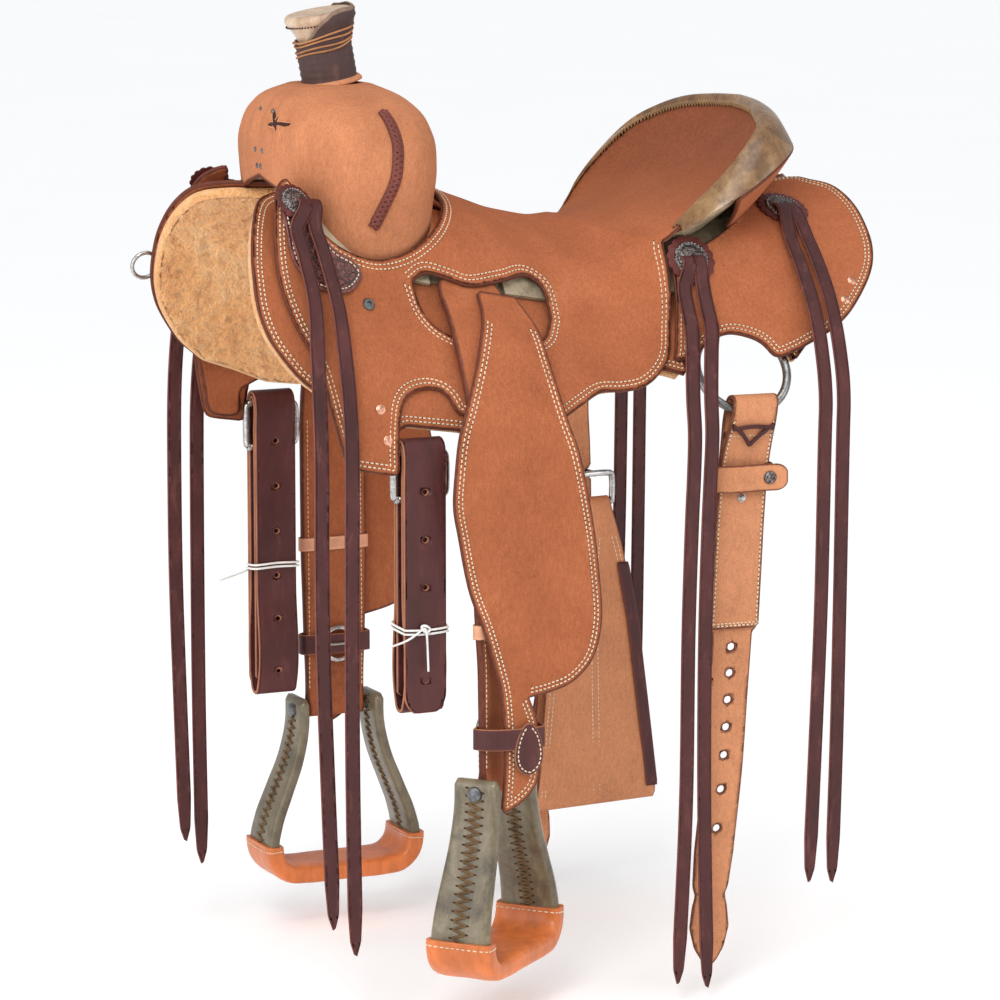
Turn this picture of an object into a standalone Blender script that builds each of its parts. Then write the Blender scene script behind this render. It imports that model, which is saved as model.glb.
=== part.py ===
"""Western ranch saddle with little leather on it, built as it comes apart on a saddler's bench.

Metres, +Z up. The horse's head is towards -X and the near (left) side is towards -Y. The origin is on the
middle plane, at the top of the stand or back that carries the saddle.

Leather panels are flat patterns in the plane of x and s, where s is the length measured down the side of
the horse's back form. A pattern is cut along grid lines that all layers share, then laid on that form at
its own lift, so that layers nest as they do on the real saddle.
"""
import math
from functools import lru_cache

import bmesh
import bpy
import numpy as np
from mathutils import Matrix, Vector

COLLECTION = "strip_down_saddle"
CUTTERS = "cutters"
NEAR = -1
FAR = 1
SIDES = (("left", NEAR), ("right", FAR))

# Leather thicknesses and clearances
SKIRT_THICK = 0.004
SEAT_THICK = 0.004
FLEECE_THICK = 0.012
STRAP_THICK = 0.004
FENDER_THICK = 0.0035
LACE_THICK = 0.0028
KEEPER_THICK = 0.0035
LAYER_GAP = 0.0014
FIT = 0.0003

# Grid that every leather pattern is cut along
GRID_X = 0.048
GRID_S = 0.026
DISH_LINES = (0.168, 0.216, 0.264, 0.276, 0.312)
OUTLINE_STEP = 0.034

# Stations of the back form: x, crown height, half width, foot height, crown handle, foot handle
BACK_STATIONS = np.array([
    (-0.300, 0.158, 0.178, -0.150, 0.080, 0.222),
    (-0.220, 0.140, 0.200, -0.150, 0.085, 0.110),
    (-0.080, 0.092, 0.212, -0.150, 0.095, 0.095),
    (0.070, 0.062, 0.216, -0.150, 0.095, 0.080),
    (0.210, 0.084, 0.216, -0.110, 0.105, 0.080),
    (0.370, 0.118, 0.205, -0.090, 0.095, 0.060),
])
SECTION_STEPS = 160

# How far the seat leather, the rear jockeys and the bars stand above the skirts
SEAT_RISE_X = (-0.300, -0.250, -0.200, -0.095, 0.000, 0.060, 0.100, 0.124, 0.150)
SEAT_RISE = (0.014, 0.018, 0.022, 0.024, 0.017, 0.020, 0.032, 0.044, 0.046)
JOCKEY_RISE_X = (0.090, 0.124, 0.160, 0.200, 0.250, 0.300, 0.340)
JOCKEY_RISE = (0.028, 0.038, 0.031, 0.024, 0.015, 0.006, 0.000)
RISE_TOP_S = 0.095
RISE_FOOT_S = 0.195
BAR_THICK_X = (-0.262, -0.200, -0.095, 0.000, 0.060, 0.124, 0.200, 0.285)
BAR_THICK = (0.007, 0.014, 0.016, 0.011, 0.013, 0.018, 0.018, 0.007)
BAR_INNER_S = 0.032
BAR_OUTER_S = 0.150
BAR_FRONT_X = -0.262
BAR_REAR_X = 0.285
BED_HALF = 0.215
BED_FLOOR = -0.120
BED_GAP = 0.0012

# Cantle: the seat line where the dish begins, and the rim from its middle to its near end
DISH_LINE_X = 0.060
CANTLE_END_X = 0.124
CANTLE_END_S = 0.111
RIM_POINTS = np.array([
    (0.280, 0.000, 0.201),
    (0.273, 0.045, 0.199),
    (0.260, 0.086, 0.194),
    (0.246, 0.120, 0.183),
    (0.230, 0.136, 0.172),
    (0.186, 0.150, 0.132),
    (0.159, 0.144, 0.106),
    (0.139, 0.134, 0.083),
    (0.124, 0.130, 0.067),
])
RIM_STEPS = 28
RIM_TURN_Q = (0.0, 0.3, 0.5, 0.7, 0.85, 1.0)
RIM_TURN = (0, 13, 34, 62, 74, 80)
RIM_TILT = 27
CANTLE_THICK = 0.020
BOARD_GAP = 0.0028
BINDING_DEPTH = 0.040
BINDING_THICK = 0.0035
BINDING_LIP = 0.008
BINDING_CLEAR = 0.0026
CANTLE_FOOT_Q = (0.0, 0.2, 0.35, 0.5, 0.65, 0.8)
CANTLE_FOOT_X = (0.293, 0.286, 0.266, 0.243, 0.216, 0.187)
CANTLE_FOOT_S = (0.0, 0.028, 0.053, 0.078, 0.098, 0.113)

# Fork: height levels with half length, half width and place of the middle
FORK_Z = (0.070, 0.110, 0.150, 0.185, 0.208, 0.223, 0.231)
FORK_HALF_LENGTH = (0.080, 0.083, 0.086, 0.083, 0.073, 0.057, 0.040)
FORK_HALF_WIDTH = (0.122, 0.130, 0.138, 0.132, 0.112, 0.082, 0.050)
FORK_MIDDLE_X = (-0.184, -0.184, -0.184, -0.185, -0.187, -0.190, -0.191)
FORK_SQUARENESS = 2.4
FORK_COVER_THICK = 0.0035
FORK_COVER_GAP = 0.0025
FORK_EDGE_ANGLES = (0, 30, 60, 90, 115, 135, 150, 180)
FORK_EDGE_Z = (0.116, 0.104, 0.086, 0.077, 0.086, 0.116, 0.138, 0.160)
FORK_SIDES = 26
GULLET_RADIUS = 0.056
GULLET_Z = 0.119

# Horn
HORN_X = -0.191
HORN_Z = 0.232
HORN_LEAN = math.radians(-10.2)
HORN_POST_RADIUS = 0.019
HORN_POST_ROOT = 0.030
HORN_WRAP_RADIUS = 0.0285
HORN_WRAP_HEIGHT = 0.046
HORN_CAP_RADIUS = 0.0355
HORN_HEIGHT = 0.074
HORN_STEPS = 24

# Stirrup leathers: where they leave the tree, their pivot and their fall
LEG_X = -0.096
STRAP_WIDTH = 0.076
BIGHT_END_S = 0.128
GROOVE_DEPTH = 0.0055
LEATHER_TOP = (
    (0.1285, 0.0138, 0.0015, 0.004),
    (0.1325, 0.0130, 0.0015, 0.017),
    (0.1405, 0.0110, 0.0015, 0.0277),
    (0.1525, 0.0088, 0.0018, 0.0353),
    (0.1665, 0.0096, 0.0026, 0.038),
    (0.1850, 0.0120, 0.0036, 0.038),
    (0.1950, 0.0132, 0.0038, 0.038),
    (0.2080, 0.0142, 0.0040, 0.038),
    (0.2250, 0.0144, 0.0040, 0.038),
    (0.2600, 0.0144, 0.0040, 0.038),
    (0.3000, 0.0144, 0.0040, 0.038),
)
STRAP_LIFT = 0.0144
TURN = {"left": math.radians(40), "right": 0.0}
TURN_TOP_Z = -0.190
TURN_FOOT_Z = -0.360
INWARD = {"left": 0.0255, "right": 0.0065}
FOOT_HALF = 0.034
BOLT_Z = -0.468
BOLT_RADIUS = 0.0050
EYE_RADIUS = 0.0092

# Fenders: outlines in x and z, and their inner face's lift down the leg
FENDER_LEFT_EDGE = ((-0.094, 0.020), (-0.099, -0.006), (-0.113, -0.036), (-0.136, -0.081), (-0.153, -0.118),
                    (-0.160, -0.168), (-0.154, -0.208), (-0.143, -0.260), (-0.127, -0.302), (-0.114, -0.344),
                    (-0.107, -0.375), (-0.104, -0.437), (-0.108, -0.493))
FENDER_RIGHT_EDGE = ((-0.083, -0.480), (-0.067, -0.461), (-0.064, -0.431), (-0.067, -0.399),
                     (-0.076, -0.374))
FENDER_LOBE = ((-0.076, -0.374), (-0.052, -0.370), (-0.026, -0.361), (-0.004, -0.338), (0.005, -0.302),
               (0.003, -0.261), (-0.005, -0.199), (-0.018, -0.137), (-0.030, -0.098), (-0.039, -0.050),
               (-0.042, -0.010), (-0.052, 0.020))
FENDER_LIFT_S = (0.150, 0.1665, 0.185, 0.205, 0.300)
FENDER_LIFT = (0.0122, 0.0140, 0.0172, 0.0198, 0.0198)
FENDER_SHIFT = {"left": 0.0, "right": 0.034}
HOBBLE_Z = {"left": -0.414, "right": -0.396}
HOBBLE_HALF_HEIGHT = 0.011
HOBBLE_THICK = 0.003
HOBBLE_GAP = 0.0009

# Stirrups: middle line of half the bow, from the top of a branch to the middle of the tread
STIRRUP_X = -0.098
BOW = ((0.044, 0.000), (0.044, -0.030), (0.049, -0.070), (0.060, -0.110), (0.073, -0.145), (0.080, -0.168),
       (0.079, -0.181), (0.068, -0.191), (0.045, -0.192), (0.015, -0.192))
BOW_TREAD_FROM = 5
STIRRUP_WALL = 0.012
STIRRUP_TOP_DEPTH = 0.049
STIRRUP_FOOT_DEPTH = 0.066
STIRRUP_ABOVE_BOLT = 0.014
TREAD_THICK = 0.0035

# Front rigging: dee and latigo
DEE_POST_X = -0.2075
DEE_SINK = 0.0036
DEE_TOP_Z = {"left": -0.121, "right": -0.1232}
DEE_HEIGHT = 0.048
DEE_SPAN = 0.056
DEE_ROD = 0.0040
LATIGO_WIDTH = 0.046
LATIGO_FOOT_Z = {"left": -0.385, "right": -0.440}
LATIGO_INNER = 0.0066
LATIGO_PITCH = 0.0050

# Rear rigging: ring, billets and flank cinch
RING_X = 0.1857
RING_CUT_X = 0.180
RING_SHEAR = 0.20
RING_S = 0.2485
RING_TOP_S = 0.2025
RING_TOP_SINK = 0.0082
RING_PLANE_S = 0.222
RING_RADIUS = 0.049
RING_ROD = 0.0045
BILLET_WIDTH = 0.050
BILLET_EYE_GAP = 0.0080
BILLET_INSET = 0.0018
BILLET_AXIS_RISE = 0.0035
BILLET_DOUBLE_Z = -0.325
BILLET_PATHS = {
    "left": ((-0.060, 0.186), (-0.150, 0.173), (-0.325, 0.162), (-0.506, 0.150), (-0.600, 0.140),
             (-0.680, 0.139)),
    "right": ((-0.060, 0.178), (-0.150, 0.184), (-0.325, 0.186), (-0.506, 0.160), (-0.600, 0.144),
              (-0.680, 0.138)),
}
BILLET_HOLE = 0.0040
BILLET_HOLE_Z = (-0.3445, -0.372, -0.400, -0.4285, -0.458, -0.494, -0.535)
KEEPER_TOP_Z = -0.154
KEEPER_FOOT_Z = -0.182
CINCH_X = 0.2105
CINCH_INSET = 0.0180
CINCH_BUCKLE_HALF = 0.0215
CINCH_BUCKLE_TOP_Z = -0.2295
CINCH_BUCKLE_FOOT_Z = -0.2625
CINCH_BUCKLE_ROD = 0.0035
CINCH_PIN_RADIUS = 0.0033
CINCH_PINS = ((-0.258, 0.2105, 0.0165), (-0.2625, 0.2105, 0.0165), (-0.285, 0.208, 0.025),
              (-0.330, 0.204, 0.042), (-0.400, 0.204, 0.056), (-0.500, 0.206, 0.068), (-0.605, 0.208, 0.080))
CINCH_HALF_GAP = 0.0085
CINCH_THICK = 0.0035

# Conchos: place, radius and stand-off; the strings' tails as x and z down each side
CONCHO_HEIGHT = 0.005
CONCHO_STEPS = 16
CONCHOS = {
    "front": (-0.279, 0.110, 0.0185, 0.0010),
    "side": (0.1515, 0.132, 0.0235, 0.0022),
    "rear": (0.288, 0.082, 0.0240, 0.0010),
}
LACE_HALF_WIDTH = 0.008
LACE_TOP_RADIUS = 0.010
LACE_PATHS = {
    "front": (((-0.292, 0.040), (-0.298, -0.040), (-0.300, -0.150), (-0.300, -0.300), (-0.296, -0.450),
               (-0.291, -0.600)),
              ((-0.268, 0.040), (-0.269, -0.040), (-0.271, -0.150), (-0.272, -0.300), (-0.272, -0.450),
               (-0.270, -0.628))),
    "side": (((0.134, -0.020), (0.119, -0.060), (0.107, -0.120), (0.100, -0.300), (0.098, -0.500),
              (0.090, -0.690)),
             ((0.154, -0.020), (0.138, -0.060), (0.126, -0.120), (0.119, -0.300), (0.119, -0.500),
              (0.124, -0.698))),
    "rear": (((0.272, 0.030), (0.265, -0.030), (0.260, -0.100), (0.257, -0.300), (0.252, -0.450),
              (0.246, -0.600)),
             ((0.293, 0.030), (0.286, -0.030), (0.282, -0.100), (0.280, -0.300), (0.278, -0.450),
              (0.274, -0.604))),
}
LACE_OVER = 0.0009
LACE_CLEAR = {"front": 0.008, "side": 0.016, "rear": 0.012}
LACE_LEAVES_Z = -0.030
LACE_STEP = 0.026
LACE_FREE_STEP = 0.090

# Pivots, each above the middle of what hangs from it
LEG_PIVOT_X = {"left": -0.0943, "right": -0.0896}
LEG_PIVOT_S = 0.1665
LEG_PIVOT_LIFT = 0.0096
BILLET_PIVOT_OFFSET = {"left": 0.0004, "right": -0.0060}
STRING_PIVOT_X = {"front": -0.2832, "side": 0.118, "rear": 0.2716}

COLOURS = {
    "roughout": ((0.50, 0.20, 0.09), 0.85, 0.0),
    "fleece": ((0.80, 0.50, 0.24), 0.95, 0.0),
    "rawhide": ((0.30, 0.26, 0.17), 0.45, 0.0),
    "rawhide_pale": ((0.62, 0.48, 0.30), 0.5, 0.0),
    "wood": ((0.55, 0.45, 0.30), 0.6, 0.0),
    "burgundy": ((0.085, 0.030, 0.030), 0.45, 0.0),
    "tooled_brown": ((0.050, 0.020, 0.018), 0.4, 0.0),
    "russet": ((0.58, 0.20, 0.06), 0.4, 0.0),
    "light_tan": ((0.62, 0.33, 0.19), 0.85, 0.0),
    "steel": ((0.55, 0.55, 0.57), 0.25, 1.0),
    "dark_steel": ((0.16, 0.16, 0.17), 0.35, 1.0),
}


def clear_scene():
    for obj in list(bpy.data.objects):
        bpy.data.objects.remove(obj, do_unlink=True)


def collection(name):
    found = bpy.data.collections.get(name)
    if found is None:
        found = bpy.data.collections.new(name)
        bpy.context.scene.collection.children.link(found)
    return found


@lru_cache(maxsize=None)
def material(name):
    colour, roughness, metallic = COLOURS[name]
    made = bpy.data.materials.new(name)
    made.use_nodes = True
    shader = made.node_tree.nodes["Principled BSDF"]
    shader.inputs["Base Color"].default_value = (*colour, 1.0)
    shader.inputs["Roughness"].default_value = roughness
    shader.inputs["Metallic"].default_value = metallic
    return made


def add_object(name, mesh, finish, smooth_angle=35):
    """Links a mesh as a named piece of the saddle with its finish."""
    mesh.materials.clear()
    mesh.materials.append(material(finish))
    mesh.shade_smooth()
    mesh.set_sharp_from_angle(angle=math.radians(smooth_angle))
    obj = bpy.data.objects.new(name, mesh)
    collection(COLLECTION).objects.link(obj)
    return obj


def as_cutter(obj):
    collection(COLLECTION).objects.unlink(obj)
    collection(CUTTERS).objects.link(obj)
    obj.hide_render = True
    obj.display_type = "WIRE"
    return obj


def cut(obj, cutter, operation="DIFFERENCE"):
    cutter.parent = obj
    modifier = obj.modifiers.new(cutter.name, "BOOLEAN")
    modifier.operation = operation
    modifier.object = cutter


def hang(name, place, nodes, carrier=None):
    """Empty on a joint's axis that carries the pieces moving with it, itself carried by another or by none."""
    pivot = bpy.data.objects.new(name, None)
    pivot.empty_display_size = 0.03
    pivot.location = place
    collection(COLLECTION).objects.link(pivot)
    if carrier is not None:
        pivot.parent = carrier
        pivot.matrix_parent_inverse = Matrix.Translation(-carrier.location)
    for node in nodes:
        obj = bpy.data.objects[node]
        obj.parent = pivot
        obj.matrix_parent_inverse = Matrix.Translation(-place)
    return pivot


def mesh_from(bm, name):
    """Mesh of a closed body, its faces turned outwards by the sign of its volume."""
    bmesh.ops.recalc_face_normals(bm, faces=bm.faces[:])
    if bm.calc_volume(signed=True) < 0:
        bmesh.ops.reverse_faces(bm, faces=bm.faces[:])
    mesh = bpy.data.meshes.new(name)
    bm.to_mesh(mesh)
    bm.free()
    return mesh


def spline(places, values, x):
    """Smooth curve through values at places, with slopes from the neighbouring chords."""
    places = np.asarray(places, float)
    values = np.asarray(values, float)
    gaps = np.diff(places)
    chords = np.diff(values) / gaps
    slopes = np.empty_like(values)
    slopes[0] = chords[0]
    slopes[-1] = chords[-1]
    slopes[1:-1] = (chords[:-1] * gaps[1:] + chords[1:] * gaps[:-1]) / (gaps[1:] + gaps[:-1])
    i = int(np.clip(np.searchsorted(places, x) - 1, 0, len(gaps) - 1))
    t = float(np.clip((x - places[i]) / gaps[i], -0.5, 1.5))
    start = values[i] * (2 * t**3 - 3 * t**2 + 1) + values[i + 1] * (3 * t**2 - 2 * t**3)
    return float(start + gaps[i] * (slopes[i] * (t**3 - 2 * t**2 + t) + slopes[i + 1] * (t**3 - t**2)))


def smoothstep(t):
    t = min(max(t, 0.0), 1.0)
    return t * t * (3 - 2 * t)


# The back form, and the surfaces that lie on it

@lru_cache(maxsize=None)
def back_section(x):
    """Half section of the skirts' outer face at x: half widths, heights, and lengths down the side."""
    crown, half_width, foot, crown_handle, foot_handle = (
        spline(BACK_STATIONS[:, 0], BACK_STATIONS[:, k], x) for k in range(1, 6))
    t = np.linspace(0, 1, SECTION_STEPS + 1)[:, None]
    handles = np.array([(0, crown), (crown_handle, crown), (half_width, foot + foot_handle),
                        (half_width, foot)])
    weights = np.hstack([(1 - t)**3, 3 * (1 - t)**2 * t, 3 * (1 - t) * t**2, t**3])
    points = weights @ handles
    lengths = np.concatenate([[0], np.cumsum(np.hypot(*np.diff(points, axis=0).T))])
    return points[:, 0], points[:, 1], lengths


def section_at(x, s):
    """Point of the half section at length s; past its foot it runs straight down."""
    widths, heights, lengths = back_section(round(x, 6))
    if s > lengths[-1]:
        return widths[-1], heights[-1] - (s - lengths[-1])
    return float(np.interp(s, lengths, widths)), float(np.interp(s, lengths, heights))


def section_normal(x, s):
    """Outward normal of the half section at length s, as its width and height parts."""
    reach = 0.002
    w0, z0 = section_at(x, s - reach) if s > reach else (-section_at(x, reach - s)[0], section_at(x, reach)[1])
    w1, z1 = section_at(x, s + reach)
    size = math.hypot(w1 - w0, z1 - z0)
    return (z0 - z1) / size, (w1 - w0) / size


def on_back(x, s, lift=0.0):
    """Point on the back form, s negative on the near side, raised along the section's normal."""
    side = -1 if s < 0 else 1
    width, height = section_at(x, abs(s))
    out, up = section_normal(x, abs(s))
    return Vector((x, side * (width + lift * out), height + lift * up))


def normal_on_back(x, s):
    side = -1 if s < 0 else 1
    out, up = section_normal(x, abs(s))
    return Vector((0, side * out, up))


def across_back(x, s):
    """Direction along the saddle on the back form's surface."""
    return (on_back(x + 0.020, s) - on_back(x - 0.020, s)).normalized()


def true_normal(x, s):
    """Outward normal of the back form's surface, its slope along the saddle included."""
    down = on_back(x, s + math.copysign(0.004, s)) - on_back(x, s - math.copysign(0.004, s))
    normal = across_back(x, s).cross(down).normalized()
    return normal if normal.dot(normal_on_back(x, s)) > 0 else -normal


def rise(s):
    """1 over the bars and 0 on the skirts below them."""
    return smoothstep((RISE_FOOT_S - abs(s)) / (RISE_FOOT_S - RISE_TOP_S))


def seat_lift(x, s):
    """Lift of the seat leather's grain side above the skirts."""
    return LAYER_GAP + SEAT_THICK + spline(SEAT_RISE_X, SEAT_RISE, x) * rise(s)


def jockey_lift(x, s):
    """Lift of the rear jockeys' grain side above the skirts."""
    return LAYER_GAP + SEAT_THICK + max(spline(JOCKEY_RISE_X, JOCKEY_RISE, x), 0) * rise(s)


def bar_lift(x, s):
    """Lift of a bar's top face, thinned towards both of its edges."""
    inner = smoothstep((abs(s) - BAR_INNER_S + 0.030) / 0.060)
    outer = smoothstep((BAR_OUTER_S + 0.010 - abs(s)) / 0.060)
    return LAYER_GAP + spline(BAR_THICK_X, BAR_THICK, x) * (0.20 + 0.80 * min(inner, outer))


def dish_line(s):
    """Where the dish of the cantle leaves the seat, for a place s across the saddle."""
    q = min(abs(s) / CANTLE_END_S, 1)
    return DISH_LINE_X + (CANTLE_END_X - DISH_LINE_X) * q**1.6


def rim_lengths():
    return np.concatenate([[0], np.cumsum(np.linalg.norm(np.diff(RIM_POINTS, axis=0), axis=1))])


def rim_point(q):
    """Point of the cantle's rim, q running from -1 at the near end to 1 at the far end."""
    lengths = rim_lengths()
    x, w, z = (spline(lengths / lengths[-1], RIM_POINTS[:, k], abs(q)) for k in range(3))
    return Vector((x, math.copysign(max(w, 0), q), z))


def seat_point(x, s):
    return on_back(x, s, seat_lift(x, s))


def dish_frame(q):
    """Start and end of the dish's curve at q, with the slopes it leaves and arrives with."""
    s = q * CANTLE_END_S
    start = seat_point(dish_line(s), s)
    end = rim_point(q)
    chord = end - start
    leave = Vector((chord.x, chord.y, -0.12 * chord.length))
    arrive = 0.55 * chord + Vector((0, 0, 0.62 * chord.length))
    return start, end, leave, arrive


def dish_point(q, u):
    """Point of the cantle's dish, u running from the seat line to the rim."""
    start, end, leave, arrive = dish_frame(q)
    return (start * (2 * u**3 - 3 * u**2 + 1) + leave * (u**3 - 2 * u**2 + u)
            + end * (3 * u**2 - 2 * u**3) + arrive * (u**3 - u**2))


def dish_normal(q, u):
    """Normal of the dish, turned evenly from the seat's normal to the rim's."""
    turn = math.copysign(math.radians(spline(RIM_TURN_Q, RIM_TURN, abs(q))), q)
    tilt = math.radians(RIM_TILT)
    at_rim = Vector((-math.cos(turn) * math.cos(tilt), -math.sin(turn) * math.cos(tilt), math.sin(tilt)))
    at_line = normal_on_back(dish_line(q * CANTLE_END_S), q * CANTLE_END_S)
    return at_line.lerp(at_rim, smoothstep(u)).normalized()


def dish_depth(s):
    """Length that the seat's flat pattern has between the seat line and the rim."""
    start, end, _, _ = dish_frame(s / CANTLE_END_S)
    return (end - start).length


def seat_surface(x, s, sink=0.0):
    """The seat leather's grain side over its whole pattern, sunk by a depth along its normal."""
    line = dish_line(s)
    if abs(s) < CANTLE_END_S and x > line:
        q = s / CANTLE_END_S
        u = min((x - line) / max(dish_depth(s), 1e-6), 1.0)
        return dish_point(q, u) - sink * dish_normal(q, u)
    return seat_point(x, s) - sink * normal_on_back(x, s)


# Patterns and layers

def run(points, step=OUTLINE_STEP):
    """Points along a smooth curve through the given ones, without its last point."""
    points = [Vector((*p, 0)) if len(p) == 2 else Vector(p) for p in points]
    if len(points) == 2:
        return [points[0]]
    ends = [2 * points[0] - points[1]] + points + [2 * points[-1] - points[-2]]
    out = []
    for before, a, b, after in zip(ends, ends[1:], ends[2:], ends[3:]):
        count = max(1, math.ceil((b - a).length / step))
        for k in range(count):
            t = k / count
            out.append(0.5 * (2 * a + (b - before) * t + (2 * before - 5 * a + 4 * b - after) * t**2
                              + (3 * a - before - 3 * b + after) * t**3))
    return out


def outline_of(*runs):
    """Closed outline from smooth runs that meet in corners."""
    joined = []
    for points in runs:
        joined += run(points)
    return joined


def arc(centre, radius, start, end, count):
    """Points on an arc, angles in degrees from the first axis."""
    angles = [math.radians(start + (end - start) * k / (count - 1)) for k in range(count)]
    return [(centre[0] + radius * math.cos(a), centre[1] + radius * math.sin(a)) for a in angles]


def flat_pattern(name, outline, holes=(), fine=()):
    """Flat mesh of an outline and its holes, cut along the shared grid and at the places in fine."""
    curve = bpy.data.curves.new(name, "CURVE")
    curve.dimensions = "2D"
    curve.fill_mode = "FRONT"
    for loop in (outline, *holes):
        line = curve.splines.new("POLY")
        line.points.add(len(loop) - 1)
        line.use_cyclic_u = True
        for point, place in zip(line.points, loop):
            point.co = (place[0], place[1], 0, 1)
    holder = bpy.data.objects.new(name, curve)
    collection(COLLECTION).objects.link(holder)
    bpy.context.view_layer.update()
    mesh = bpy.data.meshes.new_from_object(holder.evaluated_get(bpy.context.evaluated_depsgraph_get()))
    bpy.data.objects.remove(holder)
    bm = bmesh.new()
    bm.from_mesh(mesh)
    bmesh.ops.remove_doubles(bm, verts=bm.verts[:], dist=0.00002)
    for axis, pitch in ((0, GRID_X), (1, GRID_S)):
        low = min(v.co[axis] for v in bm.verts)
        high = max(v.co[axis] for v in bm.verts)
        lines = [k * pitch for k in range(math.ceil(low / pitch), math.floor(high / pitch) + 1)]
        for line in lines + (list(fine) if axis == 0 else []):
            place = Vector((0, 0, 0))
            place[axis] = line
            normal = Vector((0, 0, 0))
            normal[axis] = 1
            bmesh.ops.bisect_plane(bm, geom=bm.verts[:] + bm.edges[:] + bm.faces[:], dist=0.00005,
                                   plane_co=place, plane_no=normal)
    spare = [e for e in bm.edges if len(e.link_faces) == 2 and not on_grid(e, fine)]
    bmesh.ops.dissolve_edges(bm, edges=spare, use_verts=False)
    midway = [v for v in bm.verts if len(v.link_edges) == 2 and not v.is_boundary]
    bmesh.ops.dissolve_verts(bm, verts=midway)
    bmesh.ops.triangulate(bm, faces=bm.faces[:])
    return bm


def on_grid(edge, fine):
    """True for an edge that lies along a line of the shared grid or across one of the places in fine."""
    if any(all(abs(v.co.x - line) < 0.0002 for v in edge.verts) for line in fine):
        return True
    for axis, pitch in ((0, GRID_X), (1, GRID_S)):
        a, b = (v.co[axis] / pitch for v in edge.verts)
        if abs(a - b) < 0.002 and abs(a - round(a)) < 0.004:
            return True
    return False


def layer(name, outline, under, over, finish, holes=(), fine=()):
    """Closed leather panel between two surfaces given over its flat pattern."""
    bm = flat_pattern(name, outline, holes, fine)
    copied = bmesh.ops.extrude_face_region(bm, geom=bm.faces[:])["geom"]
    upper = {v for v in copied if isinstance(v, bmesh.types.BMVert)}
    for vert in bm.verts:
        place = over if vert in upper else under
        vert.co = place(vert.co.x, vert.co.y)
    return add_object(name, mesh_from(bm, name), finish)


def back_layer(name, outline, side, low, high, finish, holes=()):
    """Panel on one side of the back form between two lifts, which may be functions of x and s."""
    low_at = low if callable(low) else lambda x, s: low
    high_at = high if callable(high) else lambda x, s: high
    return layer(name, outline,
                 lambda x, s: on_back(x, side * s, low_at(x, s)),
                 lambda x, s: on_back(x, side * s, high_at(x, s)), finish, holes)


# Lofts, straps, rods and turned pieces

def loft(name, rings, finish, closed=False, smooth_angle=35):
    """Solid through rings of equal count; its ends are capped unless the rings close on themselves."""
    bm = bmesh.new()
    verts = [[bm.verts.new(p) for p in ring] for ring in rings]
    pairs = list(zip(verts, verts[1:]))
    if closed:
        pairs.append((verts[-1], verts[0]))
    for a, b in pairs:
        for k in range(len(a)):
            n = (k + 1) % len(a)
            bm.faces.new((a[k], a[n], b[n], b[k]))
    if not closed:
        bm.faces.new(verts[0])
        bm.faces.new(verts[-1])
    return add_object(name, mesh_from(bm, name), finish, smooth_angle)


def strap(name, stations, finish):
    """Strap through stations of middle, direction across, half width, direction through, half thickness."""
    rings = []
    for middle, across, half, through, thick in stations:
        a = across.normalized() * half
        t = through.normalized() * thick
        rings.append((middle - a - t, middle + a - t, middle + a + t, middle - a + t))
    return loft(name, rings, finish)


def rod(name, points, radius, finish, cyclic=False, sides=1):
    """Round rod along points, as a mesh."""
    curve = bpy.data.curves.new(name, "CURVE")
    curve.dimensions = "3D"
    curve.bevel_depth = radius
    curve.bevel_resolution = sides
    curve.use_fill_caps = not cyclic
    line = curve.splines.new("POLY")
    line.points.add(len(points) - 1)
    line.use_cyclic_u = cyclic
    for point, place in zip(line.points, points):
        point.co = (*place, 1)
    holder = bpy.data.objects.new(name + "_path", curve)
    collection(COLLECTION).objects.link(holder)
    bpy.context.view_layer.update()
    mesh = bpy.data.meshes.new_from_object(holder.evaluated_get(bpy.context.evaluated_depsgraph_get()))
    bpy.data.objects.remove(holder)
    bm = bmesh.new()
    bm.from_mesh(mesh)
    bmesh.ops.remove_doubles(bm, verts=bm.verts[:], dist=0.00002)
    return add_object(name, mesh_from(bm, name), finish, 50)


def turned(name, profile, finish, steps, closed=False):
    """Solid of revolution about Z from a profile of radius and height, top to bottom."""
    mesh = bpy.data.meshes.new(name)
    count = len(profile)
    edges = [(k, k + 1) for k in range(count - 1)] + ([(count - 1, 0)] if closed else [])
    mesh.from_pydata([(r, 0, z) for r, z in profile], edges, [])
    obj = add_object(name, mesh, finish)
    screw = obj.modifiers.new("turn", "SCREW")
    screw.steps = steps
    screw.render_steps = steps
    screw.use_merge_vertices = True
    screw.merge_threshold = 0.00005
    screw.use_smooth_shade = True
    return obj


def lay_on(obj, place, normal):
    """Puts a piece made about +Z at a place with its axis along a normal."""
    obj.location = place
    obj.rotation_mode = "QUATERNION"
    obj.rotation_quaternion = Vector((0, 0, 1)).rotation_difference(normal)


# Tree

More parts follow.
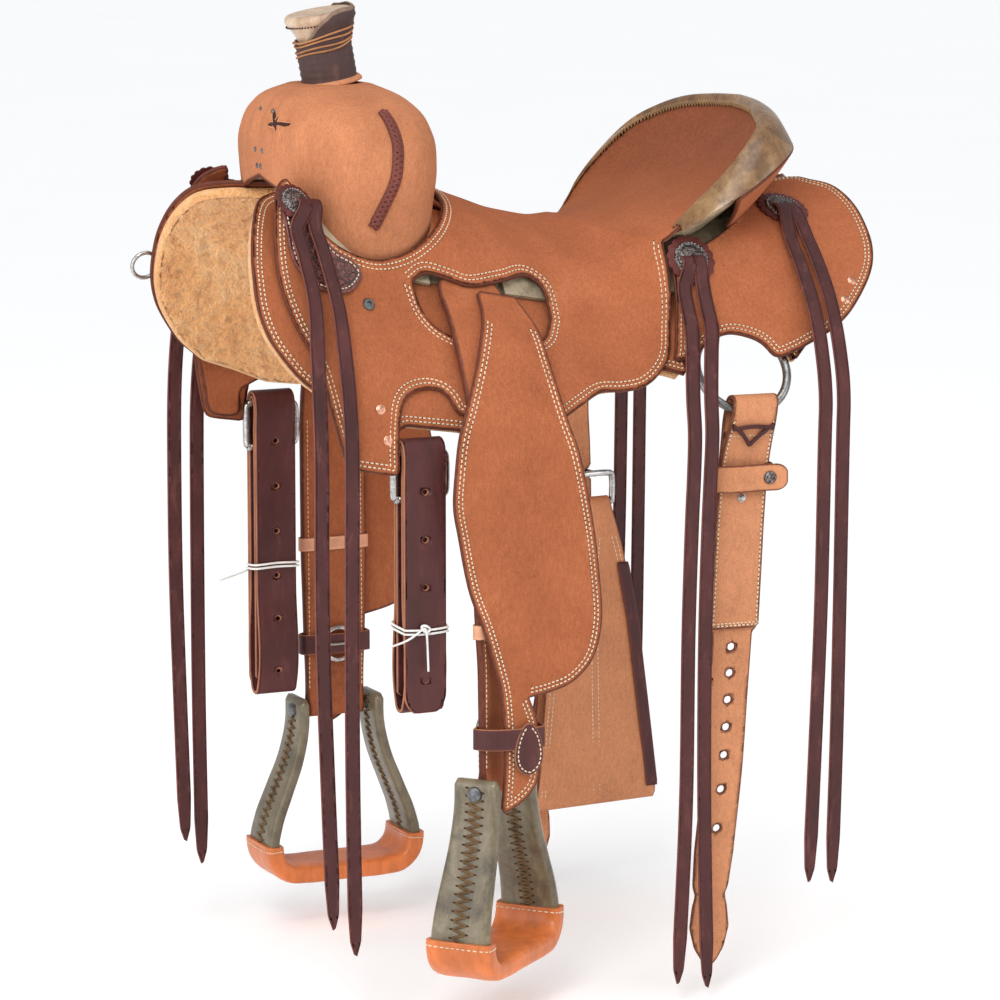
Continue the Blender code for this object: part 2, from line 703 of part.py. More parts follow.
def build_bars():
    inner = BAR_INNER_S
    outer = BAR_OUTER_S
    front = BAR_FRONT_X
    rear = BAR_REAR_X
    round_off = 0.045
    outline = outline_of(
        [(front + round_off, inner), (rear - round_off, inner)],
        [(rear - round_off, inner), (rear - 0.008, inner + 0.025), (rear, 0.080), (rear - 0.015, 0.120),
         (rear - 0.070, outer)],
        [(rear - 0.070, outer), (0.030, outer - 0.008), (-0.110, outer), (front + 0.060, outer)],
        [(front + 0.060, outer), (front + 0.018, outer - 0.020), (front, 0.085),
         (front + 0.012, inner + 0.018), (front + round_off, inner)])
    groove = [(LEG_X - STRAP_WIDTH / 2 - 0.003, 0.010), (LEG_X + STRAP_WIDTH / 2 + 0.003, 0.010),
              (LEG_X + STRAP_WIDTH / 2 + 0.003, 0.200), (LEG_X - STRAP_WIDTH / 2 - 0.003, 0.200)]
    for label, side in SIDES:
        bar = back_layer("tree_bar_" + label, outline, side, LAYER_GAP, bar_lift, "wood")
        cutter = as_cutter(back_layer("bar_groove_" + label, groove, side,
                                      lambda x, s: bar_lift(x, s) - GROOVE_DEPTH, 0.060, "wood"))
        cut(bar, cutter)


def bed_of_bars(name, front, rear):
    """Cutter for what sits on the bars: everything below their top faces and the channel between them."""
    outline = [(front, -BED_HALF), (rear, -BED_HALF), (rear, BED_HALF), (front, BED_HALF)]

    def top(x, s):
        return on_back(x, s, bar_lift(x, s) + BED_GAP)

    def floor(x, s):
        point = top(x, s)
        point.z = BED_FLOOR
        return point

    return as_cutter(layer(name, outline, floor, top, "wood"))


def fork_ring(z, inset):
    """Ring of the fork's form at a height, inset evenly."""
    a = spline(FORK_Z, FORK_HALF_LENGTH, z) - inset
    b = spline(FORK_Z, FORK_HALF_WIDTH, z) - inset
    middle = spline(FORK_Z, FORK_MIDDLE_X, z)
    ring = []
    for k in range(FORK_SIDES):
        angle = 2 * math.pi * k / FORK_SIDES
        c = math.cos(angle)
        s = math.sin(angle)
        size = (abs(c)**FORK_SQUARENESS + abs(s)**FORK_SQUARENESS)**(-1 / FORK_SQUARENESS)
        ring.append(Vector((middle + a * size * c, b * size * s, z)))
    return ring


def build_fork():
    """Wooden fork: the swell's form, hollowed by the gullet and seated on the bars."""
    inset = FORK_COVER_THICK + FORK_COVER_GAP
    rings = []
    for z in FORK_Z:
        sink = Vector((0, 0, inset * smoothstep((z - 0.150) / 0.060)))
        rings.append([p - sink for p in fork_ring(z, inset)])
    fork = loft("tree_fork", rings, "wood")
    bed_cutter = bed_of_bars("fork_bed", -0.300, -0.080)
    cut(fork, bed_cutter)
    arch = arc((0, GULLET_Z), GULLET_RADIUS, 0, 180, 12)
    arch += [(-GULLET_RADIUS, BED_FLOOR), (GULLET_RADIUS, BED_FLOOR)]
    ends = [[Vector((x, y, z)) for y, z in arch] for x in (-0.330, -0.040)]
    cut(fork, as_cutter(loft("gullet", ends, "wood")))
    socket = turned("post_socket", [(0, 0.060), (HORN_POST_RADIUS + FIT, 0.060),
                                    (HORN_POST_RADIUS + FIT, -HORN_POST_ROOT - FIT),
                                    (0, -HORN_POST_ROOT - FIT)], "wood", HORN_STEPS)
    place_on_horn(socket)
    cut(fork, as_cutter(socket))


def place_on_horn(obj):
    obj.location = (HORN_X, 0, HORN_Z)
    obj.rotation_euler = (0, HORN_LEAN, 0)


def fork_edge(angle):
    """Height of the fork cover's lower edge, round from the seat to the gullet."""
    degrees = math.degrees(angle) % 360
    return spline(FORK_EDGE_ANGLES, FORK_EDGE_Z, min(degrees, 360 - degrees))


def build_fork_cover():
    """Leather over the swell, a shell from its lower edge up to the horn."""
    levels = 7
    top = FORK_Z[-1]
    outer = []
    inner = []
    for k in range(levels + 1):
        t = (k / levels)**0.8
        for wall, inset in ((outer, 0.0), (inner, FORK_COVER_THICK)):
            ring = []
            for n in range(FORK_SIDES):
                angle = 2 * math.pi * n / FORK_SIDES
                low = fork_edge(angle)
                z = low + (top - low) * t
                point = fork_ring(z, inset)[n]
                point.z -= inset * smoothstep((t - 0.45) / 0.5)
                ring.append(point)
            wall.append(ring)
    collar = HORN_WRAP_RADIUS + 0.001
    rim = []
    for n in range(FORK_SIDES):
        angle = 2 * math.pi * n / FORK_SIDES
        rim.append(Vector((HORN_X + collar * math.cos(angle), collar * math.sin(angle), top + 0.001)))
    rim_low = [p - Vector((0, 0, FORK_COVER_THICK)) for p in rim]
    rings = outer + [rim, rim_low] + inner[::-1]
    loft("fork_cover", rings, "roughout", closed=True)


def build_horn():
    post = turned("horn_post", [(0, HORN_HEIGHT - 0.012), (HORN_POST_RADIUS, HORN_HEIGHT - 0.012),
                                (HORN_POST_RADIUS, -HORN_POST_ROOT), (0, -HORN_POST_ROOT)],
                  "dark_steel", HORN_STEPS)
    bore = HORN_POST_RADIUS + FIT
    wrap = turned("horn_wrap", [(bore, HORN_WRAP_HEIGHT), (HORN_WRAP_RADIUS - 0.002, HORN_WRAP_HEIGHT),
                                (HORN_WRAP_RADIUS, HORN_WRAP_HEIGHT * 0.5), (HORN_WRAP_RADIUS, 0.0035),
                                (bore, 0.0035)], "burgundy", HORN_STEPS, closed=True)
    start = HORN_WRAP_HEIGHT + FIT
    edge = HORN_CAP_RADIUS
    cap = turned("horn_cap", [(0, HORN_HEIGHT - 0.003), (edge * 0.55, HORN_HEIGHT - 0.002),
                              (edge - 0.005, HORN_HEIGHT), (edge - 0.001, HORN_HEIGHT - 0.002),
                              (edge, HORN_HEIGHT - 0.006), (edge - 0.002, HORN_HEIGHT - 0.011),
                              (edge - 0.006, HORN_HEIGHT - 0.015), (HORN_WRAP_RADIUS - 0.003, start + 0.002),
                              (HORN_WRAP_RADIUS - 0.004, start), (bore, start),
                              (bore, HORN_HEIGHT - 0.012 + FIT), (0, HORN_HEIGHT - 0.012 + FIT)],
                 "rawhide_pale", HORN_STEPS)
    for piece in (post, wrap, cap):
        place_on_horn(piece)


def rim_places(reach):
    """Places along the rim that the seat, the binding and the board share, out to a reach."""
    places = [2 * k / RIM_STEPS - 1 for k in range(RIM_STEPS + 1)]
    return [q for q in places if abs(q) < reach + 0.001]


def rim_frame(q):
    """Rim point with the dish's normal there, the way into the dish and the way down the cantle's back."""
    normal = dish_normal(q, 1.0)
    rim = dish_point(q, 1.0)
    inward = (dish_point(q, 0.9) - rim).normalized()
    back = (-normal + 0.35 * inward).normalized()
    return rim, normal, inward, back


def board_ring(q):
    """Section of the cantle board: the dish's face from its foot to the rim, then its back."""
    sink = SEAT_THICK + BOARD_GAP
    shrink = 1 - smoothstep((abs(q) - 0.55) / 0.40) * 0.55
    back = rim_frame(q)[3]
    face = [dish_point(q, u) - sink * dish_normal(q, u) for u in (0.36, 0.5, 0.62, 0.74, 0.87, 0.985)]
    top = face[-1] + back * (CANTLE_THICK - sink) * shrink
    foot = Vector((face[0].x + 0.55 * (top.x - face[0].x), face[0].y, face[0].z - 0.002))
    foot_back = Vector((top.x - 0.012, face[-2].y, face[0].z + 0.45 * (face[-1].z - face[0].z)))
    return face + [top, foot_back, foot]


def build_cantle():
    """Cantle board: behind the dish, seated above the bars."""
    board = loft("tree_cantle", [board_ring(q) for q in rim_places(0.79)], "wood")
    cutter = bed_of_bars("cantle_bed", 0.050, 0.330)
    cut(board, cutter)


def build_tree():
    build_bars()
    build_fork()
    build_horn()
    build_cantle()


# Leather on the tree

def fork_cutout():
    """The seat pattern's edge round the fork, from the far ear over the middle to the near ear."""
    half = [(-0.268, 0.088), (-0.264, 0.108), (-0.248, 0.131), (-0.222, 0.142), (-0.192, 0.142),
            (-0.156, 0.126), (-0.123, 0.097), (-0.098, 0.057), (-0.090, 0.020)]
    return half + [(x, -s) for x, s in reversed(half)]


def seat_front_edge(side):
    """The seat pattern's front edge and rigging drop, from the ear down, in order for one side."""
    half = [
        [(-0.268, 0.088), (-0.272, 0.074), (-0.282, 0.080), (-0.296, 0.104), (-0.307, 0.149),
         (-0.308, 0.196), (-0.298, 0.234), (-0.280, 0.270), (-0.269, 0.320), (-0.260, 0.356)],
        [(-0.260, 0.356), (-0.252, 0.366), (-0.212, 0.366)],
        [(-0.212, 0.366), (-0.206, 0.362), (-0.205, 0.344), (-0.202, 0.318), (-0.196, 0.294), (-0.184, 0.279),
         (-0.165, 0.271), (-0.149, 0.274), (-0.141, 0.291)],
        [(-0.141, 0.291), (-0.100, 0.302), (-0.060, 0.297), (-0.028, 0.283), (-0.004, 0.266), (0.022, 0.249),
         (0.046, 0.247), (0.072, 0.243), (0.094, 0.230), (0.109, 0.210), (0.121, 0.170), (0.124, 0.140),
         (CANTLE_END_X, CANTLE_END_S)],
    ]
    signed = [[(x, side * s) for x, s in points] for points in half]
    return signed if side == NEAR else [points[::-1] for points in signed[::-1]]


def rim_run():
    """The seat pattern's edge along the cantle's rim, near end to far end."""
    places = [CANTLE_END_S * q for q in rim_places(1)]
    return [(dish_line(s) + dish_depth(s), s) for s in places]


def slot(side):
    """Hole of the seat pattern that the stirrup leather and the fender come out of."""
    upper = [(-0.160, 0.158), (-0.144, 0.147), (-0.120, 0.149), (-0.096, 0.152), (-0.058, 0.140),
             (-0.030, 0.128), (-0.014, 0.138), (-0.014, 0.170)]
    lower = [(-0.014, 0.170), (-0.030, 0.196), (-0.075, 0.214), (-0.128, 0.209), (-0.151, 0.192),
             (-0.160, 0.158)]
    return [Vector((p.x, side * p.y, 0)) for p in outline_of(upper, lower)]


def build_seat():
    outline = outline_of(*seat_front_edge(NEAR))
    outline += [Vector((x, s, 0)) for x, s in rim_run()[:-1]]
    outline += outline_of(*seat_front_edge(FAR))
    outline += run(fork_cutout())
    layer("seat", outline, lambda x, s: seat_surface(x, s, SEAT_THICK), lambda x, s: seat_surface(x, s),
          "roughout", holes=(slot(NEAR), slot(FAR)), fine=DISH_LINES)


def build_ground_seat():
    """Firm leather over the bars that carries the seat."""
    half = 0.090
    sink = SEAT_THICK + 1.6 * LAYER_GAP
    thick = 0.003
    rear = [(dish_line(s) + 0.12 * dish_depth(s), s) for s in np.linspace(-half, half, 13)]
    outline = [Vector((-0.060, half, 0)), Vector((-0.088, 0.030, 0)), Vector((-0.088, -0.030, 0)),
               Vector((-0.060, -half, 0))] + [Vector((x, s, 0)) for x, s in rear]
    layer("ground_seat", outline, lambda x, s: seat_surface(x, s, sink + thick),
          lambda x, s: seat_surface(x, s, sink), "light_tan")


def binding_depth(q):
    """Depth of the binding down the cantle's back, and its share of the full width."""
    width = max(1 - abs(q)**2.2, 0.02)
    return BINDING_DEPTH * width + 0.004, width


def build_binding():
    """Rawhide round the rim: a lip on the dish, over the top and down the back."""
    rings = []
    for q in rim_places(0.93):
        rim, normal, inward, back = rim_frame(q)
        deep, width = binding_depth(q)
        outward = -inward
        lip = BINDING_LIP * (0.35 + 0.65 * width)
        front = rim + normal * BINDING_CLEAR
        over = rim + outward * BINDING_CLEAR
        thick = BINDING_THICK
        bulge = 0.006 * width
        u = 1 - lip / (dish_point(q, 1.0) - dish_point(q, 0.0)).length
        edge = dish_point(q, u) + dish_normal(q, u) * BINDING_CLEAR
        rings.append((edge, edge + normal * thick * 0.6,
                      front + outward * 0.001 + normal * thick * 0.7,
                      over + outward * thick + back * 0.004,
                      over + outward * (thick + bulge * 0.6) + back * deep * 0.5,
                      over + outward * (thick * 0.6) + back * deep,
                      over + back * deep,
                      over + outward * bulge * 0.3 + back * deep * 0.5,
                      over, front))
    loft("cantle_binding", rings, "rawhide", smooth_angle=50)


def build_cantle_back():
    """Leather behind the cantle board, from the binding's edge down to the rear jockeys."""
    thick = 0.003
    rings = []
    for q in rim_places(0.72):
        rim, _, inward, back = rim_frame(q)
        deep = binding_depth(q)[0]
        top = rim - inward * BINDING_CLEAR + back * (deep + 0.0010)
        x = spline(CANTLE_FOOT_Q, CANTLE_FOOT_X, abs(q))
        s = spline(CANTLE_FOOT_Q, CANTLE_FOOT_S, abs(q))
        foot = on_back(x, math.copysign(s, q), jockey_lift(x, s) + 0.0015)
        middle = top.lerp(foot, 0.5) + Vector((0.003, 0, 0))
        away = (foot - top).cross(rim_frame(q + 0.01)[0] - rim_frame(q - 0.01)[0]).normalized()
        if away.x < 0:
            away.negate()
        rings.append([p + away * depth for p, depth in (
            (top, 0.0), (middle, 0.0), (foot, 0.0), (foot, thick), (middle, thick), (top, thick))])
    loft("cantle_back", rings, "roughout")


def skirt_outline(inset=0.0):
    """Skirt with its front rigging drop; the rear foot is cut back round the ring."""
    i = inset
    ring_clear = RING_RADIUS + RING_ROD + 0.003 + i
    top = [(-0.215, BAR_INNER_S + 0.004 + i), (0.190, 0.030 + i), (0.250, 0.016 + i), (0.335, 0.014 + i)]
    rear = [(0.335 - i, 0.014 + i), (0.349 - i, 0.033 + i), (0.364 - i, 0.055), (0.372 - i, 0.087),
            (0.373 - i, 0.117), (0.369 - i, 0.150), (0.354 - i, 0.181 - i), (0.320 - i, 0.216 - i),
            (0.290, 0.234 - i), (0.262, 0.243 - i)]
    ring_arc = [(x, s + RING_SHEAR * (x - RING_CUT_X))
                for x, s in arc((RING_CUT_X, RING_S), ring_clear, 5, -185, 13)]
    foot = [ring_arc[-1], (0.094, 0.226 - i), (0.066, 0.238 - i), (0.020, 0.246 - i),
            (-0.028, 0.276 - i), (-0.085, 0.306 - i), (-0.143, 0.309 - i), (-0.192, 0.313 - i)]
    drop = [(-0.216, 0.330), (-0.216, 0.358), (-0.252, 0.360), (-0.262, 0.330), (-0.270, 0.302)]
    front = [(-0.291 + i, 0.291 - i), (-0.304 + i, 0.280), (-0.324 + i, 0.254), (-0.333 + i, 0.226),
             (-0.334 + i, 0.196), (-0.331 + i, 0.165), (-0.321 + i, 0.127 + i), (-0.305 + i, 0.094 + i),
             (-0.279 + i, 0.071 + i), (-0.258 + i, 0.060 + i), (-0.232, 0.046 + i), (-0.215, 0.036 + i)]
    if inset > 0:
        drop = [(-0.230, 0.306 - i), (-0.270, 0.302 - i)]
    return outline_of(top, rear, [rear[-1], ring_arc[0]], ring_arc, foot,
                      [foot[-1], drop[0]], drop, [drop[-1], front[0]], front)


def build_skirts():
    fleece_top = -SKIRT_THICK - 1.6 * LAYER_GAP
    for label, side in SIDES:
        back_layer("skirt_" + label, skirt_outline(), side, -SKIRT_THICK, 0.0, "roughout")
        back_layer("fleece_" + label, skirt_outline(0.006), side, fleece_top - FLEECE_THICK, fleece_top,
                   "fleece")


def jockey_outline():
    """Rear jockey: from behind the seat's rear edge round the cantle's foot, with the arc over the ring."""
    over_ring = [(0.214, 0.250), (0.206, 0.236), (0.192, 0.224), (0.172, 0.214), (0.150, 0.216),
                 (0.138, 0.224)]
    top = [(0.128, 0.121), (0.150, 0.1215), (0.170, 0.119), (0.193, 0.112), (0.215, 0.100), (0.240, 0.080),
           (0.262, 0.056), (0.280, 0.034), (0.290, 0.010)]
    rear = [(0.290, 0.010), (0.337, 0.010), (0.351, 0.031), (0.366, 0.053), (0.374, 0.086), (0.375, 0.117),
            (0.371, 0.151), (0.356, 0.182), (0.321, 0.218), (0.291, 0.236), (0.258, 0.247), (0.238, 0.252),
            (0.222, 0.254), (0.214, 0.250)]
    front = [(0.138, 0.224), (0.116, 0.224), (0.110, 0.220), (0.1155, 0.208), (0.1265, 0.170), (0.1295, 0.140),
             (0.128, 0.121)]
    return outline_of(top, rear, over_ring, front)


def build_jockeys():
    for label, side in SIDES:
        back_layer("rear_jockey_" + label, jockey_outline(), side,
                   lambda x, s: jockey_lift(x, s) - SEAT_THICK, jockey_lift, "roughout")


# Stirrup leathers, fenders and stirrups

def drop_length(x, z):
    """Length down the back form's section at x at which its height is z."""
    _, heights, lengths = back_section(round(x, 6))
    if z < heights[-1]:
        return float(lengths[-1] + heights[-1] - z)
    return float(np.interp(-z, -heights, lengths))


def leg_point(x, z, side, lift):
    """Point of the leg's hang, whose section is the back form's where the leather leaves the bar."""
    s = drop_length(LEG_X, z)
    along = leg_across(side * s)
    return on_back(LEG_X, side * s, lift) + along * ((x - LEG_X) / along.x)


def leg_across(s):
    """Direction across the stirrup leather: along the back form at its top and level where it hangs."""
    share = smoothstep((0.260 - abs(s)) / 0.080)
    return across_back(LEG_X, s).lerp(Vector((1, 0, 0)), 1 - share).normalized()


def leg_turn(label, z):
    """Turn of the stirrup leather about the vertical at a height, and how far it has moved inwards."""
    share = smoothstep((TURN_TOP_Z - z) / (TURN_TOP_Z - TURN_FOOT_Z))
    return TURN[label] * share, INWARD[label] * share


def leg_axes(label, side, z):
    """Middle of the hanging leather at a height, its direction across and its outward direction."""
    angle, inward = leg_turn(label, z)
    middle = leg_point(LEG_X, z, side, STRAP_LIFT - inward)
    across = Vector((math.cos(angle), -side * math.sin(angle), 0))
    outward = Vector((math.sin(angle), side * math.cos(angle), 0))
    middle.x += (STIRRUP_X - LEG_X) * smoothstep((TURN_TOP_Z - z) / (TURN_TOP_Z - TURN_FOOT_Z))
    return middle, across, outward


def build_bight(label, side):
    """Stirrup leather where it lies over the bar: up the groove and over the bar's inner edge."""
    half = STRAP_THICK / 2
    stations = []
    for s in (0.1275, 0.110, 0.092, 0.074, 0.056, 0.042):
        lift = bar_lift(LEG_X, s) - GROOVE_DEPTH + 0.0014 + half
        stations.append((on_back(LEG_X, side * s, lift), across_back(LEG_X, side * s), STRAP_WIDTH / 2 - 0.004,
                         normal_on_back(LEG_X, side * s), half))
    low = bar_lift(LEG_X, 0.034) - GROOVE_DEPTH + 0.0018 + half
    for s, lift, lean in ((0.033, low, 0.25), (0.0275, low - 0.002, 0.65), (0.0255, low - 0.007, 1.0),
                          (0.0255, low - 0.018, 1.0)):
        up = normal_on_back(LEG_X, side * s)
        towards_middle = Vector((0, -side, 0))
        stations.append((on_back(LEG_X, side * s, lift), across_back(LEG_X, side * s), STRAP_WIDTH / 2 - 0.004,
                         up.lerp(towards_middle, lean), half))
    strap("strap_bight_" + label, stations, "russet")


def build_stirrup_leather(label, side):
    """Both plies of the hanging leather, from the round top below the seat to the eye on the bolt."""
    stations = []
    for s, lift, half_thick, half_width in LEATHER_TOP:
        stations.append((on_back(LEG_X, side * s, lift), leg_across(side * s), half_width,
                         normal_on_back(LEG_X, side * s), half_thick))
    falls = ((-0.150, STRAP_WIDTH / 2), (-0.190, STRAP_WIDTH / 2), (-0.225, STRAP_WIDTH / 2),
             (-0.260, STRAP_WIDTH / 2), (-0.300, STRAP_WIDTH / 2), (-0.340, 0.037), (-0.380, 0.036),
             (-0.440, FOOT_HALF), (-0.450, FOOT_HALF))
    for z, half_width in falls:
        middle, across, outward = leg_axes(label, side, z)
        stations.append((middle, across, half_width, outward, STRAP_THICK))
    eye = ((0.0085, 0.0068), (0.004, 0.0088), (0.0, EYE_RADIUS), (-0.0045, 0.0080), (-0.0078, 0.0048),
           (-0.0092, 0.0012))
    for rise_above, half_thick in eye:
        middle, across, outward = leg_axes(label, side, BOLT_Z + rise_above)
        stations.append((middle, across, FOOT_HALF, outward, half_thick))
    leather = strap("stirrup_leather_" + label, stations, "burgundy")
    cut(leather, bore_along_bolt("leather_bore_" + label, label, side))


def bore_along_bolt(name, label, side):
    middle, across, _ = leg_axes(label, side, BOLT_Z)
    ends = [middle - across * 0.060, middle + across * 0.060]
    return as_cutter(rod(name, ends, BOLT_RADIUS + 2 * FIT, "steel", sides=2))


def bow_line():
    """Middle line of the whole bow, from the top of one branch to the top of the other."""
    return [(-a, z) for a, z in BOW] + [(a, z) for a, z in reversed(BOW)]


def bow_stations(label, side):
    """Stations of the bow: middle, way through its wall and half depth."""
    centre, across, outward = leg_axes(label, side, BOLT_Z)
    line = bow_line()
    stations = []
    for k, (a, z) in enumerate(line):
        before = line[max(k - 1, 0)]
        after = line[min(k + 1, len(line) - 1)]
        run_a = after[0] - before[0]
        run_z = after[1] - before[1]
        through = (across * run_z + Vector((0, 0, -run_a))).normalized()
        share = smoothstep(-z / -BOW[-1][1])
        depth = STIRRUP_TOP_DEPTH + (STIRRUP_FOOT_DEPTH - STIRRUP_TOP_DEPTH) * share
        middle = centre + across * a + Vector((0, 0, z + STIRRUP_ABOVE_BOLT))
        stations.append((middle, through, depth / 2))
    return stations, outward


def build_stirrup(label, side):
    stations, outward = bow_stations(label, side)
    bow = strap("stirrup_" + label, [(middle, outward, half_depth, through, STIRRUP_WALL / 2)
                                     for middle, through, half_depth in stations], "rawhide")
    cut(bow, bore_along_bolt("bow_bore_" + label, label, side))
    wall = STIRRUP_WALL / 2
    outer = []
    inner = []
    for middle, through, half_depth in stations[BOW_TREAD_FROM:-BOW_TREAD_FROM]:
        for rings, spare in ((outer, FIT + TREAD_THICK), (inner, FIT)):
            t = through * (wall + spare)
            d = outward * (half_depth + spare)
            rings.append((middle - t - d, middle + t - d, middle + t + d, middle - t + d))
    loft("stirrup_tread_" + label, outer + inner[::-1], "russet", closed=True)


def build_bolt(label, side):
    centre, across, _ = leg_axes(label, side, BOLT_Z)
    half = BOW[0][0] + STIRRUP_WALL / 2 + FIT
    head = 0.004
    bolt = turned("stirrup_bolt_" + label, [
        (0, half + head), (BOLT_RADIUS + 0.003, half + head), (BOLT_RADIUS + 0.003, half),
        (BOLT_RADIUS, half), (BOLT_RADIUS, -half), (BOLT_RADIUS + 0.003, -half),
        (BOLT_RADIUS + 0.003, -half - head), (0, -half - head)], "dark_steel", 12)
    lay_on(bolt, centre, across)


def fender_outline(label):
    """Outline in x and z; the far fender's lobe hangs farther back."""
    points = outline_of(list(FENDER_LEFT_EDGE), [FENDER_LEFT_EDGE[-1], *FENDER_RIGHT_EDGE], list(FENDER_LOBE),
                        [FENDER_LOBE[-1], FENDER_LEFT_EDGE[0]])
    shift = FENDER_SHIFT[label]
    for point in points:
        point.x += shift * smoothstep((0.020 - point.y) / 0.090) * smoothstep((point.y + 0.378) / 0.050)
    return points


def build_fender(label, side):
    def inner(x, z):
        return leg_point(x, z, side, spline(FENDER_LIFT_S, FENDER_LIFT, min(drop_length(LEG_X, z), 0.300)))

    def outer(x, z):
        point = inner(x, z)
        return point + normal_on_back(LEG_X, side * drop_length(LEG_X, z)) * FENDER_THICK

    layer("fender_" + label, fender_outline(label), inner, outer, "roughout")


def hull(points):
    """Convex outline of points in a horizontal plane, in order."""
    ordered = sorted(points)

    def half(sequence):
        chain = []
        for p in sequence:
            while len(chain) > 1 and cross_of(chain[-2], chain[-1], p) <= 0:
                chain.pop()
            chain.append(p)
        return chain[:-1]

    return half(ordered) + half(ordered[::-1])


def cross_of(o, a, b):
    return (a[0] - o[0]) * (b[1] - o[1]) - (a[1] - o[1]) * (b[0] - o[0])


def round_points(points, radius, count=6):
    """Points on circles round the given ones, for a hull that keeps a distance from them."""
    angles = [2 * math.pi * k / count + 0.3 for k in range(count)]
    return [(x + radius * math.cos(a), y + radius * math.sin(a)) for x, y in points for a in angles]


def build_hobble(label, side):
    """Hobble strap: a band round the leather and the fender's tail, with its buckle on the inner face."""
    z = HOBBLE_Z[label]
    middle, across, outward = leg_axes(label, side, z)
    corners = [middle + across * a + outward * d for a in (-0.0365, 0.0365)
               for d in (-STRAP_THICK, STRAP_THICK)]
    for x in (-0.109, -0.063):
        tail = leg_point(x, z, side, FENDER_LIFT[-1] + FENDER_THICK)
        corners.append(tail)
    plan = [(p.x, p.y) for p in corners]
    inner = hull(round_points(plan, HOBBLE_GAP))
    outer = hull(round_points(plan, HOBBLE_GAP + HOBBLE_THICK))
    count = min(len(inner), len(outer))
    rings = []
    for loop, height in ((outer, HOBBLE_HALF_HEIGHT), (outer, -HOBBLE_HALF_HEIGHT),
                         (inner, -HOBBLE_HALF_HEIGHT), (inner, HOBBLE_HALF_HEIGHT)):
        rings.append([Vector((x, y, z + height)) for x, y in loop[:count]])
    loft("hobble_strap_" + label, rings, "burgundy", closed=True)
    face = middle - outward * (STRAP_THICK + HOBBLE_GAP + HOBBLE_THICK + 0.0028 + 2 * FIT)
    rod("hobble_buckle_" + label, [
        face + across * 0.018 * math.cos(angle) + Vector((0, 0, 0.018 * math.sin(angle)))
        for angle in np.linspace(0, 2 * math.pi, 13)[:-1]], 0.0028, "steel", cyclic=True)


def build_legs():
    for label, side in SIDES:
        build_bight(label, side)
        build_stirrup_leather(label, side)
        build_fender(label, side)
        build_hobble(label, side)
        build_stirrup(label, side)
        build_bolt(label, side)


# Front rigging

def build_dee(label, side):
    """Front dee and the latigo wound round its upper bar as one strap in two laps."""
    top = DEE_TOP_Z[label]
    foot = top - DEE_HEIGHT
    s = drop_length(DEE_POST_X, top)
    plane = on_back(DEE_POST_X, side * s, -DEE_SINK)
    back = DEE_POST_X + DEE_SPAN
    corner = 0.010
    ring = [(DEE_POST_X, top - 0.006), (DEE_POST_X + 0.002, top - 0.002), (DEE_POST_X + 0.006, top),
            (back - corner, top), (back - 0.003, top - 0.003), (back, top - corner),
            (back, foot + corner), (back - 0.003, foot + 0.003), (back - corner, foot),
            (DEE_POST_X + 0.006, foot), (DEE_POST_X + 0.002, foot + 0.002), (DEE_POST_X, foot + 0.006)]
    rod("front_dee_" + label, [Vector((x, plane.y, z)) for x, z in ring], DEE_ROD, "steel", cyclic=True)
    middle_x = (DEE_POST_X + back) / 2
    inner = LATIGO_INNER
    outer = LATIGO_INNER + LATIGO_PITCH
    low = LATIGO_FOOT_Z[label]
    path = [(-inner, low + 0.016), (-inner, low + 0.120), (-inner, top - 0.030), (-inner, top)]
    path += [(-inner * math.cos(a), top + inner * math.sin(a)) for a in np.radians((45, 90, 135))]
    path += [(inner, top), (inner, top - 0.030), (inner, low + 0.120), (inner, low + 0.010)]
    turn = (inner + outer) / 2
    shift = (inner - outer) / 2
    path += [(shift + turn * math.cos(a), low + 0.010 - turn * math.sin(a)) for a in np.radians((45, 90, 135))]
    path += [(-outer, low + 0.010), (-outer, low + 0.120), (-outer, top - 0.030), (-outer, top)]
    path += [(-outer * math.cos(a), top + outer * math.sin(a)) for a in np.radians((36, 72, 108, 144))]
    path += [(outer, top), (outer, top - 0.030), (outer, low + 0.120), (outer, low)]
    stations = []
    for k, (d, z) in enumerate(path):
        before = path[max(k - 1, 0)]
        after = path[min(k + 1, len(path) - 1)]
        along = Vector((0, side * (after[0] - before[0]), after[1] - before[1]))
        through = along.cross(Vector((1, 0, 0)))
        stations.append((Vector((middle_x, plane.y + side * d, z)), Vector((1, 0, 0)), LATIGO_WIDTH / 2,
                         through, STRAP_THICK / 2))
    strap("latigo_" + label, stations, "burgundy")


def build_front_rigging():
    for label, side in SIDES:
        build_dee(label, side)


# Rear rigging

def ring_frame(side):
    """Centre of the rear ring, the way down it and the way out of its plane."""
    level = normal_on_back(RING_X, side * RING_PLANE_S)
    out = level.lerp(true_normal(RING_X, side * RING_PLANE_S), 0.5).normalized()
    down = (Vector((0, 0, -1)) + out * out.z).normalized()
    top = on_back(RING_X, side * RING_TOP_S, -RING_TOP_SINK)
    return top + down * RING_RADIUS, down, out


def ring_foot(side):
    """Middle of the ring's rod at its lowest point."""
    centre, down, _ = ring_frame(side)
    return centre + down * RING_RADIUS


def rear_axes(side):
    """Level directions along the ring's plane and out of it."""
    _, down, out = ring_frame(side)
    across = out.cross(down).normalized()
    if across.x < 0:
        across.negate()
    return across, Vector((out.x, out.y, 0)).normalized()


def rear_point(side, x, z, offset=0.0):
    """Point in the plane that the billet hangs in, at x and z, moved outwards by an offset."""
    across, outward = rear_axes(side)
    foot = ring_foot(side)
    point = foot + across * ((x - foot.x) / across.x) + outward * (offset - BILLET_INSET)
    return Vector((point.x, point.y, z))


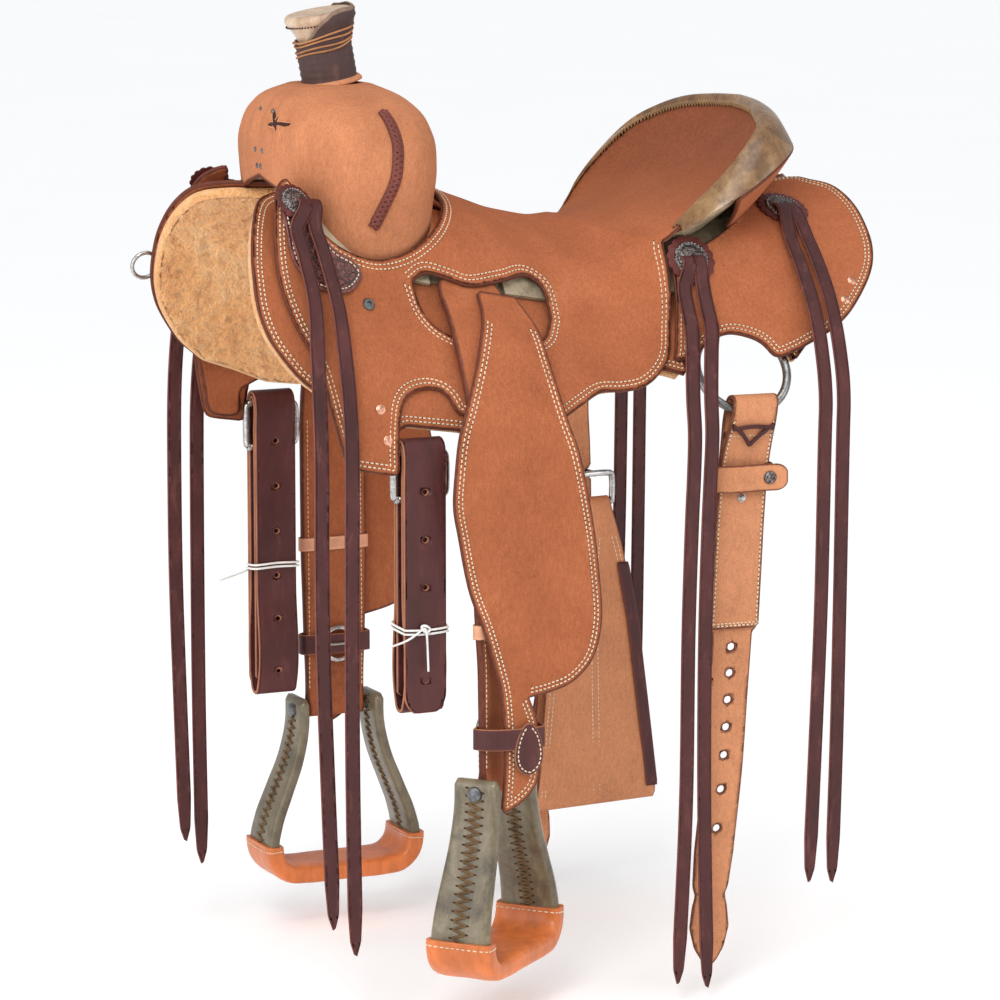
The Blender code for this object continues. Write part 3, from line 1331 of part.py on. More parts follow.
def build_ring(label, side):
    centre, down, _ = ring_frame(side)
    across = rear_axes(side)[0]
    points = [centre + down * RING_RADIUS * math.cos(a) + across * RING_RADIUS * math.sin(a)
              for a in np.linspace(0, 2 * math.pi, 25)[:-1]]
    rod("rear_ring_" + label, points, RING_ROD, "dark_steel", cyclic=True)


def billet_middle(label, side, z):
    """Middle of a billet at a height, below the ring it hangs from."""
    path = BILLET_PATHS[label]
    x = spline([-place for place, _ in path], [value for _, value in path], -z)
    return rear_point(side, x, z)


def build_billet(label, side):
    """Billet folded over the ring, its plies sewn together, then a single ply with holes."""
    across, outward = rear_axes(side)
    axis = ring_foot(side).z + BILLET_AXIS_RISE
    eye = BILLET_EYE_GAP + STRAP_THICK
    outline = [(axis + 0.0140, 0.0040), (axis + 0.0126, 0.0080), (axis + 0.0095, 0.0105), (axis + 0.004, eye),
               (axis - 0.012, eye), (axis - 0.030, 0.0080), (axis - 0.055, STRAP_THICK), (-0.200, STRAP_THICK),
               (-0.265, STRAP_THICK), (BILLET_DOUBLE_Z, STRAP_THICK), (BILLET_DOUBLE_Z - 0.002, STRAP_THICK / 2),
               (-0.400, STRAP_THICK / 2), (-0.470, STRAP_THICK / 2), (-0.560, STRAP_THICK / 2),
               (-0.596, STRAP_THICK / 2), (-0.606, STRAP_THICK / 2), (-0.618, STRAP_THICK / 2),
               (-0.640, STRAP_THICK / 2), (-0.662, STRAP_THICK / 2), (-0.676, STRAP_THICK / 2),
               (-0.681, STRAP_THICK / 2)]
    widths_z = (0.050, 0.100, 0.150, 0.325, 0.330, 0.400, 0.560, 0.596, 0.606, 0.618, 0.640, 0.662, 0.676,
                0.681)
    widths = (0.0245, 0.0250, 0.0270, 0.0275, 0.0225, 0.0220, 0.0220, 0.0200, 0.0165, 0.0195, 0.0220,
              0.0165, 0.0080, 0.0030)
    stations = []
    for z, half_thick in outline:
        shift = STRAP_THICK / 2 if z < BILLET_DOUBLE_Z else 0.0
        middle = billet_middle(label, side, z) - outward * shift
        stations.append((middle, across, float(np.interp(-z, widths_z, widths)), outward, half_thick))
    billet = strap("rear_billet_" + label, stations, "light_tan")
    gap = BILLET_EYE_GAP
    tunnel = [(-gap, axis + 0.0040), (-gap * 0.7, axis + 0.0092), (0, axis + 0.0103),
              (gap * 0.7, axis + 0.0080), (gap, axis + 0.0020), (gap, axis - 0.0090),
              (0.0006, axis - 0.0400), (-0.0006, axis - 0.0400), (-gap, axis - 0.0090)]
    ends = [[rear_point(side, x, z, d) for d, z in tunnel] for x in (RING_X - 0.080, RING_X + 0.080)]
    cut(billet, as_cutter(loft("billet_eye_" + label, ends, "light_tan")))
    places = [billet_middle(label, side, z) for z in BILLET_HOLE_Z]
    if side == FAR:
        places.append(rear_point(side, CINCH_X, CINCH_BUCKLE_TOP_Z))
    for k, place in enumerate(places):
        ends = [place - outward * 0.020, place + outward * 0.020]
        cut(billet, as_cutter(rod("billet_hole_%s_%d" % (label, k), ends, BILLET_HOLE, "steel")))


def build_billet_keeper():
    """Folded strap round the near billet, its flap lying on the outer face."""
    across, outward = rear_axes(NEAR)
    middle = billet_middle("left", NEAR, (KEEPER_TOP_Z + KEEPER_FOOT_Z) / 2)
    half = 0.0275 + 0.0010
    near = STRAP_THICK + 0.0009 + 0.0015
    path = [(0.046, near + 0.0050), (half + 0.004, near + 0.0046), (half - 0.006, near + 0.0040),
            (-half + 0.004, near + 0.0040), (-half - 0.004, near + 0.0010), (-half - 0.0055, 0.0),
            (-half - 0.004, -near), (-half + 0.002, -near - 0.0012), (half - 0.004, -near - 0.0012),
            (half + 0.0022, -near + 0.0006), (half + 0.0032, 0.0), (half + 0.0010, near - 0.0002),
            (half - 0.010, near)]
    up = Vector((0, 0, 1))
    half_height = (KEEPER_TOP_Z - KEEPER_FOOT_Z) / 2
    stations = []
    for k, (a, d) in enumerate(path):
        before = path[max(k - 1, 0)]
        after = path[min(k + 1, len(path) - 1)]
        along = across * (after[0] - before[0]) + outward * (after[1] - before[1])
        stations.append((middle + across * a + outward * d, up, half_height, along.cross(up), 0.0012))
    strap("billet_keeper", stations, "light_tan")


def build_cinch():
    """Flank cinch folded double, its loop round the lower bar of the buckle on the far billet."""
    def half_width(z):
        return float(np.interp(-z, [-p[0] for p in CINCH_PINS], [p[2] for p in CINCH_PINS]))

    def middle_x(z):
        return float(np.interp(-z, [-p[0] for p in CINCH_PINS], [p[1] for p in CINCH_PINS]))

    across, outward = rear_axes(FAR)
    bar = CINCH_BUCKLE_FOOT_Z
    loop = CINCH_BUCKLE_ROD + 0.0008 + CINCH_THICK / 2
    gap = CINCH_HALF_GAP
    low = CINCH_PINS[-1][0]
    down = [(loop, bar), (loop + 0.001, -0.275), (gap, -0.300), (gap, -0.350), (gap, -0.425), (gap, -0.510),
            (gap, low + gap + 0.010)]
    turn = [(gap * 0.8, low + 0.008), (0.0, low)]
    top = [(0.0, bar + loop), (loop * 0.72, bar + loop * 0.72)]
    half = top + down + turn
    path = half + [(-d, z) for d, z in half[::-1][1:-1]]
    rings = []
    for k, (d, z) in enumerate(path):
        before = path[k - 1]
        after = path[(k + 1) % len(path)]
        along = outward * (after[0] - before[0]) + Vector((0, 0, after[1] - before[1]))
        through = along.cross(across).normalized() * CINCH_THICK / 2
        a = across * half_width(z)
        middle = rear_point(FAR, middle_x(z), z, d - CINCH_INSET)
        rings.append((middle - a - through, middle + a - through, middle + a + through, middle - a + through))
    loft("flank_cinch", rings, "light_tan", closed=True)
    left = CINCH_X - CINCH_BUCKLE_HALF
    right = CINCH_X + CINCH_BUCKLE_HALF
    top_z = CINCH_BUCKLE_TOP_Z
    ring = [(left, top_z - 0.005), (left + 0.005, top_z), (right - 0.005, top_z), (right, top_z - 0.005),
            (right, bar + 0.005), (right - 0.004, bar), (left + 0.004, bar), (left, bar + 0.005)]
    buckle = rod("cinch_buckle", [rear_point(FAR, x, z, -CINCH_INSET) for x, z in ring], CINCH_BUCKLE_ROD,
                 "steel", cyclic=True)
    pin = rod("cinch_pin", [rear_point(FAR, CINCH_X, top_z, -CINCH_INSET),
                            rear_point(FAR, CINCH_X, top_z, STRAP_THICK + 0.005)], CINCH_PIN_RADIUS, "steel")
    cut(buckle, as_cutter(pin), "UNION")


def build_rear_rigging():
    for label, side in SIDES:
        build_ring(label, side)
        build_billet(label, side)
    build_billet_keeper()
    build_cinch()


# Conchos, strings and the breast dee

def keeper_lift(x, s):
    return seat_lift(x, s) + LAYER_GAP + KEEPER_THICK


def top_lift(place, x, s):
    """Lift of the leather that a string lies on."""
    return keeper_lift(x, s) if place == "front" else jockey_lift(x, s)


def top_point(place, x, s, extra=0.0):
    return on_back(x, s, top_lift(place, x, s) + extra)


def top_normal(place, x, s):
    """Outward normal of the leather below a concho."""
    step = 0.004
    along = top_point(place, x + step, s) - top_point(place, x - step, s)
    down = top_point(place, x, s + step) - top_point(place, x, s - step)
    normal = along.cross(down).normalized()
    if normal.dot(normal_on_back(x, s)) < 0:
        normal.negate()
    return normal


def build_front_keeper(label, side):
    outline = outline_of([(-0.262, 0.114), (-0.258, 0.128), (-0.243, 0.146), (-0.223, 0.153), (-0.216, 0.166),
                          (-0.236, 0.187), (-0.270, 0.190), (-0.291, 0.170), (-0.294, 0.140), (-0.295, 0.112)],
                         [(-0.295, 0.112), (-0.280, 0.100), (-0.262, 0.114)])
    back_layer("front_keeper_" + label, outline, side, lambda x, s: seat_lift(x, s) + LAYER_GAP, keeper_lift,
               "tooled_brown")


def build_concho(place, label, side):
    x, s, radius, stand_off = CONCHOS[place]
    height = CONCHO_HEIGHT
    disc = turned("%s_concho_%s" % (place, label), [
        (0, height), (radius * 0.55, height * 0.92), (radius * 0.8, height * 0.55), (radius, height * 0.35),
        (radius, 0.0), (0, 0.0)], "dark_steel", CONCHO_STEPS)
    lay_on(disc, top_point(place, x, side * s, stand_off), top_normal(place, x, side * s))


def tail_places(start, knots):
    """Places down a tail from its start, close together on the saddle and farther apart where it hangs."""
    line = run([(start[0], start[1]), *knots], 0.010) + [Vector((*knots[-1], 0))]
    places = [line[0]]
    for point in line[1:-1]:
        step = LACE_STEP if point.y > -0.130 else LACE_FREE_STEP
        if (point - places[-1]).length > step and (point - line[-1]).length > step * 0.6:
            places.append(point)
    return places[1:] + [line[-1]]


def lace_line(place, side):
    """Points and normals of a string, from one tip up over its concho and down to the other."""
    x, s, radius, stand_off = CONCHOS[place]
    normal = top_normal(place, x, side * s)
    centre = top_point(place, x, side * s, stand_off)
    face = centre + normal * (CONCHO_HEIGHT + LACE_OVER + LACE_THICK / 2)
    along = (Vector((1, 0, 0)) - normal * normal.x).normalized()
    up = along.cross(normal)
    if up.z < 0:
        up.negate()
    tails = []
    for offset, knots in zip((-LACE_TOP_RADIUS, LACE_TOP_RADIUS), LACE_PATHS[place]):
        tail = [(face + along * offset - up * (radius + 0.005), normal)]
        for spot in tail_places((x + offset, centre.z - 0.004), knots):
            length = drop_length(spot.x, spot.y)
            away = (on_back(spot.x, side * length) - centre).length
            if away < radius + 0.018:
                continue
            clear = LACE_CLEAR[place] * smoothstep((away - radius) / 0.120)
            lift = top_lift(place, spot.x, min(length, 0.300)) + 0.0030 + clear
            if spot.y > LACE_LEAVES_Z:
                across = top_normal(place, spot.x, side * length)
            else:
                across = normal_on_back(spot.x, side * length)
            tail.append((on_back(spot.x, side * length, lift), across))
        tails.append(tail)
    reach = LACE_TOP_RADIUS
    bend = [(face - along * reach * math.cos(a) + up * reach * math.sin(a), normal)
            for a in np.radians((-30, 0, 36, 72, 108, 144, 180, 210))]
    return tails[0][::-1] + bend + tails[1]


def build_lace(place, label, side):
    line = lace_line(place, side)
    stations = []
    for k, (point, normal) in enumerate(line):
        before = line[max(k - 1, 0)][0]
        after = line[min(k + 1, len(line) - 1)][0]
        across = normal.cross(after - before)
        width = LACE_HALF_WIDTH * (0.45 if k in (0, len(line) - 1) else 1.0)
        stations.append((point, across, width, normal, LACE_THICK / 2))
    strap("%s_string_%s" % (place, label), stations, "burgundy")


def build_breast_dee():
    x = -0.3385
    s = 0.214
    radius = 0.014
    centre = on_back(x, s, 0.0022 + 2 * FIT)
    down = Vector((0, normal_on_back(x, s).z, -normal_on_back(x, s).y))
    points = [centre + Vector((1, 0, 0)) * radius * math.cos(a) + down * radius * math.sin(a)
              for a in np.linspace(0, 2 * math.pi, 13)[:-1]]
    rod("breast_dee", points, 0.0022, "steel", cyclic=True)


def build_trim():
    for label, side in SIDES:
        build_front_keeper(label, side)
        for place in CONCHOS:
            build_concho(place, label, side)
            build_lace(place, label, side)
    build_breast_dee()


# Joints

def hang_legs():
    """Each leather swings where it leaves the bar, and its stirrup swings on the bolt."""
    for label, side in SIDES:
        pivot = hang("leg_pivot_" + label, on_back(LEG_PIVOT_X[label], side * LEG_PIVOT_S, LEG_PIVOT_LIFT),
                     ["%s_%s" % (piece, label) for piece in (
                         "stirrup_leather", "fender", "hobble_strap", "hobble_buckle")])
        hang("bolt_pivot_" + label, leg_axes(label, side, BOLT_Z)[0],
             ["%s_%s" % (piece, label) for piece in ("stirrup", "stirrup_tread", "stirrup_bolt")], pivot)


def hang_rigging():
    """The dees turn on their front posts, the billets on the rings and the cinch on its buckle's lower bar."""
    for label, side in SIDES:
        post = on_back(DEE_POST_X, side * drop_length(DEE_POST_X, DEE_TOP_Z[label]), -DEE_SINK)
        hang("dee_pivot_" + label, post, ["front_dee_" + label, "latigo_" + label])
    z = ring_foot(NEAR).z + BILLET_AXIS_RISE
    hang("billet_pivot_left", rear_point(NEAR, RING_X, z, BILLET_PIVOT_OFFSET["left"]),
         ["rear_billet_left", "billet_keeper"])
    pivot = hang("billet_pivot_right", rear_point(FAR, RING_X, z, BILLET_PIVOT_OFFSET["right"]),
                 ["rear_billet_right", "cinch_buckle"])
    hang("cinch_pivot", rear_point(FAR, CINCH_X, CINCH_BUCKLE_FOOT_Z, -CINCH_INSET), ["flank_cinch"], pivot)


def hang_strings():
    """Each string swings fore and aft behind its concho."""
    for place, (_, s, _, stand_off) in CONCHOS.items():
        for label, side in SIDES:
            point = top_point(place, STRING_PIVOT_X[place], side * s, stand_off)
            hang("%s_string_pivot_%s" % (place, label), point, ["%s_string_%s" % (place, label)])


def main():
    clear_scene()
    build_tree()
    build_seat()
    build_ground_seat()
    build_binding()
    build_cantle_back()
    build_fork_cover()
    build_skirts()
    build_jockeys()
    build_legs()
    build_front_rigging()
    build_rear_rigging()
    build_trim()
    hang_legs()
    hang_rigging()
    hang_strings()


main()
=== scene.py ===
"""Looks of the strip down saddle, laid out as a Blender add-on and run as a script.

Metres, +Z up, the horse's head towards -X and the near side towards -Y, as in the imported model.
Leather panels are flat patterns in x and s, where s is the length down the side of the back form.
"""
import math

import bmesh
import bpy
import numpy as np
from bpy.props import FloatProperty, FloatVectorProperty, PointerProperty
from bpy.types import Operator, Panel, PropertyGroup
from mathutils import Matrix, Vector


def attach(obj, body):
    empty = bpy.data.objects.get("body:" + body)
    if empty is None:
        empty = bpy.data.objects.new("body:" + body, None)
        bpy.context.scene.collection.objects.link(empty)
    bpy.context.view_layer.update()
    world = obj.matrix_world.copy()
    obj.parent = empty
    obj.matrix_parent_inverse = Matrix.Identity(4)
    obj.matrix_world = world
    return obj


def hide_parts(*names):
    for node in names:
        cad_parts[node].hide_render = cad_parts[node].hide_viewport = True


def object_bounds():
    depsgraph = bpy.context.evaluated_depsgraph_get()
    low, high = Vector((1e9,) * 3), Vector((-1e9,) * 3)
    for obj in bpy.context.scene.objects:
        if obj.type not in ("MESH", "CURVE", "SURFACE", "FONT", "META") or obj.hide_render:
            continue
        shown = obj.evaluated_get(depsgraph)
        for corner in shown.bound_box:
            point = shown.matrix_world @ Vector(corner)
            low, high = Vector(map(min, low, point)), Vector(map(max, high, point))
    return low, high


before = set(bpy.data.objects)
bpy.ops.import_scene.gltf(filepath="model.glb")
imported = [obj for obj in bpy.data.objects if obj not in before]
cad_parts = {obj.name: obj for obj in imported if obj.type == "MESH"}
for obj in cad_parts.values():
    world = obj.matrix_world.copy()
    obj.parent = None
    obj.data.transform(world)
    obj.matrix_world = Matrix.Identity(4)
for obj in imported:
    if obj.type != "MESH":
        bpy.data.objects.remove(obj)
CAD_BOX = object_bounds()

bl_info = {
    "name": "Strip down saddle",
    "version": (1, 0, 0),
    "blender": (4, 5, 0),
    "location": "View3D > Sidebar > Saddle",
    "description": "Builds the leather, rawhide, fleece and metal of a western ranch saddle",
    "category": "Object",
}

SIDES = (("left", -1), ("right", 1))
UP = np.array([0.0, 0.0, 1.0])
ALONG = np.array([1.0, 0.0, 0.0])
ACROSS = np.array([0.0, 1.0, 0.0])

# Thicknesses and gaps of the layers
SKIRT_THICK = 0.004
SEAT_THICK = 0.004
FLEECE_THICK = 0.012
STRAP_THICK = 0.004
FENDER_THICK = 0.0035
LACE_THICK = 0.0028
KEEPER_THICK = 0.0035
LAYER_GAP = 0.0014
EDGE_INSET = 0.0016
STRAP_CELL = (0.004, 0.0035)
SEAM_INSETS = (0.0058, 0.0100)
HOLE_SIDES = 14
RIVET_RADIUS = 0.0050

# Back form: x, crown height, half width, foot height, crown handle, foot handle
BACK_STATIONS = np.array([
    (-0.300, 0.158, 0.178, -0.150, 0.080, 0.222), (-0.220, 0.140, 0.200, -0.150, 0.085, 0.110),
    (-0.080, 0.092, 0.212, -0.150, 0.095, 0.095), (0.070, 0.062, 0.216, -0.150, 0.095, 0.080),
    (0.210, 0.084, 0.216, -0.110, 0.105, 0.080), (0.370, 0.118, 0.205, -0.090, 0.095, 0.060)])
FORM_STEP_X = 0.004
FORM_STEP_S = 0.002
FORM_X = np.arange(-0.420, 0.4601, FORM_STEP_X)
FORM_S = np.arange(0.0, 0.9601, FORM_STEP_S)

# Lifts of the seat, the rear jockeys and the bars above the skirts
SEAT_RISE_X = (-0.300, -0.250, -0.200, -0.095, 0.000, 0.060, 0.100, 0.124, 0.150)
SEAT_RISE = (0.014, 0.018, 0.022, 0.024, 0.017, 0.020, 0.032, 0.044, 0.046)
JOCKEY_RISE_X = (0.090, 0.124, 0.160, 0.200, 0.250, 0.300, 0.340)
JOCKEY_RISE = (0.028, 0.038, 0.031, 0.024, 0.015, 0.006, 0.000)
RISE_TOP_S = 0.095
RISE_FOOT_S = 0.195
BAR_THICK_X = (-0.262, -0.200, -0.095, 0.000, 0.060, 0.124, 0.200, 0.285)
BAR_THICK = (0.007, 0.014, 0.016, 0.011, 0.013, 0.018, 0.018, 0.007)
BAR_INNER_S = 0.032
BAR_OUTER_S = 0.150
GROOVE_DEPTH = 0.0055

# Cantle
DISH_LINE_X = 0.060
CANTLE_END_X = 0.124
CANTLE_END_S = 0.111
RIM_POINTS = np.array([
    (0.280, 0.000, 0.201), (0.273, 0.045, 0.199), (0.260, 0.086, 0.194), (0.246, 0.120, 0.183),
    (0.230, 0.136, 0.172), (0.186, 0.150, 0.132), (0.159, 0.144, 0.106), (0.139, 0.134, 0.083),
    (0.124, 0.130, 0.067)])
RIM_TURN_Q = (0.0, 0.3, 0.5, 0.7, 0.85, 1.0)
RIM_TURN = (0, 13, 34, 62, 74, 80)
RIM_TILT = 27
BINDING_DEPTH = 0.040
BINDING_THICK = 0.0035
BINDING_LIP = 0.008
BINDING_CLEAR = 0.0026
CANTLE_FOOT_Q = (0.0, 0.2, 0.35, 0.5, 0.65, 0.8)
CANTLE_FOOT_X = (0.293, 0.286, 0.266, 0.243, 0.216, 0.187)
CANTLE_FOOT_S = (0.0, 0.028, 0.053, 0.078, 0.098, 0.113)

# Fork and horn
FORK_Z = (0.070, 0.110, 0.150, 0.185, 0.208, 0.223, 0.231)
FORK_HALF_LENGTH = (0.080, 0.083, 0.086, 0.083, 0.073, 0.057, 0.040)
FORK_HALF_WIDTH = (0.122, 0.130, 0.138, 0.132, 0.112, 0.082, 0.050)
FORK_MIDDLE_X = (-0.184, -0.184, -0.184, -0.185, -0.187, -0.190, -0.191)
FORK_SQUARENESS = 2.4
FORK_COVER_THICK = 0.0035
FORK_SKIRT = 0.020
FORK_EDGE_ANGLES = (0, 30, 60, 90, 115, 135, 150, 180)
FORK_EDGE_Z = (0.116, 0.104, 0.086, 0.077, 0.086, 0.116, 0.138, 0.160)
HORN_X = -0.191
HORN_Z = 0.232
HORN_LEAN = math.radians(-10.2)
HORN_WRAP_RADIUS = 0.0285
HORN_CAP_RADIUS = 0.0355
HORN_HEIGHT = 0.074

# Stirrup leathers, fenders and stirrups
LEG_X = -0.096
STRAP_WIDTH = 0.076
LEATHER_TOP = (
    (0.1285, 0.0138, 0.0015, 0.004), (0.1325, 0.0130, 0.0015, 0.017), (0.1405, 0.0110, 0.0015, 0.0277),
    (0.1525, 0.0088, 0.0018, 0.0353), (0.1665, 0.0096, 0.0026, 0.038), (0.1850, 0.0120, 0.0036, 0.038),
    (0.1950, 0.0132, 0.0038, 0.038), (0.2080, 0.0142, 0.0040, 0.038), (0.2250, 0.0144, 0.0040, 0.038),
    (0.2600, 0.0144, 0.0040, 0.038), (0.3000, 0.0144, 0.0040, 0.038))
STRAP_LIFT = 0.0144
TURN = {"left": math.radians(40), "right": 0.0}
TURN_TOP_Z = -0.190
TURN_FOOT_Z = -0.360
INWARD = {"left": 0.0255, "right": 0.0065}
FOOT_HALF = 0.034
BOLT_Z = -0.468
BOLT_RADIUS = 0.0050
FENDER_LEFT_EDGE = ((-0.094, 0.020), (-0.099, -0.006), (-0.113, -0.036), (-0.136, -0.081), (-0.153, -0.118),
                    (-0.160, -0.168), (-0.154, -0.208), (-0.143, -0.260), (-0.127, -0.302), (-0.114, -0.344),
                    (-0.107, -0.375), (-0.104, -0.437), (-0.108, -0.493))
FENDER_RIGHT_EDGE = ((-0.083, -0.480), (-0.067, -0.461), (-0.064, -0.431), (-0.067, -0.399),
                     (-0.076, -0.374))
FENDER_LOBE = ((-0.076, -0.374), (-0.052, -0.370), (-0.026, -0.361), (-0.004, -0.338), (0.005, -0.302),
               (0.003, -0.261), (-0.005, -0.199), (-0.018, -0.137), (-0.030, -0.098), (-0.039, -0.050),
               (-0.042, -0.010), (-0.052, 0.020))
FENDER_LIFT_S = (0.150, 0.1665, 0.185, 0.205, 0.300)
FENDER_LIFT = (0.0122, 0.0140, 0.0172, 0.0198, 0.0198)
FENDER_SHIFT = {"left": 0.0, "right": 0.034}
HOBBLE_Z = {"left": -0.414, "right": -0.396}
HOBBLE_HALF_HEIGHT = 0.011
STIRRUP_X = -0.098
BOW = ((0.044, 0.000), (0.0445, -0.030), (0.052, -0.066), (0.066, -0.102), (0.079, -0.136), (0.0835, -0.160),
       (0.079, -0.178), (0.067, -0.189), (0.045, -0.192), (0.015, -0.192))
STIRRUP_WALL = 0.012
STIRRUP_TOP_DEPTH = 0.049
STIRRUP_FOOT_DEPTH = 0.066
STIRRUP_ABOVE_BOLT = 0.014
TREAD_THICK = 0.0035

# Front rigging
DEE_POST_X = -0.2075
DEE_SINK = 0.0036
DEE_TOP_Z = {"left": -0.121, "right": -0.1232}
DEE_HEIGHT = 0.048
DEE_SPAN = 0.056
DEE_ROD = 0.0040
LATIGO_WIDTH = 0.046
LATIGO_FOOT_Z = {"left": -0.385, "right": -0.440}
LATIGO_INNER = 0.0066
LATIGO_PITCH = 0.0050
LATIGO_HOLES = {"left": (0.012, 0.060, 0.108, 0.155, 0.202, 0.248),
                "right": (0.012, 0.061, 0.110, 0.158, 0.205, 0.262)}

# Rear rigging
RING_X = 0.1857
RING_CUT_X = 0.180
RING_SHEAR = 0.20
RING_S = 0.2485
RING_TOP_S = 0.2025
RING_TOP_SINK = 0.0082
RING_PLANE_S = 0.222
RING_RADIUS = 0.049
RING_ROD = 0.0045
BILLET_INSET = 0.0018
BILLET_AXIS_RISE = 0.0035
BILLET_DOUBLE_Z = -0.325
BILLET_PATHS = {
    "left": ((-0.060, 0.186), (-0.150, 0.173), (-0.325, 0.162), (-0.506, 0.150), (-0.600, 0.140),
             (-0.680, 0.139)),
    "right": ((-0.060, 0.178), (-0.150, 0.184), (-0.325, 0.186), (-0.506, 0.160), (-0.600, 0.144),
              (-0.680, 0.138))}
BILLET_HOLE = 0.0040
BILLET_HOLE_Z = (-0.3445, -0.372, -0.400, -0.4285, -0.458, -0.494, -0.535)
KEEPER_TOP_Z = -0.154
KEEPER_FOOT_Z = -0.182
CINCH_X = 0.2105
CINCH_INSET = 0.0180
CINCH_BUCKLE_HALF = 0.0215
CINCH_BUCKLE_TOP_Z = -0.2295
CINCH_BUCKLE_FOOT_Z = -0.2625
CINCH_BUCKLE_ROD = 0.0035
CINCH_PINS = ((-0.258, 0.2105, 0.0165), (-0.2625, 0.2105, 0.0165), (-0.285, 0.208, 0.025),
              (-0.330, 0.204, 0.042), (-0.400, 0.204, 0.056), (-0.500, 0.206, 0.068), (-0.605, 0.208, 0.080))
CINCH_HALF_GAP = 0.0085
CINCH_THICK = 0.0035

# Conchos and strings
CONCHO_HEIGHT = 0.005
CONCHOS = {"front": (-0.279, 0.110, 0.0185, 0.0010), "side": (0.1515, 0.132, 0.0235, 0.0022),
           "rear": (0.288, 0.082, 0.0240, 0.0010)}
LACE_HALF_WIDTH = 0.008
LACE_TOP_RADIUS = 0.010
LACE_PATHS = {
    "front": (((-0.292, 0.040), (-0.298, -0.040), (-0.300, -0.150), (-0.300, -0.300), (-0.296, -0.450),
               (-0.291, -0.600)),
              ((-0.268, 0.040), (-0.269, -0.040), (-0.271, -0.150), (-0.272, -0.300), (-0.272, -0.450),
               (-0.270, -0.628))),
    "side": (((0.134, -0.020), (0.119, -0.060), (0.107, -0.120), (0.100, -0.300), (0.098, -0.500),
              (0.090, -0.690)),
             ((0.154, -0.020), (0.138, -0.060), (0.126, -0.120), (0.119, -0.300), (0.119, -0.500),
              (0.124, -0.698))),
    "rear": (((0.272, 0.030), (0.265, -0.030), (0.260, -0.100), (0.257, -0.300), (0.252, -0.450),
              (0.246, -0.600)),
             ((0.293, 0.030), (0.286, -0.030), (0.282, -0.100), (0.280, -0.300), (0.278, -0.450),
              (0.274, -0.604)))}
LACE_OVER = 0.0009
STRING_SHIFT = {"front": 0.012, "side": 0.0, "rear": 0.0}
SLOT_SHIFT = {"front": 0.0135, "side": 0.0, "rear": 0.0}
LACE_CLEAR = {"front": 0.008, "side": 0.016, "rear": 0.012}
LACE_LEAVES_Z = -0.030
FLOOR_REACH = 60.0
FLOOR_DROP = 0.012
LOOK_AT = (0, 0, -0.213)
CAMERA_TURN = math.radians(25)
CAMERA_TILT = math.radians(9.5)
CAMERA_DISTANCE = 4.8
CAMERA_LENS = 164.16


# Curves and arrays

def spline(places, values, x):
    """Cubic through the values at the places, its slope at each one weighted from the chords beside it."""
    places = np.asarray(places, float)
    values = np.asarray(values, float)
    x = np.asarray(x, float)
    gaps = np.diff(places)
    chords = np.diff(values) / gaps
    slopes = np.empty_like(values)
    slopes[0] = chords[0]
    slopes[-1] = chords[-1]
    slopes[1:-1] = (chords[:-1] * gaps[1:] + chords[1:] * gaps[:-1]) / (gaps[1:] + gaps[:-1])
    i = np.clip(np.searchsorted(places, x) - 1, 0, len(gaps) - 1)
    t = np.clip((x - places[i]) / gaps[i], -0.5, 1.5)
    ends = values[i] * (2 * t**3 - 3 * t**2 + 1) + values[i + 1] * (3 * t**2 - 2 * t**3)
    return ends + gaps[i] * (slopes[i] * (t**3 - 2 * t**2 + t) + slopes[i + 1] * (t**3 - t**2))


def smoothstep(t):
    t = np.clip(t, 0.0, 1.0)
    return t * t * (3 - 2 * t)


def unit(v):
    return v / np.maximum(np.linalg.norm(v, axis=-1, keepdims=True), 1e-12)


def col(a):
    """Array with one more axis at its end, to scale vectors."""
    return np.asarray(a, float)[..., None]


def stack(*parts):
    return np.stack(np.broadcast_arrays(*[np.asarray(p, float) for p in parts]), -1)


def run(points, step=0.006, closed=False):
    """Catmull-Rom curve through the points in steps of a length; an open one leaves out its last point."""
    p = np.asarray([tuple(q) for q in points], float)
    if len(p) == 2 and not closed:
        return p[:1]
    if closed:
        around = np.concatenate([p[-1:], p, p[:2]])
    else:
        around = np.concatenate([2 * p[:1] - p[1:2], p, 2 * p[-1:] - p[-2:-1]])
    out = []
    for k in range(len(around) - 3):
        before, a, b, after = around[k:k + 4]
        count = max(1, math.ceil(np.linalg.norm(b - a) / step))
        t = col(np.arange(count) / count)
        out.append(0.5 * (2 * a + (b - before) * t + (2 * before - 5 * a + 4 * b - after) * t**2
                          + (3 * a - before - 3 * b + after) * t**3))
    return np.concatenate(out)


def lengths_along(points):
    """Length along the points from the first of them to each."""
    return np.concatenate([[0], np.cumsum(np.linalg.norm(np.diff(points, axis=0), axis=1))])


def outline_of(*runs, step=0.006):
    return np.concatenate([run(points, step) for points in runs])


def arc(centre, radius, start, end, count):
    a = np.radians(np.linspace(start, end, count))
    return [(centre[0] + radius * c, centre[1] + radius * s) for c, s in zip(np.cos(a), np.sin(a))]


def ripple(x, y, pitch, seed):
    """Smooth noise from -1 to 1: waves of one pitch crossing at seven seeded angles, multiplied in pairs."""
    rng = np.random.default_rng(seed)
    total = 0
    for angle, shift, stretch in zip(rng.uniform(0, math.tau, 7), rng.uniform(0, math.tau, 7),
                                     rng.uniform(0.7, 1.4, 7)):
        u = (x * math.cos(angle) + y * math.sin(angle)) * math.tau / (pitch * stretch)
        v = (y * math.cos(angle) - x * math.sin(angle)) * math.tau / (pitch * stretch * 1.7)
        total = total + np.sin(u + shift) * np.cos(v + 2.3 * shift)
    return total / 3.2


# The back form and what lies on it

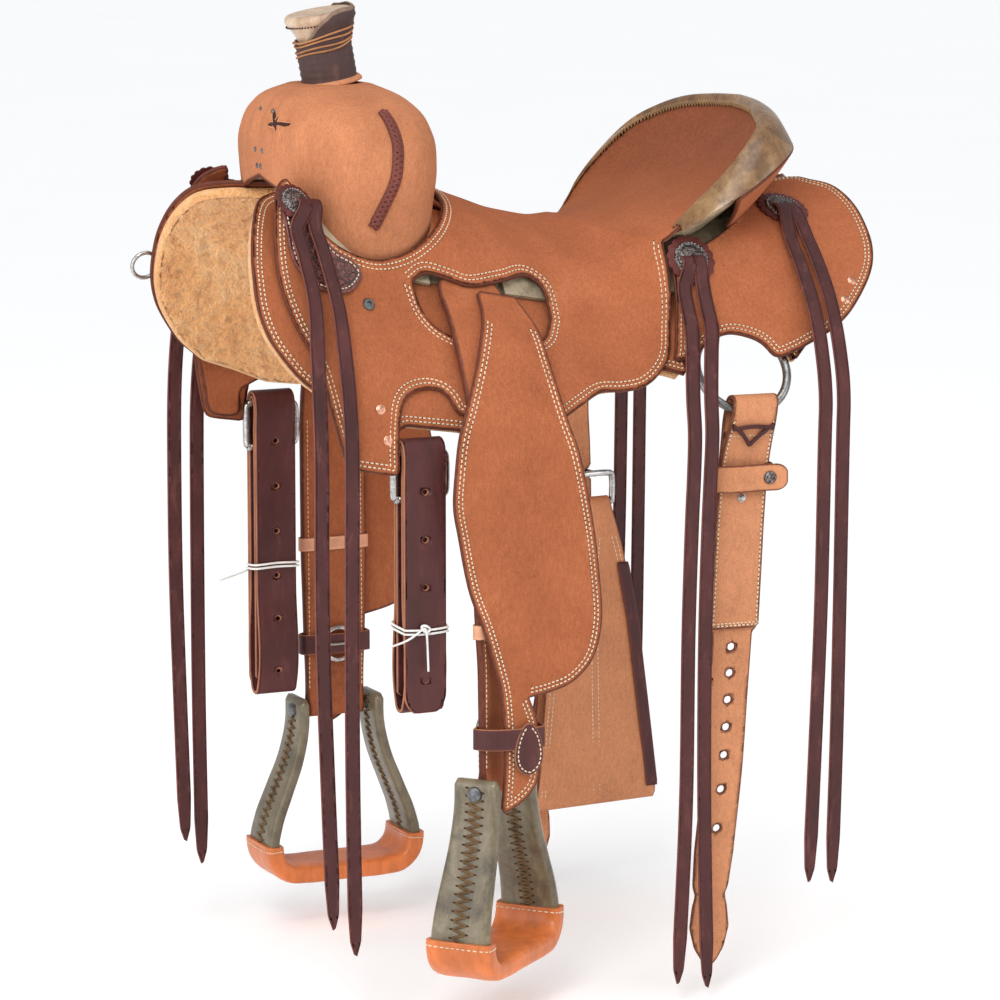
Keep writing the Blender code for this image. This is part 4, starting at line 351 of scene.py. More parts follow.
def form_table():
    """Half widths, heights and outward normals of the form on a grid of x and s: each section is a cubic
    Bezier measured by its length, and it runs straight down past its foot."""
    crown, half, foot, crown_handle, foot_handle = (
        col(spline(BACK_STATIONS[:, 0], BACK_STATIONS[:, k], FORM_X)) for k in range(1, 6))
    t = np.linspace(0, 1, 161)[None]
    a, b, c, d = (1 - t)**3, 3 * (1 - t)**2 * t, 3 * (1 - t) * t**2, t**3
    w = b * crown_handle + (c + d) * half
    h = (a + b) * crown + c * (foot + foot_handle) + d * foot
    lengths = np.concatenate([np.zeros((len(w), 1)), np.cumsum(np.hypot(np.diff(w), np.diff(h)), axis=1)], 1)
    width = np.array([np.interp(FORM_S, l, r) for l, r in zip(lengths, w)])
    height = np.array([np.interp(FORM_S, l, r) for l, r in zip(lengths, h)])
    height -= np.maximum(FORM_S[None] - lengths[:, -1:], 0)
    wide = np.concatenate([-width[:, 1:2], width, width[:, -1:]], 1)
    tall = np.concatenate([height[:, 1:2], height, 2 * height[:, -1:] - height[:, -2:-1]], 1)
    dw = wide[:, 2:] - wide[:, :-2]
    dh = tall[:, 2:] - tall[:, :-2]
    size = np.hypot(dw, dh)
    return np.stack([width, height, -dh / size, dw / size], -1)


FORM = form_table()


def form_at(x, s):
    """Half width, height and normal at x and s, each the mean of the four grid points about them."""
    x, s = np.broadcast_arrays(np.asarray(x, float), np.abs(np.asarray(s, float)))
    i = (x - FORM_X[0]) / FORM_STEP_X
    j = s / FORM_STEP_S
    i0 = np.clip(i.astype(int), 0, len(FORM_X) - 2)
    j0 = np.clip(j.astype(int), 0, len(FORM_S) - 2)
    u, v = col(i - i0), col(j - j0)
    low = FORM[i0, j0] * (1 - u) + FORM[i0 + 1, j0] * u
    high = FORM[i0, j0 + 1] * (1 - u) + FORM[i0 + 1, j0 + 1] * u
    return np.moveaxis(low * (1 - v) + high * v, -1, 0)


def on_back(x, s, lift=0.0):
    """Point on the form, s negative on the near side, raised along the section's normal."""
    w, h, out, up = form_at(x, s)
    return stack(x, np.where(np.asarray(s) < 0, -1, 1) * (w + lift * out), h + lift * up)


def normal_on_back(x, s):
    _, _, out, up = form_at(x, s)
    return stack(0, np.where(np.asarray(s) < 0, -1, 1) * out, up)


def across_back(x, s):
    return unit(on_back(np.asarray(x) + 0.020, s) - on_back(np.asarray(x) - 0.020, s))


def true_normal(x, s):
    step = math.copysign(0.004, s)
    normal = unit(np.cross(across_back(x, s), on_back(x, s + step) - on_back(x, s - step)))
    return normal if normal @ normal_on_back(x, s) > 0 else -normal


def drop_length(x, z):
    """Length down the section at one x at which its height is z."""
    k = int((x - FORM_X[0]) / FORM_STEP_X)
    share = (x - FORM_X[k]) / FORM_STEP_X
    heights = FORM[k, :, 1] * (1 - share) + FORM[k + 1, :, 1] * share
    return np.interp(-np.asarray(z, float), -heights, FORM_S)


def rise(s):
    return smoothstep((RISE_FOOT_S - np.abs(s)) / (RISE_FOOT_S - RISE_TOP_S))


def seat_lift(x, s):
    return LAYER_GAP + SEAT_THICK + spline(SEAT_RISE_X, SEAT_RISE, x) * rise(s)


def jockey_lift(x, s):
    return LAYER_GAP + SEAT_THICK + np.maximum(spline(JOCKEY_RISE_X, JOCKEY_RISE, x), 0) * rise(s)


def bar_lift(x, s):
    inner = smoothstep((np.abs(s) - BAR_INNER_S + 0.030) / 0.060)
    outer = smoothstep((BAR_OUTER_S + 0.010 - np.abs(s)) / 0.060)
    return LAYER_GAP + spline(BAR_THICK_X, BAR_THICK, x) * (0.20 + 0.80 * np.minimum(inner, outer))


def dish_line(s):
    q = np.minimum(np.abs(s) / CANTLE_END_S, 1)
    return DISH_LINE_X + (CANTLE_END_X - DISH_LINE_X) * q**1.6


def rim_point(q):
    """Point of the rim at a share of its half length, negative on the near side."""
    length = lengths_along(RIM_POINTS)
    x, w, z = (spline(length / length[-1], RIM_POINTS[:, k], np.abs(q)) for k in range(3))
    return stack(x, np.copysign(np.maximum(w, 0), q), z)


def seat_point(x, s):
    return on_back(x, s, seat_lift(x, s))


def dish_frame(q):
    s = np.asarray(q, float) * CANTLE_END_S
    start = seat_point(dish_line(s), s)
    end = rim_point(q)
    chord = end - start
    size = np.linalg.norm(chord, axis=-1)
    leave = stack(chord[..., 0], chord[..., 1], -0.12 * size)
    return start, end, leave, 0.55 * chord + col(0.62 * size) * UP


def dish_point(q, u):
    """Hermite curve from the seat line to the rim at q."""
    start, end, leave, arrive = dish_frame(q)
    u = col(u)
    return (start * (2 * u**3 - 3 * u**2 + 1) + leave * (u**3 - 2 * u**2 + u)
            + end * (3 * u**2 - 2 * u**3) + arrive * (u**3 - u**2))


def dish_normal(q, u):
    q = np.asarray(q, float)
    turn = np.copysign(np.radians(spline(RIM_TURN_Q, RIM_TURN, np.abs(q))), q)
    tilt = math.radians(RIM_TILT)
    at_rim = stack(-np.cos(turn) * math.cos(tilt), -np.sin(turn) * math.cos(tilt), math.sin(tilt))
    at_line = normal_on_back(dish_line(q * CANTLE_END_S), q * CANTLE_END_S)
    share = col(smoothstep(u))
    return unit(at_line * (1 - share) + at_rim * share)


def dish_depth(s):
    start, end, _, _ = dish_frame(np.asarray(s) / CANTLE_END_S)
    return np.linalg.norm(end - start, axis=-1)


def seat_surface(x, s, sink=0.0):
    """Grain side of the seat: the back form raised by its lift, and the cantle's dish past the seat line."""
    q = np.clip(s / CANTLE_END_S, -1, 1)
    inner = q * CANTLE_END_S
    line = dish_line(inner)
    u = np.clip((x - line) / np.maximum(dish_depth(inner), 1e-6), 0, 1)
    dish = dish_point(q, u) - col(sink) * dish_normal(q, u)
    flat = seat_point(x, s) - col(sink) * normal_on_back(x, s)
    return np.where(col((np.abs(s) < CANTLE_END_S) & (x > dish_line(s))) > 0, dish, flat)


# Shapes: points, faces as arrays of equal length, and each point's distance from the leather's edge

class Shape:
    def __init__(self, points, faces, edge=None):
        self.points = np.asarray(points, float).reshape(-1, 3)
        self.faces = [np.asarray(f, int) for f in faces if len(f)]
        self.edge = np.full(len(self.points), 0.05) if edge is None else np.asarray(edge, float).ravel()


def join(shapes):
    faces = []
    low = 0
    for s in shapes:
        faces += [f + low for f in s.faces]
        low += len(s.points)
    return Shape(np.concatenate([s.points for s in shapes]), faces, np.concatenate([s.edge for s in shapes]))


def grid_faces(rows, columns, close_rows=False, close_columns=False):
    """Quads of a grid whose points run down its columns row by row."""
    r = np.arange(rows if close_rows else rows - 1)[:, None]
    c = np.arange(columns if close_columns else columns - 1)[None]
    r2 = (r + 1) % rows
    c2 = (c + 1) % columns
    corners = [r * columns + c, r * columns + c2, r2 * columns + c2, r2 * columns + c]
    return np.stack(corners, -1).reshape(-1, 4)


def loft(rings, closed=False, edge=None):
    """Grid of rings of equal count, capped at its ends unless the rings close on themselves."""
    rings = np.asarray(rings, float)
    rows, columns = rings.shape[:2]
    faces = [grid_faces(rows, columns, closed, True)]
    if not closed:
        faces += [np.arange(columns)[None, ::-1], (np.arange(columns) + (rows - 1) * columns)[None]]
    return Shape(rings, faces, edge)


def lines(low, high, step):
    """Grid lines from low to high, a step apart or a little less."""
    return np.linspace(low, high, max(2, math.ceil((high - low) / step) + 1))


def to_outline(points, loops):
    """Distance to the nearest outline, positive inside, and the nearest place on it."""
    starts = np.concatenate(loops)
    ends = np.concatenate([np.roll(l, -1, axis=0) for l in loops])
    way = ends - starts
    size = np.maximum((way**2).sum(1), 1e-18)
    slope = way[:, 0] / np.where(np.abs(way[:, 1]) < 1e-15, 1e-15, way[:, 1])
    depth = np.empty(len(points))
    foot = np.empty((len(points), 2))
    for low in range(0, len(points), 2048):
        p = points[low:low + 2048]
        px, py = p[:, :1], p[:, 1:]
        dx, dy = px - starts[:, 0], py - starts[:, 1]
        t = np.clip((dx * way[:, 0] + dy * way[:, 1]) / size, 0, 1)
        gap = (dx - t * way[:, 0])**2 + (dy - t * way[:, 1])**2
        k = gap.argmin(1)
        row = np.arange(len(p))
        foot[low:low + 2048] = starts[k] + t[row, k, None] * way[k]
        crossed = ((starts[:, 1] > py) != (ends[:, 1] > py)) & (dx < dy * slope)
        depth[low:low + 2048] = np.sqrt(gap[row, k]) * np.where(crossed.sum(1) % 2 == 1, 1, -1)
    return depth, foot


CELL_FACES = {1: ("c0 e0 e3",), 2: ("c1 e1 e0",), 3: ("c0 c1 e1 e3",), 4: ("c2 e2 e1",),
              5: ("c0 e0 e3", "c2 e2 e1"), 6: ("c1 c2 e2 e0",), 7: ("c0 c1 c2 e2 e3",), 8: ("c3 e3 e2",),
              9: ("c0 e0 e2 c3",), 10: ("c1 e1 e0", "c3 e3 e2"), 11: ("c0 c1 e1 e2 c3",),
              12: ("c2 c3 e3 e1",), 13: ("c0 e0 e1 c2 c3",), 14: ("c1 c2 c3 e3 e0",), 15: ("c0 c1 c2 c3",)}


def flat_cut(loops, inset, a, b):
    """Flat mesh of everything deeper than inset inside the outlines, on the grid lines a and b: cells that
    the inset line crosses are cut along it. Returns places, depths, faces, cut segments and the feet of the
    cut places."""
    grid = stack(*np.meshgrid(a, b, indexing="ij"))
    flat = grid.reshape(-1, 2)
    depth, foot = to_outline(flat, loops)
    value = depth - inset
    snap = np.abs(value) < min(0.25 * min(np.diff(a).min(), np.diff(b).min()), 0.9 * inset)
    flat = np.where(snap[:, None], foot + (flat - foot) * (inset / np.maximum(depth, 1e-9))[:, None], flat)
    value = np.where(snap, 0.0, value).reshape(grid.shape[:2])
    inside = value >= 0
    index = np.full(inside.shape, -1)
    index[inside] = np.arange(inside.sum())
    flat = flat.reshape(grid.shape)
    count = int(inside.sum())
    cuts = []
    crossings = []
    for axis in (0, 1):
        one = (slice(None, -1), slice(None)) if axis == 0 else (slice(None), slice(None, -1))
        two = (slice(1, None), slice(None)) if axis == 0 else (slice(None), slice(1, None))
        cross = inside[one] != inside[two]
        t = value[one][cross] / (value[one][cross] - value[two][cross])
        cuts.append(flat[one][cross] * (1 - t[:, None]) + flat[two][cross] * t[:, None])
        number = np.full(cross.shape, -1)
        number[cross] = count + np.arange(cross.sum())
        count += int(cross.sum())
        crossings.append(number)
    cut = np.concatenate(cuts)
    cut_depth, cut_foot = to_outline(cut, loops)
    cut = cut_foot + (cut - cut_foot) * (inset / np.maximum(np.abs(cut_depth), 1e-6))[:, None]
    corner = {"c0": index[:-1, :-1], "c1": index[1:, :-1], "c2": index[1:, 1:], "c3": index[:-1, 1:],
              "e0": crossings[0][:, :-1], "e1": crossings[1][1:], "e2": crossings[0][:, 1:],
              "e3": crossings[1][:-1]}
    kind = (inside[:-1, :-1] + 2 * inside[1:, :-1] + 4 * inside[1:, 1:] + 8 * inside[:-1, 1:])
    faces = []
    segments = []
    for case, shapes in CELL_FACES.items():
        here = kind == case
        for keys in (s.split() for s in shapes):
            face = np.stack([corner[k][here] for k in keys], -1)
            faces.append(face)
            for n, k in enumerate(keys):
                if k[0] == "e" and keys[(n + 1) % len(keys)][0] == "e":
                    segments.append(face[:, [n, (n + 1) % len(keys)]])
    places = np.concatenate([flat[inside], cut])
    depths = np.concatenate([depth.reshape(inside.shape)[inside], np.full(len(cut), inset)])
    return places, depths, faces, np.concatenate(segments), cut_foot


def edge_profile(thick, radius, inset):
    """Insets and heights round a leather edge: flat, a quarter round, the wall, a quarter round, flat."""
    turn = np.radians((90, 65, 40, 15, 0))
    over = [(radius * (1 - math.cos(a)), thick - radius * (1 - math.sin(a))) for a in turn]
    under = [(i, thick - h) for i, h in over[::-1]]
    return [(inset, thick)] + over + under + [(inset, 0.0)]


def panel(loops, place, thick, cell=0.004, radius=None, inset=EDGE_INSET, relief=None, foot_relief=None):
    """Closed leather panel: the flat mesh of a pattern at its grain side and at its flesh side, joined round
    every outline by a rounded edge. place maps a flat place and a height above the flesh side into space."""
    loops = [np.asarray(l, float)[:, :2] for l in loops]
    low, high = loops[0].min(0), loops[0].max(0)
    steps = (cell, cell) if np.isscalar(cell) else cell
    a = lines(low[0] - steps[0], high[0] + steps[0], steps[0])
    b = lines(low[1] - steps[1], high[1] + steps[1], steps[1])
    places, depths, faces, segments, feet = flat_cut(loops, inset, a, b)
    profile = edge_profile(thick, radius or thick * 0.42, inset)
    count = len(places)
    cuts = places[count - len(feet):]
    first_cut = count - len(feet)
    top = thick + (relief(places[:, 0], places[:, 1], depths) if relief else 0)
    bottom = foot_relief(places[:, 0], places[:, 1], depths) if foot_relief else 0
    points = [place(places[:, 0], places[:, 1], top + np.zeros(count)),
              place(places[:, 0], places[:, 1], bottom + np.zeros(count))]
    edges = [depths, depths]
    for i, h in profile[1:-1]:
        at = feet + (cuts - feet) * (i / inset)
        points.append(place(at[:, 0], at[:, 1], np.full(len(at), h)))
        edges.append(np.full(len(at), i))
    rows = [segments]
    rows += [segments - first_cut + 2 * count + k * len(feet) for k in range(len(profile) - 2)]
    rows.append(segments + count)
    around = [np.stack([r[:, 1], r[:, 0], n[:, 0], n[:, 1]], -1) for r, n in zip(rows, rows[1:])]
    return Shape(np.concatenate(points), faces + [f[:, ::-1] + count for f in faces] + around,
                 np.concatenate(edges))


def resample(columns, step):
    """Stations laid closer together along their path: each column is a cubic of the path's length."""
    columns = np.asarray(columns, float)
    gaps = np.linalg.norm(np.diff(columns[:, :3], axis=0), axis=1)
    keep = np.concatenate([[True], gaps > 1e-6])
    columns = columns[keep]
    length = lengths_along(columns[:, :3])
    where = np.linspace(0, length[-1], max(3, math.ceil(length[-1] / step) + 1))
    return np.stack([spline(length, columns[:, k], where) for k in range(columns.shape[1])], -1)


def strap(stations, step=0.006, closed=False, corner=0.75):
    """Rounded strap carried along stations of middle, across, half width, through and half thickness."""
    table = np.array([[*m, *unit(np.asarray(a, float)), w, *unit(np.asarray(t, float)), h]
                      for m, a, w, t, h in stations])
    if closed:
        table = np.concatenate([table[-2:], table, table[:3]])
        head = lengths_along(table[:3, :3])[-1]
        whole = lengths_along(table[2:-2, :3])[-1]
        length = lengths_along(table[:, :3])
        where = head + np.linspace(0, whole, max(8, math.ceil(whole / step)), endpoint=False)
        table = np.stack([spline(length, table[:, k], where) for k in range(table.shape[1])], -1)
    else:
        table = resample(table, step)
    middle, across, half = table[:, None, 0:3], unit(table[:, None, 3:6]), table[:, 6:7]
    through, thick = unit(table[:, None, 7:10]), table[:, 10:11]
    if not closed:
        half = half.copy()
        thick = thick.copy()
        half[[0, -1]] -= np.minimum(thick[[0, -1]] * 0.5, half[[0, -1]] * 0.5)
        thick[[0, -1]] *= 0.55
    angles = np.radians((0, 30, 60, 90))
    r = thick * corner
    offsets = []
    for a in angles:
        offsets.append((half - r + r * math.cos(a), thick - r + r * math.sin(a)))
    offsets += [((half - r) * share, thick) for share in (0.5, 0.0)]
    quarter = offsets[:-1]
    ring = quarter + [offsets[-1]] + [(-w, h) for w, h in quarter[::-1]]
    ring += [(-w, -h) for w, h in quarter] + [(0 * half, -thick)] + [(w, -h) for w, h in quarter[::-1]]
    w = np.concatenate([o[0] for o in ring], 1)
    h = np.concatenate([o[1] for o in ring], 1)
    points = middle + across * w[..., None] + through * h[..., None]
    return loft(points, closed, edge=half - np.abs(w))


def tube(points, radius, closed=False, sides=12):
    """Round rod along a path: a circle carried along it, its frame turned as little as possible."""
    p = np.asarray(points, float)
    way = unit(np.roll(p, -1, 0) - np.roll(p, 1, 0)) if closed else unit(np.gradient(p, axis=0))
    side = np.empty_like(p)
    guess = UP if abs(way[0][2]) < 0.9 else ALONG
    for k, w in enumerate(way):
        guess = unit(guess - w * (guess @ w))
        side[k] = guess
    other = np.cross(way, side)
    a = np.linspace(0, math.tau, sides, endpoint=False)
    r = np.broadcast_to(radius, len(p))[:, None, None]
    ring = p[:, None] + r * (side[:, None] * col(np.cos(a)) + other[:, None] * col(np.sin(a)))
    return loft(ring, closed)


def frame_of(axis, along=None):
    """Two directions square to an axis and to each other."""
    axis = unit(np.asarray(axis, float))
    first = np.asarray(along if along is not None else (ALONG if abs(axis[0]) < 0.9 else UP), float)
    first = unit(first - axis * (first @ axis))
    return first, np.cross(axis, first), axis


def turned(profile, centre, axis, along=None, steps=48, radius_at=None):
    """Profile of radius and height, top to bottom, turned about an axis; radius_at scales it by angle."""
    first, second, axis = frame_of(axis, along)
    a = np.linspace(0, math.tau, steps, endpoint=False)
    r, z = np.asarray(profile, float).T
    scale = np.ones(steps) if radius_at is None else radius_at(a)
    ring = (np.asarray(centre, float) + z[:, None, None] * axis
            + r[:, None, None] * scale[None, :, None]
            * (np.cos(a)[None, :, None] * first + np.sin(a)[None, :, None] * second))
    return loft(ring)


def threads(starts, ends, ups, radius, lift=0.3, sides=5, flatten=1.0):
    """Short stitches: a round profile carried from each start to each end, its ends sunk and narrowed."""
    t = np.array([0.0, 0.14, 0.5, 0.86, 1.0])
    size = np.array([0.35, 0.95, 1.1, 0.95, 0.35])
    rise_at = np.array([-0.7, 0.0, 1.0, 0.0, -0.7]) * radius * lift
    a = np.linspace(0, math.tau, sides, endpoint=False) + 0.3
    ups = unit(ups)
    across = unit(np.cross(ends - starts, ups))
    middle = (starts[:, None] * (1 - t)[None, :, None] + ends[:, None] * t[None, :, None]
              + ups[:, None] * rise_at[None, :, None])
    ring = (across[:, None, None] * np.cos(a)[None, None, :, None]
            + ups[:, None, None] * np.sin(a)[None, None, :, None] * flatten)
    points = middle[:, :, None] + ring * (radius * size)[None, :, None, None]
    each = 5 * sides
    shifts = np.arange(len(starts))[:, None, None] * each
    body = (grid_faces(5, sides, False, True)[None] + shifts).reshape(-1, 4)
    caps = np.stack([np.arange(sides)[::-1], np.arange(sides) + 4 * sides])
    return Shape(points, [body, (caps[None] + shifts).reshape(-1, sides)])


def seam_places(loops, inset, pitch, keep=None, phase=0.0):
    """Flat places a pitch apart along the line at an inset inside the outlines, with the way along it."""
    loops = [np.asarray(l, float)[:, :2] for l in loops]
    found = []
    for loop in loops:
        closed = np.concatenate([loop, loop[:1]])
        length = lengths_along(closed)
        where = np.arange(0, length[-1], 0.0012)
        p = np.stack([np.interp(where, length, closed[:, k]) for k in (0, 1)], -1)
        way = unit(np.roll(p, -3, axis=0) - np.roll(p, 3, axis=0))
        side = np.stack([-way[:, 1], way[:, 0]], -1)
        if to_outline(p[::7] + side[::7] * inset, loops)[0].mean() < 0:
            side = -side
        p = p + side * inset
        good = to_outline(p, loops)[0] > inset * 0.95
        if keep is not None:
            good &= keep(p[:, 0], p[:, 1])
        p = p[good]
        if len(p) < 4:
            continue
        total = lengths_along(p)
        gaps = np.diff(total)
        spots = np.arange(pitch * (0.5 + phase), total[-1] - pitch, pitch)
        k = np.clip(np.searchsorted(total, spots) - 1, 0, len(gaps) - 1)
        spots = spots[gaps[k] < 0.004]
        centre = np.stack([np.interp(spots, total, p[:, n]) for n in (0, 1)], -1)
        ahead = np.stack([np.interp(spots + pitch * 0.3, total, p[:, n]) for n in (0, 1)], -1)
        found.append((centre, unit(ahead - centre)))
    return tuple(np.concatenate([f[n] for f in found]) for n in (0, 1))


# Shader maths

class Value:
    """A socket whose arithmetic adds Math nodes."""

    def __init__(self, shader, socket):
        self.shader = shader
        self.socket = socket

    def maths(self, operation, *values):
        return self.shader.add("ShaderNodeMath", {"operation": operation}, dict(enumerate(values)))

    def __add__(self, other):
        return self.maths("ADD", self, other)

    __radd__ = __add__

    def __sub__(self, other):
        return self.maths("SUBTRACT", self, other)

    def __rsub__(self, other):
        return self.maths("SUBTRACT", other, self)

    def __mul__(self, other):
        return self.maths("MULTIPLY", self, other)

    __rmul__ = __mul__


class Shader:
    """One material's nodes. add() makes any node, and the other methods are the ones used most."""

    def __init__(self, name, metallic=0.0, coat=0.0, sheen=0.0, specular=0.5, subsurface=0.0):
        self.material = bpy.data.materials.new(name)
        self.material.use_nodes = True
        self.nodes = self.material.node_tree.nodes
        self.links = self.material.node_tree.links
        self.surface = self.nodes["Principled BSDF"]
        for key, value in (("Metallic", metallic), ("Coat Weight", coat), ("Sheen Weight", sheen),
                           ("Specular IOR Level", specular), ("Subsurface Weight", subsurface)):
            self.surface.inputs[key].default_value = value

    def add(self, kind, settings=None, values=None, output=0):
        node = self.nodes.new(kind)
        for key, value in (settings or {}).items():
            if key == "stops":
                while len(node.color_ramp.elements) < len(value):
                    node.color_ramp.elements.new(0.5)
                for element, (position, colour) in zip(node.color_ramp.elements, value):
                    element.position = position
                    element.color = (*colour, 1.0) if len(colour) == 3 else colour
            else:
                setattr(node, key, value)
        for key, value in (values or {}).items():
            socket = node.inputs[key]
            if isinstance(value, Value):
                self.links.new(value.socket, socket)
            elif isinstance(value, (tuple, list)) and len(value) == 3 and socket.type == "RGBA":
                socket.default_value = (*value, 1.0)
            else:
                socket.default_value = value
        return Value(self, node.outputs[output])

    def place(self, scale=(1, 1, 1)):
        at = self.add("ShaderNodeTexCoord", output=3)
        return self.add("ShaderNodeMapping", None, {0: at, 3: scale})

    def noise(self, at, scale, detail=3.0, roughness=0.5, distortion=0.0):
        return self.add("ShaderNodeTexNoise", None, {
            "Vector": at, "Scale": scale, "Detail": detail, "Roughness": roughness, "Distortion": distortion})

    def cells(self, at, scale, feature="F1"):
        return self.add("ShaderNodeTexVoronoi", {"feature": feature}, {"Vector": at, "Scale": scale})

    def edge(self):
        return self.add("ShaderNodeAttribute", {"attribute_name": "edge"}, output=2)

    def ramp(self, value, stops):
        return self.add("ShaderNodeValToRGB", {"stops": stops}, {0: value})

    def span(self, value, low, high, start=0.0, end=1.0):
        return self.add("ShaderNodeMapRange", {"interpolation_type": "SMOOTHSTEP"},
                        {0: value, 1: low, 2: high, 3: start, 4: end})

    def mix(self, factor, one, two):
        return self.add("ShaderNodeMix", {"data_type": "RGBA"}, {0: factor, 6: one, 7: two}, 2)

    def bump(self, height, strength, distance):
        return self.add("ShaderNodeBump", None,
                        {"Strength": strength, "Distance": distance, "Height": height})

    def finish(self, colour, roughness, normal=None):
        """The material, with values linked to its surface and constants set on it."""
        for key, value in (("Base Color", colour), ("Roughness", roughness), ("Normal", normal)):
            if isinstance(value, Value):
                self.links.new(value.socket, self.surface.inputs[key])
            elif value is not None:
                self.surface.inputs[key].default_value = (*value, 1.0) if key == "Base Color" else value
        return self.material


def shade(colour, factor):
    return tuple(min(c * factor, 1.0) for c in colour)


def blend_of(one, two, share):
    return tuple(a * (1 - share) + b * share for a, b in zip(one, two))


def suede(name, colour, rim, rim_width=0.0028, nap=1.0, stain=0.5, dish=None):
    """Flesh-side leather: soft stains, combed nap and dark flecks, with a burnished rim."""
    s = Shader(name, specular=0.18)
    at = s.place()
    combed = s.place((1.0, 1.0, 0.45))
    stains = s.noise(at, 7.0, 4.0, 0.55, 0.6)
    clouds = s.noise(at, 22.0, 4.0, 0.55)
    fibre = s.noise(combed, 300.0, 5.0, 0.75, 0.15)
    hair = s.noise(at, 900.0, 2.0, 0.6)
    fleck = s.span(s.noise(at, 330.0, 6.0, 0.8), 0.56, 0.68)
    tone = (stains - 0.5) * (0.60 * stain) + (clouds - 0.5) * 0.20
    tone = tone + (fibre - 0.5) * 0.40 + (hair - 0.5) * 0.40 + 0.545
    base = s.ramp(tone, [(0.33, shade(colour, 0.50)), (0.46, shade(colour, 0.84)), (0.56, colour),
                         (0.72, blend_of(shade(colour, 1.22), (0.8, 0.5, 0.3), 0.08))])
    base = s.mix(fleck * 0.42, base, shade(colour, 0.30))
    if dish:
        where = s.add("ShaderNodeSeparateXYZ", None, {0: at})
        height = Value(s, where.socket.node.outputs[2])
        hollow = s.span(where, 0.070, 0.150) * s.span(height + clouds * 0.06, 0.105, 0.190)
        base = s.mix(hollow * 0.62, base, s.ramp(fibre, [(0.3, shade(dish, 0.6)), (0.7, shade(dish, 1.3))]))
    scar = s.span(s.cells(s.place((1.0, 0.3, 1.0)), 34.0, "DISTANCE_TO_EDGE"), 0.0, 0.012, 1.0, 0.0)
    scar = scar * s.span(s.noise(at, 15.0, 2.0), 0.62, 0.72)
    base = s.mix(scar * 0.35, base, shade(colour, 0.45))
    edge = s.edge()
    ragged = edge + (s.noise(at, 300.0, 2.0) - 0.5) * 0.0016
    border = s.span(ragged, rim_width * 0.55, rim_width * 1.15, 1.0, 0.0)
    crease = s.span(edge, rim_width, rim_width + 0.0012, 1.0, 0.0) * (1 - border)
    base = s.mix(border, base, s.ramp(fibre, [(0.3, shade(rim, 0.6)), (0.7, shade(rim, 1.25))]))
    base = s.mix(crease * 0.35, base, shade(colour, 0.35))
    height = fibre * 0.55 + hair * 0.35 + clouds * 0.5 - border * 0.5 - crease * 0.4
    return s.finish(base, s.span(border, 0.0, 1.0, 0.92, 0.50), s.bump(height, 0.55 * nap, 0.0011))


def grain(name, colour, core, roughness=0.42, coat=0.05, worn=0.4):
    """Smooth finished leather with fine pores, dulled rubs and a raw cut edge."""
    s = Shader(name, coat=coat, specular=0.30)
    at = s.place()
    clouds = s.noise(at, 13.0, 4.0, 0.55)
    rubs = s.noise(s.place((1.0, 1.0, 0.25)), 90.0, 5.0, 0.65, 0.4)
    pores = s.cells(at, 900.0)
    edge = s.edge()
    tone = clouds * 0.6 + rubs * 0.4
    base = s.ramp(tone, [(0.30, shade(colour, 0.62)), (0.50, colour), (0.70, shade(colour, 1.55))])
    rub = s.span(rubs, 0.55, 0.72) * worn
    base = s.mix(rub, base, blend_of(colour, (0.30, 0.12, 0.10), 0.22))
    raw = s.span(edge, 0.0004, 0.0011, 1.0, 0.0)
    soft = s.span(edge, 0.001, 0.004, 1.0, 0.0) * (1 - raw)
    base = s.mix(soft * 0.35, base, shade(colour, 1.6))
    base = s.mix(raw, base, s.ramp(rubs, [(0.3, shade(core, 0.6)), (0.7, core)]))
    height = pores * 0.3 + rubs * 0.25 + clouds * 0.6
    rough = s.span(tone + raw, 0.3, 1.0, roughness, roughness + 0.22)
    return s.finish(base, rough, s.bump(height, 0.30, 0.0006))


def tooled(name, colour):
    """Carved leather: petals of curled lines pressed into it over a pebbled ground."""
    s = Shader(name, coat=0.15, specular=0.5)
    at = s.place()
    warp = s.noise(at, 60.0, 2.0, 0.5)
    curl = s.add("ShaderNodeTexWave", {"wave_type": "RINGS", "rings_direction": "SPHERICAL"},
                 {"Vector": at, "Scale": 26.0, "Distortion": 9.0, "Detail": 1.5, "Detail Scale": 6.0})
    petals = s.cells(at, 95.0, "DISTANCE_TO_EDGE")
    ground = s.cells(at, 620.0)
    line = s.span(petals, 0.0, 0.10)
    height = line * 0.6 + curl * line * 0.6 + ground * (1 - line) * 0.8
    tone = height * 0.6 + warp * 0.4
    base = s.ramp(tone, [(0.30, shade(colour, 0.35)), (0.62, colour), (0.95, shade(colour, 3.2))])
    edge = s.span(s.edge(), 0.001, 0.003, 1.0, 0.0)
    base = s.mix(edge, base, shade(colour, 2.6))
    return s.finish(base, s.span(tone, 0.2, 0.9, 0.35, 0.6), s.bump(height, 0.9, 0.0016))


def wool(name, colour, deep):
    """Shearling: curled locks with matted darker patches, and painted shade in the low pits between the
    locks.
    """
    s = Shader(name, sheen=0.35, specular=0.15, subsurface=0.05)
    at = s.place()
    patch = s.noise(at, 16.0, 5.0, 0.62, 0.5)
    locks = s.noise(at, 95.0, 4.0, 0.65, 1.1)
    curls = s.cells(at, 260.0)
    hair = s.noise(at, 650.0, 3.0, 0.7, 0.8)
    tone = patch * 0.45 + locks * 0.35 + hair * 0.20
    base = s.ramp(tone, [(0.30, deep), (0.40, blend_of(colour, deep, 0.45)), (0.50, colour),
                         (0.66, blend_of(colour, (0.97, 0.72, 0.44), 0.50))])
    # painted shade: darker in the low pits between the locks, where the bump is lowest
    pit_shade = s.span(locks * 0.7 + curls * 0.3, 0.28, 0.42, 1.0, 0.0)
    base = s.mix(pit_shade * 0.35, base, shade(deep, 0.6))
    return s.finish(base, 0.95, s.bump(locks * 1.0 + curls * 0.5 + hair * 0.5, 1.0, 0.0045))


